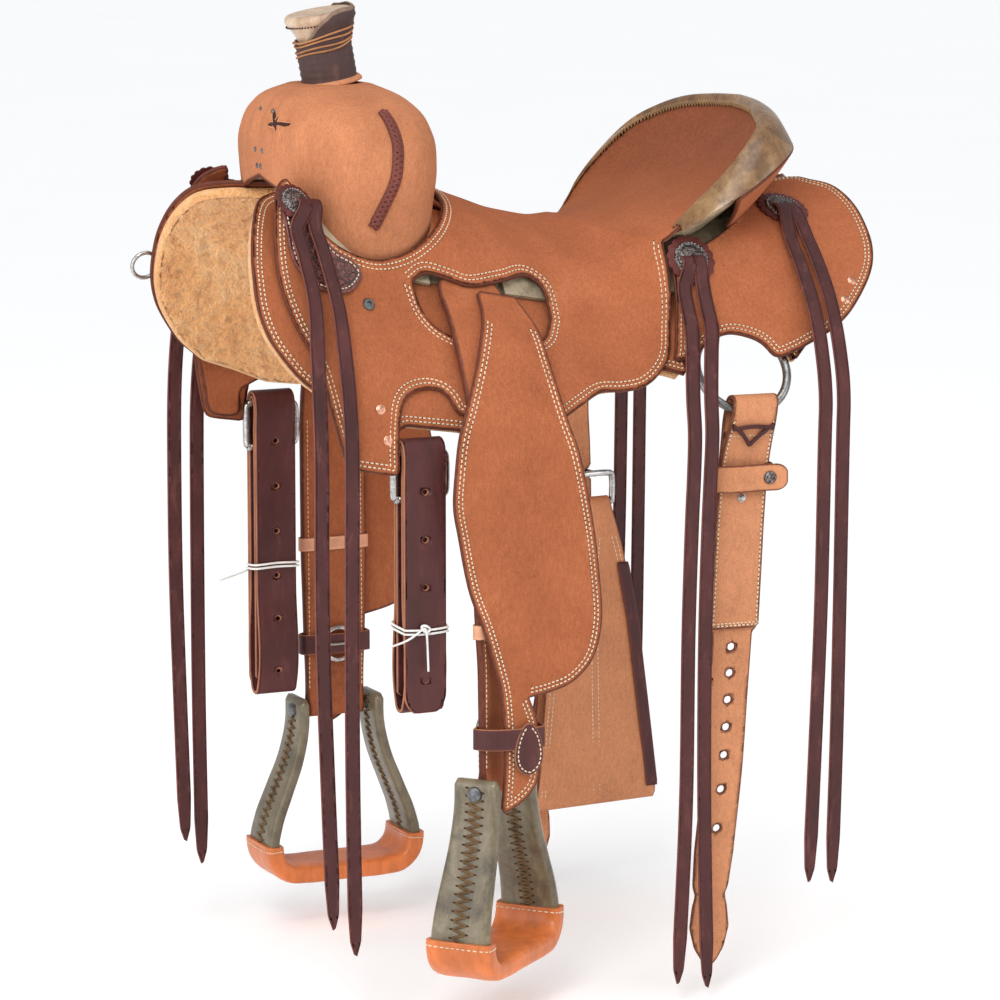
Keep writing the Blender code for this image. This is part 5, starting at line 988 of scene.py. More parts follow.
def hide(name, colour, dark, pale, gloss=0.38):
    """Rawhide: mottled, half clear, with long stretch marks and a waxy shine."""
    s = Shader(name, coat=0.25, specular=0.5, subsurface=0.04)
    at = s.place()
    mottle = s.noise(at, 18.0, 6.0, 0.62, 0.8)
    marks = s.noise(s.place((1.0, 1.0, 0.28)), 55.0, 5.0, 0.7, 1.2)
    grainy = s.noise(at, 420.0, 4.0, 0.7)
    blot = s.span(s.noise(at, 34.0, 3.0, 0.6, 0.5), 0.52, 0.66)
    tone = mottle * 0.5 + marks * 0.35 + grainy * 0.15
    base = s.ramp(tone, [(0.34, dark), (0.48, colour), (0.60, blend_of(colour, pale, 0.5)), (0.74, pale)])
    base = s.mix(blot * 0.45, base, shade(dark, 0.9))
    height = marks * 0.6 + grainy * 0.3 + mottle * 0.6
    return s.finish(base, s.span(tone, 0.35, 0.65, gloss + 0.18, gloss), s.bump(height, 0.45, 0.0010))


def metal(name, colour, dark, roughness, engraved=0.0, wear=0.5):
    """Worn metal: fine scratches and grime, with scroll engraving where asked."""
    s = Shader(name, metallic=1.0)
    at = s.place()
    grime = s.noise(at, 120.0, 5.0, 0.65)
    scratch = s.noise(s.place((1.0, 1.0, 8.0)), 240.0, 3.0, 0.6)
    tone = grime * 0.6 + scratch * 0.4
    height = grime * 0.2 + scratch * 0.1
    if engraved:
        scroll = s.add("ShaderNodeTexWave", {"wave_type": "RINGS", "rings_direction": "SPHERICAL"},
                       {"Vector": at, "Scale": 70.0, "Distortion": 14.0, "Detail": 2.0, "Detail Scale": 5.0})
        leaf = s.span(s.cells(at, 210.0, "DISTANCE_TO_EDGE"), 0.0, 0.12)
        carved = scroll * 0.6 + leaf * 0.4
        tone = tone * 0.35 + carved * 0.65
        height = height + carved * engraved
    base = s.ramp(tone, [(0.36 - 0.1 * wear, dark), (0.62, colour), (0.85, shade(colour, 1.3))])
    return s.finish(base, s.span(tone, 0.3, 0.7, roughness + 0.2, roughness), s.bump(height, 0.5, 0.0006))


def twine(name, colour, dark):
    """Twisted thread: fine slanting strands."""
    s = Shader(name, specular=0.3)
    at = s.place()
    strand = s.noise(at, 1600.0, 2.0, 0.5)
    dirt = s.noise(at, 40.0, 4.0, 0.6)
    base = s.ramp(strand * 0.4 + dirt * 0.6, [(0.3, dark), (0.52, colour), (0.8, shade(colour, 1.15))])
    return s.finish(base, 0.75, s.bump(strand, 0.4, 0.0003))


def make_finishes(colours):
    """Every finish of the saddle by name."""
    cream = tuple(colours.thread)
    burgundy = tuple(colours.burgundy)
    roughout = tuple(colours.roughout)
    rawhide = tuple(colours.rawhide)
    rim = tuple(colours.burnished)
    tan = tuple(colours.light_tan)
    return {
        "roughout": suede("roughout leather", roughout, rim),
        "seat": suede("seat roughout leather", roughout, rim, dish=(0.17, 0.052, 0.026)),
        "fork": suede("fork roughout leather", (0.500, 0.190, 0.088), rim, nap=1.9, stain=0.7),
        "light_tan": suede("light tan leather", tan, shade(rim, 1.25), 0.0016, 0.8, 0.7),
        "flap": suede("skirting leather", shade(roughout, 0.95), rim, 0.0030, 0.5, 0.9),
        "fleece": wool("sheep fleece", tuple(colours.fleece), tuple(colours.fleece_deep)),
        "rawhide": hide("stirrup rawhide", rawhide, shade(rawhide, 0.34),
                        blend_of(rawhide, (0.50, 0.44, 0.30), 0.42), 0.30),
        "rawhide_rim": hide("cantle rawhide", (0.200, 0.098, 0.036), (0.050, 0.020, 0.010),
                            (0.450, 0.280, 0.120), 0.22),
        "rawhide_pale": hide("pale rawhide", (0.52, 0.36, 0.24), (0.30, 0.17, 0.10), (0.72, 0.62, 0.48)),
        "tree": hide("tree rawhide", (0.36, 0.28, 0.18), (0.16, 0.12, 0.07), (0.58, 0.48, 0.33)),
        "burgundy": grain("burgundy strap leather", burgundy, (0.42, 0.16, 0.075)),
        "strings": grain("saddle string leather", shade(burgundy, 0.92), (0.20, 0.06, 0.045), 0.5, 0.0, 0.8),
        "russet": grain("russet leather", tuple(colours.russet), (0.38, 0.13, 0.05), 0.34, 0.15, 0.25),
        "braid": grain("braid leather", (0.16, 0.040, 0.028), (0.12, 0.03, 0.02), 0.5, 0.0, 0.5),
        "wrap": grain("horn wrap leather", (0.072, 0.040, 0.036), (0.30, 0.20, 0.14), 0.62, 0.0, 0.9),
        "keeper_loop": grain("pale keeper leather", (0.62, 0.30, 0.18), (0.50, 0.24, 0.14), 0.55, 0.0, 0.2),
        "tooled": tooled("tooled keeper leather", (0.062, 0.016, 0.013)),
        "rosette": grain("rosette leather", (0.095, 0.018, 0.014), (0.16, 0.03, 0.022), 0.45, 0.0, 0.4),
        "steel": metal("nickel steel", (0.62, 0.61, 0.60), (0.16, 0.15, 0.14), 0.20),
        "ring_steel": metal("ring steel", (0.36, 0.35, 0.34), (0.07, 0.065, 0.06), 0.24),
        "dark_steel": metal("dark steel", (0.24, 0.245, 0.25), (0.05, 0.05, 0.05), 0.30),
        "antique": metal("antiqued engraved metal", (0.22, 0.19, 0.18), (0.010, 0.008, 0.008), 0.30, 1.2,
                         0.0),
        "copper": metal("copper rivet", (0.86, 0.46, 0.32), (0.34, 0.13, 0.08), 0.26),
        "thread": twine("cream thread", cream, shade(cream, 0.55)),
        # near-black fill: painted shade for the depth of stitch holes, lace holes and the fork's slits
        "hole": twine("thread hole", (0.045, 0.014, 0.008), (0.02, 0.006, 0.004)),
        "lacing": twine("rawhide lacing", (0.40, 0.25, 0.12), (0.13, 0.07, 0.03)),
        "lashing": twine("horn lashings", (0.44, 0.20, 0.085), (0.20, 0.080, 0.030)),
        "dark_lacing": twine("dark rawhide lacing", (0.150, 0.085, 0.035), (0.040, 0.020, 0.010)),
        "tie": twine("white tie", (0.80, 0.78, 0.74), (0.50, 0.48, 0.45)),
    }


FINISHES = {}


# Pieces

def make_piece(name, shape, finish, body, slot=None, smooth=True, recalc=True):
    """Object of a shape with its finish on a body; with a slot it stands for the CAD node of its name."""
    piece = name + "_dressed" if slot else name
    mesh = bpy.data.meshes.new(piece)
    mesh.vertices.add(len(shape.points))
    mesh.vertices.foreach_set("co", shape.points.astype(np.float32).ravel())
    corners = np.concatenate([f.ravel() for f in shape.faces])
    totals = np.concatenate([np.full(len(f), f.shape[1]) for f in shape.faces])
    mesh.loops.add(len(corners))
    mesh.loops.foreach_set("vertex_index", corners.astype(np.int32))
    mesh.polygons.add(len(totals))
    mesh.polygons.foreach_set("loop_start", np.concatenate([[0], np.cumsum(totals)[:-1]]).astype(np.int32))
    mesh.attributes.new("edge", "FLOAT", "POINT").data.foreach_set("value", shape.edge.astype(np.float32))
    mesh.update(calc_edges=True)
    if recalc:
        bm = bmesh.new()
        bm.from_mesh(mesh)
        bmesh.ops.remove_doubles(bm, verts=bm.verts[:], dist=0.00001)
        bmesh.ops.dissolve_degenerate(bm, edges=bm.edges[:], dist=0.000005)
        bmesh.ops.recalc_face_normals(bm, faces=bm.faces[:])
        if bm.calc_volume(signed=True) < 0:
            bmesh.ops.reverse_faces(bm, faces=bm.faces[:])
        bm.to_mesh(mesh)
        bm.free()
    mesh.validate()
    mesh.shade_smooth()
    if smooth is not True:
        mesh.set_sharp_from_angle(angle=math.radians(smooth))
    mesh.materials.append(finish_of(finish))
    obj = bpy.data.objects.new(piece, mesh)
    bpy.context.scene.collection.objects.link(obj)
    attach(obj, body)
    if slot:
        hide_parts(name)
    return obj


def sew(name, loops, place, thick, insets, body, keep=None):
    """Stitches in rows at insets from the outlines, and dark marks of painted shade at the holes that they go
    into.
    """
    sizes = bpy.context.scene.saddle_sizes
    length = sizes.stitch_length
    pitch = length + sizes.stitch_gap
    radius = sizes.thread_radius

    def at(flat, h):
        return place(flat[:, 0], flat[:, 1], np.full(len(flat), h))

    stitches = []
    holes = []
    for n, inset in enumerate(insets):
        centre, way = seam_places(loops, inset, pitch, keep, 0.5 * (n % 2))
        ups = at(centre, thick + 0.001) - at(centre, thick)
        start = at(centre - way * length / 2, thick + radius * 0.25)
        end = at(centre + way * length / 2, thick + radius * 0.25)
        stitches.append(threads(start, end, ups, radius))
        # dark flat marks between stitches: painted shade of the holes the thread goes into
        middle = centre + way * pitch / 2
        holes.append(threads(at(middle - way * 0.0006, thick), at(middle + way * 0.0006, thick), ups,
                             radius * 0.95, 0.0, 5, 0.25))
    make_piece(name + "_stitches", join(stitches), "thread", body, recalc=False)
    make_piece(name + "_stitch_holes", join(holes), "hole", body, recalc=False)


# Places on the leather and the patterns cut from it

def layer_place(side, under):
    """Place over a layer of the back form, heights counted from its flesh side."""
    def place(x, s, h):
        return on_back(x, side * s, under(x, s) + h)
    return place


def seat_place(x, s, h):
    return seat_surface(x, s, SEAT_THICK - h)


def skirt_place(side):
    return layer_place(side, lambda x, s: -SKIRT_THICK + 0 * x)


def jockey_place(side):
    return layer_place(side, lambda x, s: jockey_lift(x, s) - SEAT_THICK)


def keeper_place(side):
    return layer_place(side, lambda x, s: seat_lift(x, s) + LAYER_GAP)


def path_place(stations, through_middle=0.0):
    """Place over a strap's path: a runs across it, b along it, and heights from its flesh side outwards."""
    table = np.array([[*m, *unit(np.asarray(a, float)), *unit(np.asarray(t, float))] for m, a, t in stations])
    gaps = np.linalg.norm(np.diff(table[:, :3], axis=0), axis=1)
    table = table[np.concatenate([[True], gaps > 1e-6])]
    length = lengths_along(table[:, :3])
    where = np.linspace(0, length[-1], max(8, int(length[-1] / 0.001)))
    fine = np.stack([spline(length, table[:, k], where) for k in range(9)], -1)

    def place(a, b, h):
        at = np.stack([np.interp(b, where, fine[:, k]) for k in range(9)], -1)
        return at[..., :3] + unit(at[..., 3:6]) * col(a) + unit(at[..., 6:]) * col(h - through_middle)
    return place, length[-1]


def strip_outline(length, half_width):
    """Outline of a strip along b, its half width a function of b."""
    b = np.linspace(0.0, length, max(8, int(length / 0.003)))
    w = half_width(b)
    return np.concatenate([np.stack([-w, b], -1), np.stack([w, b], -1)[::-1]])


def hole_at(a, b, radius):
    return np.array(arc((a, b), radius, 0, 360, HOLE_SIDES + 1)[:-1])


def fork_cutout():
    half = [(-0.268, 0.088), (-0.264, 0.108), (-0.248, 0.131), (-0.222, 0.142), (-0.192, 0.142),
            (-0.156, 0.126), (-0.123, 0.097), (-0.098, 0.057), (-0.090, 0.020)]
    return half + [(x, -s) for x, s in reversed(half)]


def seat_front_edge(side):
    half = [
        [(-0.268, 0.088), (-0.272, 0.074), (-0.282, 0.080), (-0.296, 0.104), (-0.307, 0.149),
         (-0.308, 0.196), (-0.298, 0.234), (-0.280, 0.270), (-0.269, 0.320), (-0.260, 0.356)],
        [(-0.260, 0.356), (-0.252, 0.366), (-0.212, 0.366)],
        [(-0.212, 0.366), (-0.206, 0.362), (-0.205, 0.344), (-0.202, 0.318), (-0.196, 0.294), (-0.184, 0.279),
         (-0.165, 0.271), (-0.149, 0.274), (-0.141, 0.291)],
        [(-0.141, 0.291), (-0.100, 0.302), (-0.060, 0.297), (-0.028, 0.283), (-0.004, 0.266), (0.022, 0.249),
         (0.046, 0.247), (0.072, 0.243), (0.094, 0.230), (0.109, 0.210), (0.121, 0.170), (0.124, 0.140),
         (CANTLE_END_X, CANTLE_END_S)]]
    signed = [[(x, side * s) for x, s in points] for points in half]
    return signed if side < 0 else [points[::-1] for points in signed[::-1]]


def seat_loops():
    s = CANTLE_END_S * np.linspace(-1, 1, 81)
    rim = np.stack([dish_line(s) + dish_depth(s), s], -1)
    outer = np.concatenate([outline_of(*seat_front_edge(-1)), rim[:-1], outline_of(*seat_front_edge(1)),
                            run(fork_cutout())])
    upper = [(-0.160, 0.158), (-0.144, 0.147), (-0.120, 0.149), (-0.096, 0.152), (-0.058, 0.140),
             (-0.030, 0.128), (-0.014, 0.138), (-0.014, 0.170)]
    lower = [(-0.014, 0.170), (-0.030, 0.196), (-0.075, 0.214), (-0.128, 0.209), (-0.151, 0.192),
             (-0.160, 0.158)]
    slot = outline_of(upper, lower)
    return [outer, slot * (1, -1), slot]


def skirt_outline(inset=0.0):
    i = inset
    clear = RING_RADIUS + RING_ROD + 0.003 + i
    top = [(-0.215, BAR_INNER_S + 0.004 + i), (0.190, 0.030 + i), (0.250, 0.016 + i), (0.335, 0.014 + i)]
    rear = [(0.335 - i, 0.014 + i), (0.349 - i, 0.033 + i), (0.364 - i, 0.055), (0.372 - i, 0.087),
            (0.373 - i, 0.117), (0.369 - i, 0.150), (0.354 - i, 0.181 - i), (0.320 - i, 0.216 - i),
            (0.290, 0.234 - i), (0.262, 0.243 - i)]
    ring_arc = [(x, s + RING_SHEAR * (x - RING_CUT_X))
                for x, s in arc((RING_CUT_X, RING_S), clear, 5, -185, 25)]
    foot = [ring_arc[-1], (0.094, 0.226 - i), (0.066, 0.238 - i), (0.020, 0.246 - i),
            (-0.028, 0.276 - i), (-0.085, 0.306 - i), (-0.143, 0.309 - i), (-0.192, 0.313 - i)]
    drop = [(-0.216, 0.330), (-0.216, 0.358), (-0.252, 0.360), (-0.262, 0.330), (-0.270, 0.302)]
    front = [(-0.291 + i, 0.291 - i), (-0.304 + i, 0.280), (-0.324 + i, 0.254), (-0.333 + i, 0.226),
             (-0.334 + i, 0.196), (-0.331 + i, 0.165), (-0.321 + i, 0.127 + i), (-0.305 + i, 0.094 + i),
             (-0.279 + i, 0.071 + i), (-0.258 + i, 0.060 + i), (-0.232, 0.046 + i), (-0.215, 0.036 + i)]
    if inset > 0:
        drop = [(-0.230, 0.306 - i), (-0.270, 0.302 - i)]
    return outline_of(top, rear, [rear[-1], ring_arc[0]], ring_arc, foot,
                      [foot[-1], drop[0]], drop, [drop[-1], front[0]], front)


def jockey_outline():
    over_ring = [(0.214, 0.250), (0.206, 0.236), (0.192, 0.224), (0.172, 0.214), (0.150, 0.216),
                 (0.138, 0.224)]
    top = [(0.128, 0.121), (0.150, 0.1215), (0.170, 0.119), (0.193, 0.112), (0.215, 0.100), (0.240, 0.080),
           (0.262, 0.056), (0.280, 0.034), (0.290, 0.010)]
    rear = [(0.290, 0.010), (0.337, 0.010), (0.351, 0.031), (0.366, 0.053), (0.374, 0.086), (0.375, 0.117),
            (0.371, 0.151), (0.356, 0.182), (0.321, 0.218), (0.291, 0.236), (0.258, 0.247), (0.238, 0.252),
            (0.222, 0.254), (0.214, 0.250)]
    front = [(0.138, 0.224), (0.116, 0.224), (0.110, 0.220), (0.1155, 0.208), (0.1265, 0.170),
             (0.1295, 0.140), (0.128, 0.121)]
    return outline_of(top, rear, over_ring, front)


def keeper_outline():
    return outline_of([(-0.262, 0.114), (-0.258, 0.128), (-0.243, 0.146), (-0.223, 0.153), (-0.216, 0.166),
                       (-0.236, 0.187), (-0.270, 0.190), (-0.291, 0.170), (-0.294, 0.140), (-0.295, 0.112)],
                      [(-0.295, 0.112), (-0.280, 0.100), (-0.262, 0.114)], step=0.004)


def foot_on(place, x, s, thick):
    """Place on a leather's grain side and the way out of it."""
    zero = np.zeros(1)
    foot = place(zero + x, zero + s, zero + thick)[0]
    return foot, unit(place(zero + x, zero + s, zero + thick + 0.001)[0] - foot)


def rivet_on(place, x, s, thick, name):
    """Burred rivet: a dished washer with a domed head."""
    r = RIVET_RADIUS
    profile = [(0, 0.0020), (r * 0.30, 0.0019), (r * 0.42, 0.0012), (r * 0.5, 0.0009), (r * 0.85, 0.0008),
               (r, 0.0003), (r, -0.0006), (0, -0.0006)]
    make_piece(name, turned(profile, *foot_on(place, x, s, thick), steps=24), "copper", "saddle", smooth=40)


# Seat, skirts and jockeys

def build_seat():
    """Seat: one pattern over fork, bars and dish, with a slot for each leg."""
    loops = seat_loops()
    wear = lambda x, s, d: 0.0007 * ripple(x, s, 0.055, 3) * smoothstep(d / 0.010)
    make_piece("seat", panel(loops, seat_place, SEAT_THICK, 0.004, relief=wear), "seat", "saddle",
               "roughout")

    def off_rim(x, s):
        return ~((x > dish_line(s) - 0.002) & (np.abs(s) < CANTLE_END_S + 0.01))

    sew("seat", loops, seat_place, SEAT_THICK, SEAM_INSETS, "saddle", off_rim)
    for label, side in SIDES:
        for k, (x, s) in enumerate(((-0.220, 0.302), (-0.216, 0.332))):
            rivet_on(seat_place, x, side * s, SEAT_THICK, "seat_rivet_%s_%d" % (label, k))
    half = 0.090
    rear = [(float(dish_line(s) + 0.12 * dish_depth(s)), s) for s in np.linspace(-half, half, 25)]
    outline = np.array([(-0.060, half), (-0.088, 0.030), (-0.088, -0.030), (-0.060, -half), *rear])
    sink = SEAT_THICK + 1.6 * LAYER_GAP + 0.003
    make_piece("ground_seat", panel([outline], lambda x, s, h: seat_surface(x, s, sink - h), 0.003, 0.007),
               "flap", "saddle", "light_tan")


def build_skirts():
    """Skirts and the fleece under them, whose locks are waves of noise on its woolly side."""
    outline = skirt_outline()
    inner = skirt_outline(0.001)
    for label, side in SIDES:
        place = skirt_place(side)
        make_piece("skirt_" + label, panel([outline], place, SKIRT_THICK, 0.005), "flap", "saddle",
                   "roughout")
        sew("skirt_" + label, [outline], place, SKIRT_THICK, SEAM_INSETS, "saddle", lambda x, s: s > 0.060)
        under = layer_place(side, lambda x, s: -SKIRT_THICK - 1.6 * LAYER_GAP - FLEECE_THICK + 0 * x)

        def locks(x, s, d, seed=side + 5):
            return (-0.0016 * ripple(x, s, 0.026, seed) - 0.0018 * ripple(x, s, 0.012, seed + 9)
                    - 0.0012 * ripple(x, s, 0.0065, seed + 17)) * smoothstep(d / 0.006)

        wool_piece = make_piece("fleece_" + label, panel([inner], under, FLEECE_THICK, 0.0036, radius=0.0050,
                                                         inset=0.0036, foot_relief=locks),
                                "fleece", "saddle", "fleece")


def build_jockeys():
    """Rear jockeys round the cantle's foot, riveted at the back."""
    outline = jockey_outline()
    for label, side in SIDES:
        place = jockey_place(side)
        make_piece("rear_jockey_" + label, panel([outline], place, SEAT_THICK, 0.004), "roughout", "saddle",
                   "roughout")
        sew("rear_jockey_" + label, [outline], place, SEAT_THICK, SEAM_INSETS, "saddle",
            lambda x, s: (s > 0.140) | (x > 0.300))
        for k, (x, s) in enumerate(((0.331, 0.186), (0.316, 0.206))):
            rivet_on(place, x, s, SEAT_THICK, "jockey_rivet_%s_%d" % (label, k))


# Fork cover and horn

def fork_point(angle, z, inset=0.0):
    """Superellipse of the fork at a height: half length and half width scaled by the angle's power sum."""
    a = spline(FORK_Z, FORK_HALF_LENGTH, z) - inset
    b = spline(FORK_Z, FORK_HALF_WIDTH, z) - inset
    c, s = np.cos(angle), np.sin(angle)
    size = (np.abs(c)**FORK_SQUARENESS + np.abs(s)**FORK_SQUARENESS)**(-1 / FORK_SQUARENESS)
    return stack(spline(FORK_Z, FORK_MIDDLE_X, z) + a * size * c, b * size * s, z)


def build_fork_cover():
    """Shell over the swell from its lower edge to the horn, with pleats drawn in front below the horn."""
    angles = np.linspace(0, math.tau, 144, endpoint=False)
    degrees = np.degrees(angles)
    low = spline(FORK_EDGE_ANGLES, FORK_EDGE_Z, np.minimum(degrees, 360 - degrees)) - FORK_SKIRT
    top = FORK_Z[-1]
    front = smoothstep((np.cos(angles - math.pi) - 0.45) / 0.4)
    outer = []
    inner = []
    for t in np.linspace(0, 1, 34)**0.8:
        z = low + (top - low) * t
        fade = smoothstep((t - 0.25) / 0.3) * (1 - smoothstep((t - 0.8) / 0.2))
        pleat = 0.0016 * front * np.sin(angles * 26) * fade
        for wall, inset, raised in ((outer, 0.0, pleat), (inner, FORK_COVER_THICK, 0 * pleat)):
            ring = fork_point(angles, z, inset - raised)
            ring[:, 2] -= inset * smoothstep((t - 0.45) / 0.5)
            wall.append(ring)
    collar = HORN_WRAP_RADIUS + 0.001
    rim = stack(HORN_X + collar * np.cos(angles), collar * np.sin(angles), top + 0.001)
    rings = np.array(outer + [rim, rim - UP * FORK_COVER_THICK] + inner[::-1])
    edge = np.full(rings.shape[:2], 0.05)
    run_up = np.linalg.norm(rings[:34] - rings[:1], axis=-1)
    edge[:34] = run_up
    edge[-34:] = run_up[::-1]
    make_piece("fork_cover", loft(rings, True, edge), "fork", "saddle", "roughout",
               smooth=60)
    build_braid()
    build_fork_details()


def build_braid():
    """Braid down each side of the swell: three strands, each a sine across it and a third out of step."""
    for label, side in SIDES:
        path = run([(85, 0.209), (84, 0.192), (84.5, 0.170), (88, 0.138), (100, 0.096)], 0.004)
        t = np.linspace(0, len(path) - 1, 150)
        a = np.interp(t, np.arange(len(path)), path[:, 0])
        z = np.interp(t, np.arange(len(path)), path[:, 1])
        turn = np.radians(side * a)
        foot = fork_point(turn, z)
        up = unit(np.cross(fork_point(turn + 0.01, z) - foot, fork_point(turn, z + 0.001) - foot))
        middle = foot + up * 0.0009
        way = unit(np.gradient(middle, axis=0))
        across = np.cross(way, up)
        length = lengths_along(middle)
        strands = []
        for k in range(3):
            phase = math.tau * (length / 0.017 + k / 3)
            strands.append(tube(middle + across * col(0.0042 * np.sin(phase))
                                + up * col(0.0009 + 0.0010 * np.cos(2 * phase)), 0.0022, sides=8))
        base = strap([(m, c, 0.0062, u, 0.0009) for m, c, u in zip(middle[::6], across[::6], up[::6])], 0.004)
        make_piece("fork_braid_" + label, join(strands + [base]), "braid", "saddle")


def build_opening():
    """Star-shaped opening where the pleats meet in front: dark slits of painted shade, each with a pale raw
    edge beside it.
    """
    dark = []
    pale = []
    for lean, length in ((-62, 0.012), (8, 0.013), (70, 0.011), (128, 0.010), (186, 0.009)):
        along = np.linspace(0.0, 1.0, 10)
        c, s = math.cos(math.radians(lean)), math.sin(math.radians(lean))
        size = 0.0036 * np.sqrt(np.clip(1.02 - along, 0, 1)) + 0.0002
        for group, shift, scale, lift in ((dark, 0.0, 1.0, 0.0016), (pale, 0.0036, 0.34, -0.0002)):
            u = (along * c * length * 1.5 - s * shift * (1 - along * 0.7)) / 0.085
            v = along * s * length * 1.5 + c * shift * (1 - along * 0.7)
            group.append(tube(fork_point(math.radians(-165) + u, 0.194 + v, lift), size * scale, sides=8))
    for k, z in enumerate((0.166, 0.172, 0.178)):
        a = np.linspace(0, math.pi, 10)
        turn = math.radians(-167) + 0.030 * np.sin(a) + 0.01 * k
        pale.append(tube(fork_point(turn, z + 0.0035 * np.cos(a), -0.0002),
                         0.0009 * np.sin(a * 0.9 + 0.15) + 0.0002, sides=6))
    # the dark slits are painted shade inside the opening
    make_piece("fork_opening", join(dark), "hole", "saddle")
    make_piece("fork_opening_edges", join(pale), "light_tan", "saddle")


def build_fork_details():
    """Opening and nails in front of the swell, and a ferruled screw in the seat on each side of it."""
    for label, side in SIDES:
        if side < 0:
            build_opening()
        nails = []
        for degrees, z in ((172, 0.206), (176, 0.166), (178, 0.150)):
            foot = fork_point(np.radians([side * degrees]), np.array([z]))[0]
            up = fork_point(np.radians([side * degrees]), np.array([z]), -0.002)[0] - foot
            nails.append(turned([(0, 0.0016), (0.0016, 0.0013), (0.0027, 0.0004), (0.0027, -0.0006),
                                 (0, -0.0006)],
                                foot, up, steps=14))
        make_piece("fork_nails_" + label, join(nails), "dark_steel", "saddle", smooth=40)
        zero = np.zeros(1)
        foot = seat_place(zero - 0.213, zero + side * 0.192, zero + SEAT_THICK)[0]
        up = unit(seat_place(zero - 0.213, zero + side * 0.192, zero + SEAT_THICK + 0.001)[0] - foot)
        screw = turned([(0, 0.0012), (0.0022, 0.0012), (0.0026, 0.0030), (0.0050, 0.0030), (0.0062, 0.0018),
                        (0.0064, -0.0004), (0, -0.0004)], foot, up, steps=24)
        make_piece("fork_screw_" + label, screw, "dark_steel", "saddle", smooth=35)


HORN_AXIS = np.array([math.sin(HORN_LEAN), 0.0, math.cos(HORN_LEAN)])
HORN_FIRST = np.array([math.cos(HORN_LEAN), 0.0, -math.sin(HORN_LEAN)])
HORN_ROOT = np.array([HORN_X, 0.0, HORN_Z])
VIEW_RIGHT = math.radians(-25)


def horn_point(angle, height, radius):
    return (HORN_ROOT + HORN_FIRST * col(radius * np.cos(angle)) + ACROSS * col(radius * np.sin(angle))
            + HORN_AXIS * col(height))


def horn_radius(height):
    """Outside of the wrap: straight up the neck, then flared out over the cap's edge."""
    return np.interp(height, (0.0, 0.043, 0.056, 0.064, 0.071, 0.075),
                     (0.0285, 0.0285, 0.0325, 0.0372, 0.0378, 0.0365))


def build_horn():
    """Cap, wrap and lashings. The wrap's top edge climbs round the neck from the front to over the cap."""
    edge = HORN_CAP_RADIUS
    profile = [(0, HORN_HEIGHT - 0.0030), (edge * 0.30, HORN_HEIGHT - 0.0028),
               (edge * 0.60, HORN_HEIGHT - 0.0020),
               (edge * 0.82, HORN_HEIGHT - 0.0004), (edge - 0.0030, HORN_HEIGHT - 0.0002),
               (edge - 0.0010, HORN_HEIGHT - 0.0018), (edge, HORN_HEIGHT - 0.0050),
               (edge - 0.0006, HORN_HEIGHT - 0.0080), (edge - 0.0022, HORN_HEIGHT - 0.0105),
               (edge - 0.0024, HORN_HEIGHT - 0.0118), (edge - 0.0050, HORN_HEIGHT - 0.0150),
               (HORN_WRAP_RADIUS - 0.0015, 0.052), (HORN_WRAP_RADIUS - 0.003, 0.047),
               (HORN_WRAP_RADIUS - 0.004, 0.043),
               (0, 0.043)]
    make_piece("horn_cap", turned(profile, HORN_ROOT, HORN_AXIS, HORN_FIRST, 96), "rawhide_pale", "saddle",
               "rawhide_pale", smooth=50)
    a = np.linspace(0, math.tau, 64, endpoint=False)
    r = edge - 0.0012
    starts = horn_point(a, HORN_HEIGHT - 0.0112 + 0 * a, r + 0 * a)
    ends = horn_point(a + 0.060, HORN_HEIGHT - 0.0112 + 0 * a, r + 0 * a)
    make_piece("horn_cap_stitches", threads(starts, ends, starts - HORN_ROOT - HORN_AXIS * 0.06, 0.0008),
               "hole",
               "saddle", recalc=False)
    angles = np.linspace(0, math.tau, 120, endpoint=False)
    across = np.cos(angles - VIEW_RIGHT)
    top = 0.047 + 0.0285 * np.clip((across + 0.55) / 0.99, 0, 1)
    top = top + 0.0006 * np.sin(angles * 9)
    rings = []
    for t in np.linspace(0, 1, 22):
        h = 0.0035 + (top - 0.0035) * t
        ridge = 0.0005 * np.sin(h * 900 + angles * 1.0)
        rings.append(horn_point(angles, h, horn_radius(h) + ridge))
    rings.append(horn_point(angles, top + 0.0006, horn_radius(top) - 0.0008))
    for t in np.linspace(1, 0, 12):
        h = 0.0035 + (top - 0.0035) * t
        rings.append(horn_point(angles, h, horn_radius(h) - 0.0020))
    wrap_edge = np.full((len(rings), 120), 0.02)
    wrap_edge[20:24] = 0.0005
    make_piece("horn_wrap", loft(rings, True, wrap_edge), "wrap", "saddle", "burgundy", smooth=60)
    collar = [(0.0285, 0.0045), (0.0310, 0.0040), (0.0330, 0.0016), (0.0332, -0.0004), (0.0300, -0.0012),
              (0.0270, 0.0), (0.0270, 0.0045)]
    make_piece("horn_collar", turned(collar, HORN_ROOT, HORN_AXIS, HORN_FIRST, 72), "light_tan", "saddle")
    cords = []
    for k, (start, end) in enumerate(((0.060, 0.043), (0.054, 0.040), (0.048, 0.034), (0.045, 0.029))):
        turn = np.linspace(VIEW_RIGHT + 0.9, VIEW_RIGHT - math.pi - 0.5, 60)
        h = np.linspace(start, end, 60) + 0.0010 * np.sin(turn * 3 + k)
        tucked = 0.0022 * (np.abs(np.linspace(-1, 1, 60)) > 0.97)
        cords.append(tube(horn_point(turn, h, horn_radius(h) + 0.0009 - tucked), 0.0011, sides=8))
    make_piece("horn_lashings", join(cords), "lashing", "saddle")


# Cantle

def rim_frame(q):
    """Rim point with the dish's normal there, the way into the dish and the way down the back."""
    normal = dish_normal(q, 1.0)
    rim = dish_point(q, 1.0)
    inward = unit(dish_point(q, 0.9) - rim)
    return rim, normal, inward, unit(-normal + 0.35 * inward)


def binding_depth(q):
    width = np.maximum(1 - np.abs(q)**2.2, 0.02)
    return BINDING_DEPTH * width + 0.004, width


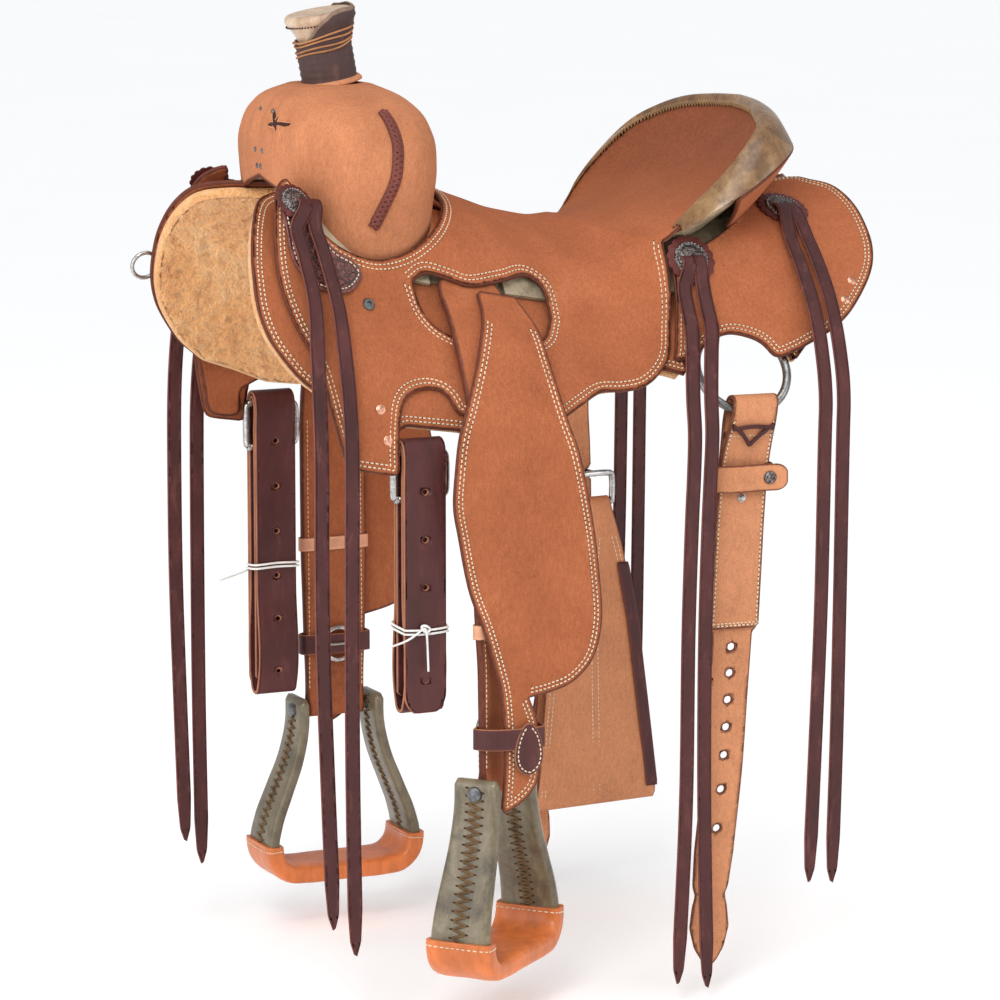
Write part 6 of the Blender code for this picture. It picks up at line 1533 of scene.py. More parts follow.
def binding_rings(q):
    """Sections of the binding: a lip on the dish, over the rim and down the back, back up inside."""
    rim, normal, inward, back = rim_frame(q)
    deep, width = (col(v) for v in binding_depth(q))
    lip = BINDING_LIP * (0.35 + 0.65 * width)
    front = rim + normal * BINDING_CLEAR
    over = rim - inward * BINDING_CLEAR
    bulge = 0.006 * width
    thick = BINDING_THICK
    depth = np.linalg.norm(dish_point(q, 1.0) - dish_point(q, 0.0), axis=-1)
    u = 1 - lip[..., 0] / depth
    edge = dish_point(q, u) + dish_normal(q, u) * BINDING_CLEAR
    return np.stack([edge, edge + normal * thick * 0.6, front - inward * 0.001 + normal * thick * 0.7,
                     over - inward * thick + back * 0.004,
                     over - inward * (thick + bulge * 0.6) + back * deep * 0.5,
                     over - inward * (thick * 0.6) + back * deep, over + back * deep,
                     over - inward * bulge * 0.3 + back * deep * 0.5, over, front], 1)


def rounded(rings, count):
    """Closed rings made finer: each side becomes count points of a Catmull-Rom curve."""
    before, a, b, after = (np.roll(rings, k, axis=1)[:, :, None] for k in (1, 0, -1, -2))
    t = (np.arange(count) / count)[None, None, :, None]
    fine = 0.5 * (2 * a + (b - before) * t + (2 * before - 5 * a + 4 * b - after) * t**2
                  + (3 * a - before - 3 * b + after) * t**3)
    return fine.reshape(len(rings), -1, 3)


def build_cantle():
    """Rawhide binding laced along its lip, and the leather behind the board."""
    q = np.linspace(-0.93, 0.93, 160)
    make_piece("cantle_binding", loft(rounded(binding_rings(q), 5)), "rawhide_rim", "saddle",
               "rawhide")
    q = np.linspace(-0.84, 0.84, 118)
    depth = np.linalg.norm(dish_point(q, 1.0) - dish_point(q, 0.0), axis=-1)
    lip = BINDING_LIP * (0.35 + 0.65 * binding_depth(q)[1])

    def at(place, below, lift):
        u = 1 - (lip + below) / depth
        return dish_point(place, u) + dish_normal(place, u) * lift

    half = (q[1] - q[0]) / 2
    normal = dish_normal(q, 0.95)
    outer = at(q, -0.0030, BINDING_CLEAR + 0.0026)
    inner = at(q + half, 0.0034, 0.0012)
    laces = join([threads(outer, inner, normal, 0.0008, 1.0),
                  threads(inner[:-1], outer[1:], normal[1:], 0.0008, 1.0)])
    make_piece("cantle_lacing", laces, "lacing", "saddle", recalc=False)
    reach = 0.72

    def back_place(a, b, h):
        q = a / 0.20
        rim, _, inward, back = rim_frame(q)
        top = rim - inward * BINDING_CLEAR + back * col(binding_depth(q)[0] + 0.0010)
        x = spline(CANTLE_FOOT_Q, CANTLE_FOOT_X, np.abs(q))
        s = spline(CANTLE_FOOT_Q, CANTLE_FOOT_S, np.abs(q))
        foot = on_back(x, np.copysign(s, q), jockey_lift(x, s) + 0.0015)
        step = rim_frame(q + 0.01)[0] - rim_frame(q - 0.01)[0]
        away = unit(np.cross(foot - top, step))
        away = away * np.where(away[..., :1] < 0, -1, 1)
        v = col(b / 0.10)
        return top * (1 - v) + foot * v + ALONG * 0.012 * v * (1 - v) + away * col(h)

    outline = np.array([(-reach * 0.2, 0.0), (reach * 0.2, 0.0), (reach * 0.2, 0.1), (-reach * 0.2, 0.1)])
    make_piece("cantle_back", panel([outline], back_place, 0.003, 0.005, radius=0.001, inset=0.0016),
               "roughout",
               "saddle", "roughout")


def finish_tree():
    """Finishes of the tree's own parts, which stay as they are packed."""
    for name, finish in (("tree_fork", "tree"), ("tree_cantle", "tree"), ("tree_bar_left", "tree"),
                         ("tree_bar_right", "tree"), ("horn_post", "dark_steel")):
        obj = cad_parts[name]
        for k in range(max(1, len(obj.material_slots))):
            if not obj.material_slots:
                obj.data.materials.append(finish_of(finish))
            obj.material_slots[k].material = finish_of(finish)


# Stirrup leathers, fenders and stirrups

def leg_across(s):
    share = col(smoothstep((0.260 - np.abs(s)) / 0.080))
    return unit(across_back(LEG_X, s) * share + ALONG * (1 - share))


def leg_point(x, z, side, lift):
    """Point of the leg's hang: down the back form's section at the leg, then straight down."""
    s = side * drop_length(LEG_X, z)
    along = leg_across(s)
    return on_back(LEG_X, s, lift) + along * col((x - LEG_X) / along[..., 0])


def leg_axes(label, side, z):
    """Middle, across and outward directions of the leather, turned and drawn in down its fall."""
    share = smoothstep((TURN_TOP_Z - np.asarray(z, float)) / (TURN_TOP_Z - TURN_FOOT_Z))
    angle = TURN[label] * share
    middle = leg_point(LEG_X, z, side, STRAP_LIFT - INWARD[label] * share)
    middle = middle + ALONG * col((STIRRUP_X - LEG_X) * share)
    return (middle, stack(np.cos(angle), -side * np.sin(angle), 0),
            stack(np.sin(angle), side * np.cos(angle), 0))


def build_leathers():
    """Stirrup leathers from the bars to the bolts, and the bights that lie over the bars."""
    half = STRAP_THICK / 2
    for label, side in SIDES:
        stations = []
        for s in (0.1275, 0.110, 0.092, 0.074, 0.056, 0.042):
            lift = bar_lift(LEG_X, s) - GROOVE_DEPTH + 0.0014 + half
            stations.append((on_back(LEG_X, side * s, lift), across_back(LEG_X, side * s),
                             STRAP_WIDTH / 2 - 0.004,
                             normal_on_back(LEG_X, side * s), half))
        low = bar_lift(LEG_X, 0.034) - GROOVE_DEPTH + 0.0018 + half
        for s, lift, lean in ((0.033, low, 0.25), (0.0275, low - 0.002, 0.65), (0.0255, low - 0.007, 1.0),
                              (0.0255, low - 0.018, 1.0)):
            up = normal_on_back(LEG_X, side * s) * (1 - lean) + np.array([0, -side, 0]) * lean
            stations.append((on_back(LEG_X, side * s, lift), across_back(LEG_X, side * s),
                             STRAP_WIDTH / 2 - 0.004,
                             up, half))
        make_piece("strap_bight_" + label, strap(stations, 0.005), "russet", "saddle",
                   "russet")
        stations = [(on_back(LEG_X, side * s, lift), leg_across(side * s), w, normal_on_back(LEG_X, side * s),
                     t)
                    for s, lift, t, w in LEATHER_TOP]
        for z, w in ((-0.150, 0.038), (-0.190, 0.038), (-0.225, 0.038), (-0.260, 0.038), (-0.300, 0.038),
                     (-0.340, 0.037), (-0.380, 0.036), (-0.440, FOOT_HALF), (-0.450, FOOT_HALF)):
            middle, across, outward = leg_axes(label, side, z)
            stations.append((middle, across, w, outward, STRAP_THICK))
        for above, thick in ((0.0085, 0.0068), (0.004, 0.0088), (0.0, 0.0092), (-0.0045, 0.0080),
                             (-0.0078, 0.0048), (-0.0092, 0.0012)):
            middle, across, outward = leg_axes(label, side, BOLT_Z + above)
            stations.append((middle, across, FOOT_HALF, outward, thick))
        make_piece("stirrup_leather_" + label, strap(stations, 0.005), "flap",
                   "leg_" + label, "burgundy")
        z = np.arange(-0.150, -0.445, -0.0052)
        rows = []
        for away in (-0.031, 0.031):
            for face in (1, -1):
                middle, across, outward = leg_axes(label, side, z)
                foot, _, _ = leg_axes(label, side, z - 0.0038)
                lift = outward * face * (STRAP_THICK + 0.0002)
                rows.append(threads(middle + across * away + lift, foot + across * away + lift,
                                    outward * face,
                                    0.0006))
        make_piece("stirrup_leather_stitches_" + label, join(rows), "thread", "leg_" + label, recalc=False)


def fender_outline(label):
    points = outline_of(list(FENDER_LEFT_EDGE), [FENDER_LEFT_EDGE[-1], *FENDER_RIGHT_EDGE], list(FENDER_LOBE),
                        [FENDER_LOBE[-1], FENDER_LEFT_EDGE[0]])
    shift = FENDER_SHIFT[label]
    z = points[:, 1]
    points[:, 0] += shift * smoothstep((0.020 - z) / 0.090) * smoothstep((z + 0.378) / 0.050)
    return points


def fender_place(side):
    def place(x, z, h):
        lift = spline(FENDER_LIFT_S, FENDER_LIFT, np.minimum(drop_length(LEG_X, z), 0.300))
        return leg_point(x, z, side, lift) + normal_on_back(LEG_X, side * drop_length(LEG_X, z)) * col(h)
    return place


def build_fenders():
    """Fenders: flat patterns in x and height over the hanging leathers."""
    for label, side in SIDES:
        outline = fender_outline(label)
        place = fender_place(side)
        bow = lambda x, z, d: 0.0005 * ripple(x, z, 0.06, 11) * smoothstep(d / 0.010)
        make_piece("fender_" + label, panel([outline], place, FENDER_THICK, 0.004, relief=bow), "roughout",
                   "leg_" + label, "roughout")
        sew("fender_" + label, [outline], place, FENDER_THICK, (0.0055, 0.0095), "leg_" + label,
            lambda x, z: z < -0.010)
        if side < 0:
            tab = outline_of([(-0.076, -0.399), (-0.068, -0.411), (-0.064, -0.430), (-0.068, -0.445),
                              (-0.080, -0.452), (-0.092, -0.445), (-0.096, -0.430), (-0.092, -0.411),
                              (-0.084, -0.399), (-0.076, -0.399)], step=0.003)
            over = lambda x, z, h: place(x, z, h + FENDER_THICK + 0.0042)
            make_piece("hobble_tab", panel([tab], over, 0.003, 0.003), "burgundy", "leg_left")
            sew("hobble_tab", [tab], over, 0.003, (0.0035,), "leg_left")


def hull(points):
    """Convex outline of points in plan, in order."""
    ordered = sorted(points)

    def half(sequence):
        chain = []
        for p in sequence:
            while len(chain) > 1 and ((chain[-1][0] - chain[-2][0]) * (p[1] - chain[-2][1])
                                      - (chain[-1][1] - chain[-2][1]) * (p[0] - chain[-2][0])) <= 0:
                chain.pop()
            chain.append(p)
        return chain[:-1]
    return half(ordered) + half(ordered[::-1])


def build_hobbles():
    """Hobble straps round leather and fender, with a pale keeper and a round buckle on the inner face."""
    for label, side in SIDES:
        z = HOBBLE_Z[label]
        middle, across, outward = leg_axes(label, side, z)
        corners = [middle + across * a + outward * d for a in (-0.0365, 0.0365) for d in (-0.004, 0.004)]
        place = fender_place(side)
        corners += [place(np.array([x]), np.array([z]), np.array([FENDER_THICK]))[0]
                    for x in (-0.109, -0.063)]
        plan = hull([(x + 0.0026 * math.cos(a), y + 0.0026 * math.sin(a)) for x, y, _ in corners
                     for a in np.linspace(0, math.tau, 12, endpoint=False)])
        loop = np.array([(x, y, z) for x, y in plan])
        centre = loop.mean(0)
        way = unit(np.roll(loop, -1, 0) - np.roll(loop, 1, 0))
        out = np.cross(way, UP)
        out *= np.where(((loop - centre) * out).sum(1, keepdims=True) < 0, -1, 1)
        stations = [(p, UP, HOBBLE_HALF_HEIGHT, o, 0.0015) for p, o in zip(loop, out)]
        make_piece("hobble_strap_" + label, strap(stations, 0.004, True), "burgundy", "leg_" + label,
                   "burgundy")
        face = middle - outward * 0.0116
        a = np.linspace(0, math.tau, 48, endpoint=False)
        ring = face + across * col(0.018 * np.cos(a)) + UP * col(0.018 * np.sin(a))
        tongue = np.array([face - across * 0.018, face - outward * 0.0030,
                           face + across * 0.0185 - outward * 0.0010])
        make_piece("hobble_buckle_" + label, join([tube(ring, 0.0028, True, 14),
                                                   tube(run(tongue, 0.003), 0.0017)]),
                   "steel", "leg_" + label, "steel")
        low = z + 0.110
        centre, over, out = leg_axes(label, side, low)
        stations = []
        for a in np.linspace(0, math.tau, 33)[:-1]:
            c, s = math.cos(a), math.sin(a)
            size = (abs(c)**6 + abs(s)**6)**(-1 / 6)
            stations.append((centre + over * 0.0395 * c * size + out * 0.0055 * s * size, UP, 0.0075,
                             over * c * 0.15 + out * s, 0.0011))
        make_piece("leather_keeper_" + label, strap(stations, 0.003, True), "keeper_loop", "leg_" + label)


def bow_stations(label, side):
    """Stations of the bow: middle, way through its wall, half depth."""
    centre, across, outward = leg_axes(label, side, BOLT_Z)
    line = np.array([(-a, z) for a, z in BOW] + [(a, z) for a, z in BOW[::-1]])
    steps = np.concatenate([line[1:2] - line[:1], line[2:] - line[:-2], line[-1:] - line[-2:-1]])
    through = unit(across * col(steps[:, 1]) - UP * col(steps[:, 0]))
    share = smoothstep(line[:, 1] / BOW[-1][1])
    depth = STIRRUP_TOP_DEPTH + (STIRRUP_FOOT_DEPTH - STIRRUP_TOP_DEPTH) * share
    middle = centre + across * col(line[:, 0]) + UP * col(line[:, 1] + STIRRUP_ABOVE_BOLT)
    return middle, through, depth / 2, outward


def bow_table(label, side, step=0.006):
    """The bow's stations laid closer together by cubic curves."""
    middle, through, half, outward = bow_stations(label, side)
    table = resample(np.concatenate([middle, through, half[:, None]], 1), step)
    return table[:, :3], unit(table[:, 3:6]), table[:, 6], outward


def build_stirrups():
    """Rawhide bows with laced seams, a sewn leather tread on each, and the bolts."""
    for label, side in SIDES:
        body = "stirrup_swing_" + label
        middle, through, half, outward = bow_stations(label, side)
        bow = strap([(m, outward, d, t, STIRRUP_WALL / 2) for m, t, d in zip(middle, through, half)], 0.006,
                    corner=0.95)
        make_piece("stirrup_" + label, bow, "rawhide", body, "rawhide")
        middle, through, half, outward = bow_table(label, side)
        length = lengths_along(middle)
        total = length[-1]
        line = np.arange(0.008, total - 0.008, 0.0085)
        line = line[(line < total * 0.5 - 0.085) | (line > total * 0.5 + 0.085)]

        def on(where, across, lift):
            m = np.stack([np.interp(where, length, middle[:, k]) for k in range(3)], -1)
            t = unit(np.stack([np.interp(where, length, through[:, k]) for k in range(3)], -1))
            return m + outward * across + t * (STIRRUP_WALL / 2 + lift), t

        laces = []
        holes = []
        for face in (1, -1):
            spread = 0.0085 if face > 0 else 0.0065
            left, up = on(line, -spread, 0.0)
            right, _ = on(line + 0.0042, spread, 0.0)
            back, _ = on(line + 0.0085, -spread, 0.0)
            if face < 0:
                at_right, at_back = (on(line + step, 0, 0)[1] for step in (0.0042, 0.0085))
                left, right, back = (p - 2 * u * STIRRUP_WALL / 2 for p, u in
                                     ((left, up), (right, at_right), (back, at_back)))
                up = -up
            laces += [threads(left, right, up, 0.0014, 0.7), threads(right, back, up, 0.0014, 0.7)]
            # dark flat ovals at each lace's entry: painted shade of the lace holes
            for p in (left, right):
                holes.append(threads(p - up * 0.0002 + UP * 0.0012, p - up * 0.0002 - UP * 0.0012, up, 0.0023,
                                     0.0,
                                     8, 0.25))
        make_piece("stirrup_lacing_" + label, join(laces), "dark_lacing", body, recalc=False)
        make_piece("stirrup_lace_holes_" + label, join(holes), "hole", body, recalc=False)
        build_tread(label, side, body)
        build_bolt(label, side, body)


def build_tread(label, side, body):
    """Leather wrapped round the bow's foot: rounded sections inside and outside it, sewn along the bottom."""
    middle, through, half, outward = bow_table(label, side, 0.005)
    first = np.linalg.norm(middle - bow_stations(label, side)[0][5], axis=1).argmin()
    last = len(middle) - 1 - first
    a = np.linspace(0, math.tau, 40, endpoint=False)
    c, s = np.cos(a), np.sin(a)
    size = (np.abs(c)**5 + np.abs(s)**5)**(-1 / 5)
    rings = {}
    for wall, spare in (("outer", 0.0003 + TREAD_THICK), ("inner", 0.0003)):
        swell = 0.0012 if wall == "outer" else 0.0
        wide = (STIRRUP_WALL / 2 + spare + swell * np.abs(s)) * c * size
        t = through[first:last + 1, None] * wide[None, :, None]
        d = outward * ((half[first:last + 1, None] + spare) * (s * size)[None])[..., None]
        rings[wall] = middle[first:last + 1, None] + t + d
    shell = np.concatenate([rings["outer"], rings["inner"][::-1]])
    edge = np.full(shell.shape[:2], 0.02)
    edge[0] = edge[len(rings["outer"]) - 1] = 0.0
    make_piece("stirrup_tread_" + label, loft(shell, True, edge), "russet", body, "russet",
               smooth=60)
    rows = []
    for which in (first + 1, last - 1):
        ring = middle[which] + through[which] * col((STIRRUP_WALL / 2 + 0.0046) * c * size)
        ring = ring + outward * col((half[which] + 0.0039) * s * size)
        rows.append(threads(ring, ring * 0.35 + np.roll(ring, -1, 0) * 0.65, ring - middle[which], 0.0007))
    make_piece("stirrup_tread_stitches_" + label, join(rows), "thread", body, recalc=False)


def build_bolt(label, side, body):
    centre, across, _ = leg_axes(label, side, BOLT_Z)
    half = BOW[0][0] + STIRRUP_WALL / 2 + 0.0003
    r = BOLT_RADIUS
    profile = [(0, half + 0.0040), (r, half + 0.0036), (r + 0.0024, half + 0.0022), (r + 0.003, half),
               (r, half), (r, -half), (r + 0.003, -half), (r + 0.0024, -half - 0.0022), (r, -half - 0.0036),
               (0, -half - 0.0040)]
    make_piece("stirrup_bolt_" + label, turned(profile, centre, across, UP, 32), "dark_steel", body,
               "dark_steel", smooth=35)


# Front rigging

def build_front_rigging():
    """Front dees and their latigos, wound as one strap in two laps and punched for the tongue."""
    for label, side in SIDES:
        body = "dee_" + label
        top = DEE_TOP_Z[label]
        foot = top - DEE_HEIGHT
        plane = on_back(DEE_POST_X, side * drop_length(DEE_POST_X, top), -DEE_SINK)
        back = DEE_POST_X + DEE_SPAN
        ring = [(DEE_POST_X, top - 0.006), (DEE_POST_X + 0.002, top - 0.002), (DEE_POST_X + 0.006, top),
                (back - 0.010, top), (back - 0.003, top - 0.003), (back, top - 0.010),
                (back, foot + 0.010), (back - 0.003, foot + 0.003), (back - 0.010, foot),
                (DEE_POST_X + 0.006, foot), (DEE_POST_X + 0.002, foot + 0.002), (DEE_POST_X, foot + 0.006)]
        rod = tube(run([(x, plane[1], z) for x, z in ring], 0.002, True), DEE_ROD, True, 14)
        make_piece("front_dee_" + label, rod, "steel", body, "steel")
        middle_x = (DEE_POST_X + back) / 2
        inner = LATIGO_INNER
        outer = LATIGO_INNER + LATIGO_PITCH
        low = LATIGO_FOOT_Z[label]
        path = [(-inner, low + 0.016), (-inner, low + 0.120), (-inner, top - 0.030), (-inner, top)]
        path += [(-inner * math.cos(a), top + inner * math.sin(a)) for a in np.radians((45, 90, 135))]
        path += [(inner, top), (inner, top - 0.030), (inner, low + 0.120), (inner, low + 0.010)]
        turn = (inner + outer) / 2
        shift = (inner - outer) / 2
        path += [(shift + turn * math.cos(a), low + 0.010 - turn * math.sin(a))
                 for a in np.radians((45, 90, 135))]
        path += [(-outer, low + 0.010), (-outer, low + 0.120), (-outer, top - 0.030), (-outer, top)]
        path += [(-outer * math.cos(a), top + outer * math.sin(a)) for a in np.radians((36, 72, 108, 144))]
        path += [(outer, top), (outer, top - 0.030), (outer, low + 0.120), (outer, low)]
        table = np.array(path)
        along = np.gradient(table, axis=0)
        through = unit(np.stack([0 * along[:, 0], along[:, 1], -side * along[:, 0]], -1))
        middle = stack(middle_x, plane[1] + side * table[:, 0], table[:, 1])
        if through[-1][1] * side < 0:
            through = -through
        place, length = path_place([(m, ALONG, t) for m, t in zip(middle, through)], STRAP_THICK / 2)

        def half_width(b):
            tip = np.clip((b - (length - 0.020)) / 0.020, 0, 1)
            return LATIGO_WIDTH / 2 * np.sqrt(np.maximum(1 - 0.72 * tip**2, 0.02))

        loops = [strip_outline(length, half_width)]
        for drop in LATIGO_HOLES[label]:
            z = top - 0.028 - drop
            if z > low + 0.010:
                loops.append(hole_at(0.0, length - (z - low), 0.0030))
                if side > 0:
                    loops.append(hole_at(0.0, length - (top - low) - math.pi * outer - (top - z), 0.0030))
        make_piece("latigo_" + label, panel(loops, place, STRAP_THICK, STRAP_CELL), "burgundy", body,
                   "burgundy")
        build_tie(label, side, body, middle_x, plane[1] + side * (outer + 0.002))


def build_tie(label, side, body, x, y):
    """White tie twice round the latigo, its ends hanging from a knot."""
    z = -0.298 if side < 0 else -0.300
    front = y + side * 0.0016
    back = y - side * 0.0290
    half = LATIGO_WIDTH / 2 + 0.0014
    turns = []
    for k in range(2):
        level = z - 0.0040 * k
        loop = [(x - half, front - side * 0.004, level), (x - half + 0.004, front, level - 0.001),
                (x, front + side * 0.0004, level - 0.002), (x + half - 0.004, front, level - 0.001),
                (x + half, front - side * 0.004, level), (x + half, back, level + 0.003),
                (x, back - side * 0.001, level + 0.004), (x - half, back, level + 0.003)]
        turns.append(tube(run(loop, 0.003, True), 0.0012, True, 8))
    for far_x, far_z, bend in ((-0.052, -0.018, 0.010), (0.004, -0.046, 0.004)):
        end = [(x - 0.004, front + side * 0.0020, z),
               (x - 0.004 + far_x * 0.4, front + side * 0.0060, z - bend),
               (x - 0.004 + far_x, front + side * 0.0050, z + far_z)]
        turns.append(tube(run(end, 0.003), 0.0011, sides=8))
    knot = [(x - 0.006, front + side * 0.0016, z + 0.002), (x - 0.002, front + side * 0.0034, z - 0.004),
            (x + 0.003, front + side * 0.0020, z - 0.001), (x - 0.002, front + side * 0.0036, z + 0.003)]
    turns.append(tube(run(knot, 0.002, True), 0.0014, True, 8))
    make_piece("latigo_tie_" + label, join(turns), "tie", body)


# Rear rigging

def ring_frame(side):
    level = normal_on_back(RING_X, side * RING_PLANE_S)
    out = unit(level * 0.5 + true_normal(RING_X, side * RING_PLANE_S) * 0.5)
    down = unit(-UP + out * out[2])
    return on_back(RING_X, side * RING_TOP_S, -RING_TOP_SINK) + down * RING_RADIUS, down, out


def rear_axes(side):
    _, down, out = ring_frame(side)
    across = unit(np.cross(out, down))
    across = -across if across[0] < 0 else across
    return across, unit(np.array([out[0], out[1], 0.0]))


def ring_foot(side):
    centre, down, _ = ring_frame(side)
    return centre + down * RING_RADIUS


def rear_point(side, x, z, offset=0.0):
    across, outward = rear_axes(side)
    foot = ring_foot(side)
    point = foot + across * ((x - foot[0]) / across[0]) + outward * (offset - BILLET_INSET)
    return np.array([point[0], point[1], z])


def billet_middle(label, side, z):
    path = BILLET_PATHS[label]
    return rear_point(side, float(spline([-p for p, _ in path], [v for _, v in path], -z)), z)


def build_rings():
    """Rear rings, caught at the top under the leather and free in their cut-outs."""
    for label, side in SIDES:
        centre, down, _ = ring_frame(side)
        across = rear_axes(side)[0]
        a = np.linspace(0, math.tau, 96, endpoint=False)
        points = centre + down * col(RING_RADIUS * np.cos(a)) + across * col(RING_RADIUS * np.sin(a))
        make_piece("rear_ring_" + label, tube(points, RING_ROD, True, 18), "ring_steel", "saddle",
                   "dark_steel")


def build_billets():
    """Billets: one strap up in front, round the ring and down behind, sewn where doubled, then punched."""
    for label, side in SIDES:
        across, outward = rear_axes(side)
        axis = ring_foot(side)[2] + BILLET_AXIS_RISE
        up = [(0.002, BILLET_DOUBLE_Z), (0.002, -0.265), (0.002, -0.200), (0.002, axis - 0.055),
              (0.006, axis - 0.030),
              (0.010, axis - 0.012), (0.010, axis + 0.004), (0.0085, axis + 0.0092), (0.005, axis + 0.0116),
              (0.0, axis + 0.0122)]
        down = [(-d, z) for d, z in up[::-1][1:]]
        down += [(-0.002, z) for z in (-0.400, -0.470, -0.560, -0.600, -0.640, -0.681)]
        path = up + down
        points = np.array([billet_middle(label, side, z) + outward * d for d, z in path])
        flat = np.array(path)
        step = np.gradient(flat, axis=0)
        through = unit(outward * col(step[:, 1]) - UP * col(step[:, 0]))
        place, length = path_place([(p, across, t) for p, t in zip(points, through)], STRAP_THICK / 2)
        b = np.linspace(0, length, 1400)
        heights = place(0 * b, b, 0 * b + 0.002)[:, 2]
        fold = heights.argmax()
        table_z = (0.050, 0.100, 0.150, 0.325, 0.330, 0.400, 0.560, 0.596, 0.606, 0.618, 0.640, 0.662, 0.676,
                   0.681)
        widths = (0.0245, 0.0250, 0.0270, 0.0275, 0.0225, 0.0220, 0.0220, 0.0200, 0.0165, 0.0195, 0.0220,
                  0.0165, 0.0080, 0.0030)
        half = np.interp(-heights, table_z, widths)

        def half_width(at):
            return np.interp(at, b, half)

        def at_height(z):
            return float(np.interp(-z, -heights[fold:], b[fold:]))

        loops = [strip_outline(length, half_width)]
        loops += [hole_at(0.0, at_height(z), BILLET_HOLE) for z in BILLET_HOLE_Z]
        if side > 0:
            spot = at_height(CINCH_BUCKLE_TOP_Z)
            front = float(np.interp(CINCH_BUCKLE_TOP_Z, heights[:fold], b[:fold]))
            shift = ((rear_point(side, CINCH_X, CINCH_BUCKLE_TOP_Z)
                      - billet_middle(label, side, CINCH_BUCKLE_TOP_Z)) @ across)
            loops += [hole_at(shift, spot, BILLET_HOLE), hole_at(shift, front, BILLET_HOLE)]
        body = "billet_" + label
        make_piece("rear_billet_" + label, panel(loops, place, STRAP_THICK, STRAP_CELL), "light_tan", body,
                   "light_tan")
        sew("rear_billet_" + label, loops[:1], place, STRAP_THICK, (0.0036,), body,
            lambda a, at: at < b[fold] - 0.030)
        edge_line = np.linspace(-0.024, 0.024, 12)
        for name, spot in (("end", 0.0060), ("fold", b[fold] - 0.046)):
            s = place(edge_line, 0 * edge_line + spot, 0 * edge_line + STRAP_THICK + 0.0002)
            e = place(edge_line + 0.0028, 0 * edge_line + spot, 0 * edge_line + STRAP_THICK + 0.0002)
            ups = np.broadcast_to(outward, s.shape)
            make_piece("rear_billet_%s_%s_stitches" % (label, name), threads(s, e, ups, 0.0006), "thread",
                       body,
                       recalc=False)
        build_knot(label, place, b[fold] - 0.040, body)


def build_knot(label, place, low, body):
    """Dark lace knotted in a V on the billet below the ring."""
    lift = STRAP_THICK + 0.0016
    arms = []
    for path in ([(-0.0225, 0.006), (-0.010, -0.004), (0.0, -0.016)],
                 [(0.0225, 0.006), (0.010, -0.004), (0.0, -0.016)],
                 [(-0.0225, 0.002), (0.0, 0.0045), (0.0225, 0.002)]):
        flat = run(path + [path[-1]], 0.003)
        flat = np.concatenate([flat, [path[-1]]])
        keep = np.concatenate([[True], np.linalg.norm(np.diff(flat, axis=0), axis=1) > 1e-5])
        flat = flat[keep]
        bulge = 0.0012 * np.sin(np.linspace(0, math.pi, len(flat)))
        arms.append(tube(place(flat[:, 0], low + flat[:, 1], lift + bulge), 0.0021, sides=10))
    make_piece("billet_knot_" + label, join(arms), "strings", body)


def build_billet_keeper():
    """Keeper folded round the near billet, its flap held by a snap."""
    across, outward = rear_axes(-1)
    middle = billet_middle("left", -1, (KEEPER_TOP_Z + KEEPER_FOOT_Z) / 2)
    half = 0.0285
    near = STRAP_THICK + 0.0024
    path = np.array([(0.046, near + 0.0050), (half + 0.004, near + 0.0046), (half - 0.006, near + 0.0040),
                     (-half + 0.004, near + 0.0040), (-half - 0.004, near + 0.0010), (-half - 0.0055, 0.0),
                     (-half - 0.004, -near), (-half + 0.002, -near - 0.0012), (half - 0.004, -near - 0.0012),
                     (half + 0.0022, -near + 0.0006), (half + 0.0032, 0.0), (half + 0.0010, near - 0.0002),
                     (half - 0.010, near)])
    step = np.gradient(path, axis=0)
    along = across * col(step[:, 0]) + outward * col(step[:, 1])
    through = np.cross(along, UP)
    through = through * (1 if through[2] @ outward > 0 else -1)
    middle = middle + across * col(path[:, 0]) + outward * col(path[:, 1])
    place, length = path_place([(m, UP, t) for m, t in zip(middle, through)], 0.0012)
    half_height = (KEEPER_TOP_Z - KEEPER_FOOT_Z) / 2

    def half_width(b):
        return half_height * np.sqrt(np.clip(1 - 0.75 * np.clip(1 - b / 0.013, 0, 1)**2, 0.05, 1))

    make_piece("billet_keeper", panel([strip_outline(length, half_width)], place, 0.0024, (0.003, 0.0025),
                                      inset=0.0010), "light_tan", "billet_left", "light_tan")
    zero = np.zeros(1)
    foot = place(zero, zero + 0.020, zero + 0.0024)[0]
    up = place(zero, zero + 0.020, zero + 0.004)[0] - foot
    snap = turned([(0, 0.0030), (0.0035, 0.0028), (0.0062, 0.0018), (0.0070, 0.0004), (0.0070, -0.0004),
                   (0, -0.0004)], foot, up, steps=32)
    make_piece("billet_keeper_snap", snap, "antique", "billet_left", smooth=40)
    top, out = billet_middle("left", -1, -0.189), rear_axes(-1)[1]
    stud = turned([(0, 0.0042), (0.0024, 0.0038), (0.0034, 0.0026), (0.0020, 0.0014), (0.0045, 0.0004),
                   (0.0045, -0.0004), (0, -0.0004)], top + out * STRAP_THICK, out, steps=24)
    make_piece("billet_stud", stud, "steel", "billet_left", smooth=35)


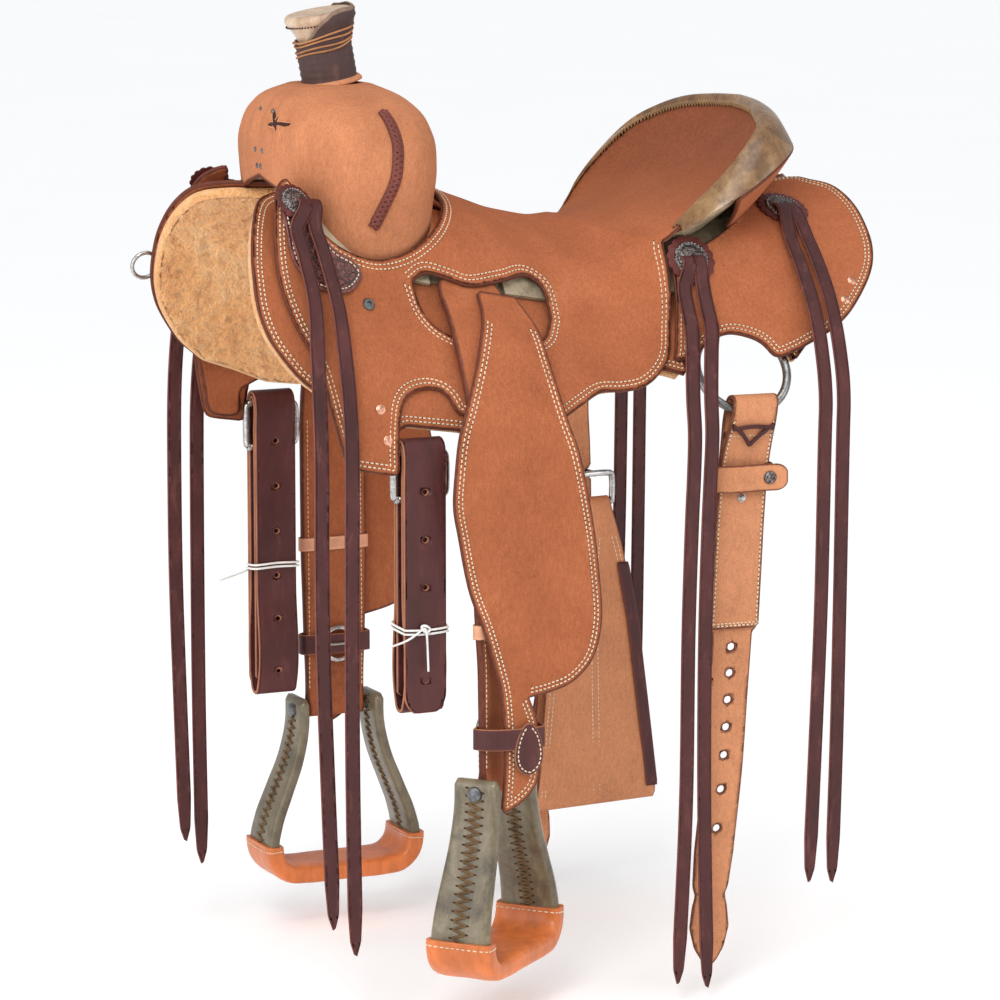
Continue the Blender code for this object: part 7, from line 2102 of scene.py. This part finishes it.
def build_cinch():
    """Flank cinch: a strap doubled round its buckle's bar, widening down, sewn, with a bound edge."""
    across, outward = rear_axes(1)
    bar = CINCH_BUCKLE_FOOT_Z
    loop = CINCH_BUCKLE_ROD + 0.0008 + CINCH_THICK / 2
    gap = CINCH_HALF_GAP
    low = CINCH_PINS[-1][0]
    half = [(0.0, bar + loop), (loop * 0.72, bar + loop * 0.72), (loop, bar), (loop + 0.001, -0.275),
            (gap, -0.300),
            (gap, -0.350), (gap, -0.425), (gap, -0.510), (gap, low + gap + 0.010), (gap * 0.8, low + 0.008),
            (0.0, low)]
    path = np.array(half + [(-d, z) for d, z in half[::-1][1:-1]])
    step = (np.roll(path, -1, 0) - np.roll(path, 1, 0))
    through = unit(np.cross(outward * col(step[:, 0]) + UP * col(step[:, 1]), across))
    pins = np.array(CINCH_PINS)

    def width(z):
        return np.interp(-z, -pins[:, 0], pins[:, 2])

    def spot(d, z):
        return rear_point(1, float(np.interp(-z, -pins[:, 0], pins[:, 1])), z, d - CINCH_INSET)

    stations = [(spot(d, z), across, float(width(z)), t, CINCH_THICK / 2) for (d, z), t in zip(path, through)]
    make_piece("flank_cinch", strap(stations, 0.006, True), "light_tan", "cinch", "light_tan")
    rows = []
    z = np.arange(-0.300, -0.590, -0.0050)
    for face in (1, -1):
        for share, inset in ((-1, 0.006), (-1, 0.011), (1, 0.006), (1, 0.011), (0, -0.004), (0, 0.004)):
            start = np.array([spot(face * (gap + 0.0019),
                                   v) + across * (share * width(v) - inset * (share or 1))
                              for v in z])
            end = np.array([spot(face * (gap + 0.0019), v - 0.0036)
                            + across * (share * width(v - 0.0036) - inset * (share or 1)) for v in z])
            rows.append(threads(start, end, np.broadcast_to(outward * face, start.shape), 0.0006))
    make_piece("flank_cinch_stitches", join(rows), "thread", "cinch", recalc=False)
    stations = [(spot(-gap - 0.0033, v) + across * (width(v) - 0.0060), across, 0.0075, outward, 0.0013)
                for v in (-0.330, -0.360, -0.400, -0.450, -0.500, -0.550, -0.590)]
    make_piece("flank_cinch_binding", strap(stations, 0.006), "strings", "cinch")
    left, right = CINCH_X - CINCH_BUCKLE_HALF, CINCH_X + CINCH_BUCKLE_HALF
    top_z = CINCH_BUCKLE_TOP_Z
    ring = [(left, top_z - 0.005), (left + 0.005, top_z), (right - 0.005, top_z), (right, top_z - 0.005),
            (right, bar + 0.005), (right - 0.004, bar), (left + 0.004, bar), (left, bar + 0.005)]
    points = run([rear_point(1, x, v, -CINCH_INSET) for x, v in ring], 0.002, True)
    pin = np.array([rear_point(1, CINCH_X, top_z, d)
                    for d in np.linspace(-CINCH_INSET, STRAP_THICK + 0.005, 12)])
    size = np.full(12, 0.0033)
    size[-2:] = 0.0028, 0.0014
    make_piece("cinch_buckle", join([tube(points, CINCH_BUCKLE_ROD, True, 14), tube(pin, size, sides=14)]),
               "steel",
               "billet_right", "steel")


# Keepers, conchos, strings and the breast dee

def top_lift(place, x, s):
    return seat_lift(x, s) + LAYER_GAP + KEEPER_THICK if place == "front" else jockey_lift(x, s)


def top_point(place, x, s, extra=0.0):
    return on_back(x, s, top_lift(place, x, s) + extra)


def top_normal(place, x, s):
    along = top_point(place, x + 0.004, s) - top_point(place, x - 0.004, s)
    normal = unit(np.cross(along, top_point(place, x, s + 0.004) - top_point(place, x, s - 0.004)))
    return normal if normal @ normal_on_back(x, s) > 0 else -normal


def build_conchos():
    """Front keepers, and scalloped rosettes with domed, petalled conchos on them."""
    outline = keeper_outline()
    for label, side in SIDES:
        place = keeper_place(side)
        make_piece("front_keeper_" + label, panel([outline], place, KEEPER_THICK, 0.0032), "tooled", "saddle",
                   "tooled_brown")
        sew("front_keeper_" + label, [outline], place, KEEPER_THICK, (0.0042,), "saddle")
        for name, (x, s, radius, stand_off) in CONCHOS.items():
            foot = top_point(name, x, side * s, stand_off)
            normal = top_normal(name, x, side * s)
            first, _, _ = frame_of(normal)
            body = "saddle"
            scallops = 16 if name != "rear" else 20
            leaf = lambda a, n=scallops: 0.97 + 0.085 * np.abs(np.sin(a * n / 2))
            r = radius * {"front": 1.08, "side": 1.10, "rear": 1.12}[name]
            rosette = turned([(0, 0.0022), (r * 0.9, 0.0022), (r * 1.0, 0.0014), (r * 1.0, 0.0), (0, 0.0)],
                             foot - normal * 0.0002, normal, first, 96, leaf)
            make_piece("%s_rosette_%s" % (name, label), rosette, "rosette", body, smooth=45)
            d = radius * 0.82
            petals = lambda a: 1 + 0.030 * np.cos(a * 10)
            domed = [(0, 0.0058), (d * 0.22, 0.0057), (d * 0.30, 0.0048), (d * 0.42, 0.0052),
                     (d * 0.62, 0.0047),
                     (d * 0.74, 0.0037), (d * 0.78, 0.0030), (d * 0.90, 0.0036), (d * 0.97, 0.0031),
                     (d, 0.0022),
                     (d, 0.0014), (0, 0.0014)]
            make_piece("%s_concho_%s" % (name, label), turned(domed, foot, normal, first, 80, petals),
                       "antique", body, "dark_steel",
                       smooth=50)
            bead_angles = np.linspace(0, math.tau, 28, endpoint=False)
            second = np.cross(normal, first)
            rim = (foot + first * col(d * 0.90 * np.cos(bead_angles)) + second
                   * col(d * 0.90 * np.sin(bead_angles))
                   + normal * 0.0036)
            way = first * col(-np.sin(bead_angles)) + second * col(np.cos(bead_angles))
            beads = threads(rim - way * 0.0009, rim + way * 0.0009, np.broadcast_to(normal, rim.shape),
                            0.0007, 0.3)
            make_piece("%s_concho_beads_%s" % (name, label), beads, "steel", body, recalc=False)


def tail_places(start, knots):
    line = np.concatenate([run([(start[0], start[1]), *knots], 0.010), [knots[-1]]])
    places = [line[0]]
    for point in line[1:-1]:
        step = 0.014 if point[1] > -0.130 else 0.030
        if np.linalg.norm(point - places[-1]) > step and np.linalg.norm(point - line[-1]) > step * 0.6:
            places.append(point)
    return places[1:] + [line[-1]]


def lace_line(name, side):
    """Points and normals of a string's two tails, each from the concho's slot down to its tip."""
    x, s, radius, stand_off = CONCHOS[name]
    normal = top_normal(name, x, side * s)
    centre = top_point(name, x, side * s, stand_off)
    face = centre + normal * (CONCHO_HEIGHT + LACE_OVER + LACE_THICK / 2)
    along = unit(ALONG - normal * normal[0])
    up = np.cross(along, normal)
    up = -up if up[2] < 0 else up
    tails = []
    for offset, knots in zip((-LACE_TOP_RADIUS, LACE_TOP_RADIUS), LACE_PATHS[name]):
        tail = [(face + along * offset - up * (radius + 0.005), normal)]
        knots = [(px + STRING_SHIFT[name], pz) for px, pz in knots]
        for spot in tail_places((x + offset, centre[2] - 0.004), knots):
            length = float(drop_length(spot[0], spot[1]))
            away = np.linalg.norm(on_back(spot[0], side * length) - centre)
            if away < radius + 0.018:
                continue
            clear = LACE_CLEAR[name] * float(smoothstep((away - radius) / 0.120))
            lift = top_lift(name, spot[0], min(length, 0.300)) + 0.0030 + clear
            on_top = spot[1] > LACE_LEAVES_Z
            across = top_normal(name, spot[0], side * length) if on_top else normal_on_back(spot[0],
                                                                                            side * length)
            tail.append((on_back(spot[0], side * length, lift), across))
        tails.append(tail)
    slot = SLOT_SHIFT[name]
    lines_of = []
    for offset, tail in zip((-0.55, 0.55), tails):
        at = face + along * (slot + LACE_TOP_RADIUS * offset)
        lines_of.append([(at - normal * 0.0062 + up * 0.0035, unit(normal + up)),
                         (at - normal * 0.0012, normal),
                         (at - up * 0.006, normal)] + tail[1:])
    return lines_of


def build_strings():
    """Saddle strings: flat laces with pointed ends, out of the concho's slot and down."""
    for label, side in SIDES:
        for name in CONCHOS:
            tails = []
            for line in lace_line(name, side):
                points = np.array([p for p, _ in line])
                step = np.gradient(points, axis=0)
                stations = [(p, np.cross(n, w), n) for (p, n), w in zip(line, step)]
                place, length = path_place(stations, LACE_THICK / 2)

                def half_width(b, length=length):
                    return LACE_HALF_WIDTH * np.interp(length - b, (0, 0.016, 0.050), (0.12, 0.75, 1.0))

                tails.append(panel([strip_outline(length, half_width)], place, LACE_THICK, STRAP_CELL,
                                   inset=0.0010))
            make_piece("%s_string_%s" % (name, label), join(tails), "strings",
                       "%s_strings_%s" % (name, label), "burgundy")


def build_breast_dee():
    """Small dee on the far skirt's front."""
    centre = on_back(-0.3385, 0.214, 0.0028)
    normal = normal_on_back(-0.3385, 0.214)
    down = np.array([0, normal[2], -normal[1]])
    a = np.linspace(0, math.tau, 48, endpoint=False)
    points = centre + ALONG * col(0.014 * np.cos(a)) + down * col(0.014 * np.sin(a))
    make_piece("breast_dee", tube(points, 0.0022, True, 12), "steel", "saddle", "steel")


# Stage

def build_stage():
    """Pale floor below the strings' tips, wide enough to fill the view."""
    reach = np.linspace(-FLOOR_REACH, FLOOR_REACH, 9)
    x, y = np.meshgrid(reach, reach, indexing="ij")
    shape = Shape(stack(x, y, CAD_BOX[0][2] - FLOOR_DROP), [grid_faces(9, 9)[:, ::-1]])
    return make_piece("stage_floor", shape, "stage", "saddle", recalc=False)


def add_light(name, location, size, power, target=(0, 0, -0.2), colour=(1, 1, 1)):
    data = bpy.data.lights.new(name, "AREA")
    data.size = size
    data.energy = power
    data.color = colour
    light = bpy.data.objects.new(name, data)
    light.location = location
    light.rotation_euler = (Vector(target) - Vector(location)).to_track_quat("-Z", "Y").to_euler()
    bpy.context.scene.collection.objects.link(light)


def finish_of(name):
    if not FINISHES:
        FINISHES.update(make_finishes(bpy.context.scene.saddle_colours))
    return FINISHES[name]


# Settings, operators and panel

class SaddleSizes(PropertyGroup):
    """Sizes of the stitching."""
    stitch_length: FloatProperty(name="Stitch length", description="Length of one stitch", default=0.0034,
                                 min=0.001, subtype="DISTANCE", unit="LENGTH")
    stitch_gap: FloatProperty(name="Stitch gap", description="Gap between stitches", default=0.0013,
                              min=0.0003, subtype="DISTANCE", unit="LENGTH")
    thread_radius: FloatProperty(name="Thread radius", description="Radius of the thread", default=0.00070,
                                 min=0.0002, subtype="DISTANCE", unit="LENGTH")


def colour_property(name, description, default):
    return FloatVectorProperty(name=name, description=description, default=default, size=3, min=0.0, max=1.0,
                               subtype="COLOR")


class SaddleColours(PropertyGroup):
    """Colours of the leathers, rawhide, fleece and thread."""
    roughout: colour_property("Roughout", "Seat, fenders and jockeys", (0.372, 0.112, 0.045))
    light_tan: colour_property("Light tan", "Billets and flank cinch", (0.560, 0.235, 0.115))
    burgundy: colour_property("Burgundy", "Latigos, strings and straps", (0.070, 0.0175, 0.0165))
    russet: colour_property("Russet", "Stirrup treads", (0.560, 0.150, 0.040))
    burnished: colour_property("Burnished edge", "Rubbed edges of the roughout", (0.130, 0.036, 0.020))
    rawhide: colour_property("Rawhide", "Stirrups", (0.135, 0.105, 0.058))
    fleece: colour_property("Fleece", "Wool under the skirts", (0.950, 0.480, 0.185))
    fleece_deep: colour_property("Matted fleece", "Darker matted wool", (0.680, 0.250, 0.080))
    thread: colour_property("Thread", "Stitches", (0.760, 0.600, 0.420))
    floor: colour_property("Floor", "Floor and backdrop", (0.860, 0.860, 0.860))


class SADDLE_OT_seat(Operator):
    """Build the seat and the ground seat under it"""
    bl_idname = "saddle.seat"
    bl_label = "Seat"

    def execute(self, context):
        build_seat()
        return {"FINISHED"}


class SADDLE_OT_skirts(Operator):
    """Build the skirts and their fleece"""
    bl_idname = "saddle.skirts"
    bl_label = "Skirts and fleece"

    def execute(self, context):
        build_skirts()
        return {"FINISHED"}


class SADDLE_OT_jockeys(Operator):
    """Build the rear jockeys"""
    bl_idname = "saddle.jockeys"
    bl_label = "Rear jockeys"

    def execute(self, context):
        build_jockeys()
        return {"FINISHED"}


class SADDLE_OT_fork_cover(Operator):
    """Build the fork cover with its braids, opening, nails and screws"""
    bl_idname = "saddle.fork_cover"
    bl_label = "Fork cover"

    def execute(self, context):
        build_fork_cover()
        return {"FINISHED"}


class SADDLE_OT_horn(Operator):
    """Build the horn's cap, wrap and lashings"""
    bl_idname = "saddle.horn"
    bl_label = "Horn"

    def execute(self, context):
        build_horn()
        return {"FINISHED"}


class SADDLE_OT_cantle(Operator):
    """Build the cantle's binding and back"""
    bl_idname = "saddle.cantle"
    bl_label = "Cantle"

    def execute(self, context):
        build_cantle()
        return {"FINISHED"}


class SADDLE_OT_tree(Operator):
    """Finish the tree's own parts"""
    bl_idname = "saddle.tree"
    bl_label = "Tree"

    def execute(self, context):
        finish_tree()
        return {"FINISHED"}


class SADDLE_OT_leathers(Operator):
    """Build the stirrup leathers and the bights"""
    bl_idname = "saddle.leathers"
    bl_label = "Stirrup leathers"

    def execute(self, context):
        build_leathers()
        return {"FINISHED"}


class SADDLE_OT_fenders(Operator):
    """Build the fenders"""
    bl_idname = "saddle.fenders"
    bl_label = "Fenders"

    def execute(self, context):
        build_fenders()
        return {"FINISHED"}


class SADDLE_OT_hobbles(Operator):
    """Build the hobble straps with their buckles and keepers"""
    bl_idname = "saddle.hobbles"
    bl_label = "Hobble straps"

    def execute(self, context):
        build_hobbles()
        return {"FINISHED"}


class SADDLE_OT_stirrups(Operator):
    """Build the stirrups, treads and bolts"""
    bl_idname = "saddle.stirrups"
    bl_label = "Stirrups"

    def execute(self, context):
        build_stirrups()
        return {"FINISHED"}


class SADDLE_OT_front_rigging(Operator):
    """Build the front dees and latigos"""
    bl_idname = "saddle.front_rigging"
    bl_label = "Front rigging"

    def execute(self, context):
        build_front_rigging()
        return {"FINISHED"}


class SADDLE_OT_rear_rigging(Operator):
    """Build the rear rings, billets and keeper"""
    bl_idname = "saddle.rear_rigging"
    bl_label = "Rear rigging"

    def execute(self, context):
        build_rings()
        build_billets()
        build_billet_keeper()
        return {"FINISHED"}


class SADDLE_OT_cinch(Operator):
    """Build the flank cinch and its buckle"""
    bl_idname = "saddle.cinch"
    bl_label = "Flank cinch"

    def execute(self, context):
        build_cinch()
        return {"FINISHED"}


class SADDLE_OT_conchos(Operator):
    """Build the front keepers and the conchos"""
    bl_idname = "saddle.conchos"
    bl_label = "Keepers and conchos"

    def execute(self, context):
        build_conchos()
        return {"FINISHED"}


class SADDLE_OT_strings(Operator):
    """Build the saddle strings and the breast dee"""
    bl_idname = "saddle.strings"
    bl_label = "Saddle strings"

    def execute(self, context):
        build_strings()
        build_breast_dee()
        return {"FINISHED"}


class SADDLE_OT_stage(Operator):
    """Build the floor, the lights and the camera"""
    bl_idname = "saddle.stage"
    bl_label = "Stage"

    def execute(self, context):
        colour = tuple(context.scene.saddle_colours.floor)
        shader = Shader("pale floor", specular=0.2)
        clouds = shader.noise(shader.place(), 2.0, 2.0)
        pale = shader.ramp(clouds, [(0.3, shade(colour, 0.985)), (0.7, colour)])
        FINISHES["stage"] = shader.finish(pale, 0.8)
        shader.surface.inputs["Emission Color"].default_value = (1.0, 1.0, 1.0, 1.0)
        shader.surface.inputs["Emission Strength"].default_value = 0.22
        build_stage()
        add_light("key_light", (-2.4, -3.0, 2.6), 1.6, 78)
        add_light("fill_light", (2.6, -2.6, 1.0), 2.4, 30)
        add_light("front_light", (-2.6, -0.6, 0.4), 1.8, 22)
        sun = bpy.data.lights.new("top_light", "SUN")
        sun.energy = 1.15
        sun.angle = math.radians(50)
        top_light = bpy.data.objects.new("top_light", sun)
        top_light.rotation_euler = (math.radians(22), 0, math.radians(-20))
        context.scene.collection.objects.link(top_light)
        world = bpy.data.worlds.new("pale_room")
        world.use_nodes = True
        world.node_tree.nodes["Background"].inputs["Color"].default_value = (0.95, 0.97, 1.0, 1.0)
        world.node_tree.nodes["Background"].inputs["Strength"].default_value = 0.55
        context.scene.world = world
        context.scene.view_settings.view_transform = "Standard"
        turn, tilt = CAMERA_TURN, CAMERA_TILT
        back = Vector((-math.sin(turn) * math.cos(tilt), -math.cos(turn) * math.cos(tilt), math.sin(tilt)))
        data = bpy.data.cameras.new("camera")
        data.lens = CAMERA_LENS
        data.sensor_width = 36.0
        data.clip_end = 50.0
        camera = bpy.data.objects.new("camera", data)
        camera.location = Vector(LOOK_AT) + back * CAMERA_DISTANCE
        camera.rotation_euler = (-back).to_track_quat("-Z", "Y").to_euler()
        context.scene.collection.objects.link(camera)
        context.scene.camera = camera
        return {"FINISHED"}


PIECES = (SADDLE_OT_seat, SADDLE_OT_skirts, SADDLE_OT_jockeys, SADDLE_OT_fork_cover, SADDLE_OT_horn,
          SADDLE_OT_cantle, SADDLE_OT_tree, SADDLE_OT_leathers, SADDLE_OT_fenders, SADDLE_OT_hobbles,
          SADDLE_OT_stirrups, SADDLE_OT_front_rigging, SADDLE_OT_rear_rigging, SADDLE_OT_cinch,
          SADDLE_OT_conchos, SADDLE_OT_strings, SADDLE_OT_stage)


class SADDLE_PT_panel(Panel):
    """Sizes, colours and pieces of the saddle"""
    bl_idname = "SADDLE_PT_panel"
    bl_label = "Strip down saddle"
    bl_space_type = "VIEW_3D"
    bl_region_type = "UI"
    bl_category = "Saddle"

    def draw(self, context):
        for group in (context.scene.saddle_sizes, context.scene.saddle_colours):
            for name in group.__annotations__:
                self.layout.prop(group, name)
        for piece in PIECES:
            self.layout.operator(piece.bl_idname)


CLASSES = (SaddleSizes, SaddleColours, *PIECES, SADDLE_PT_panel)


def register():
    for cls in CLASSES:
        bpy.utils.register_class(cls)
    bpy.types.Scene.saddle_sizes = PointerProperty(type=SaddleSizes)
    bpy.types.Scene.saddle_colours = PointerProperty(type=SaddleColours)


def unregister():
    del bpy.types.Scene.saddle_colours
    del bpy.types.Scene.saddle_sizes
    for cls in reversed(CLASSES):
        bpy.utils.unregister_class(cls)


def main():
    register()
    for piece in PIECES:
        group, name = piece.bl_idname.split(".")
        getattr(getattr(bpy.ops, group), name)()


if __name__ == "__main__":
    main()
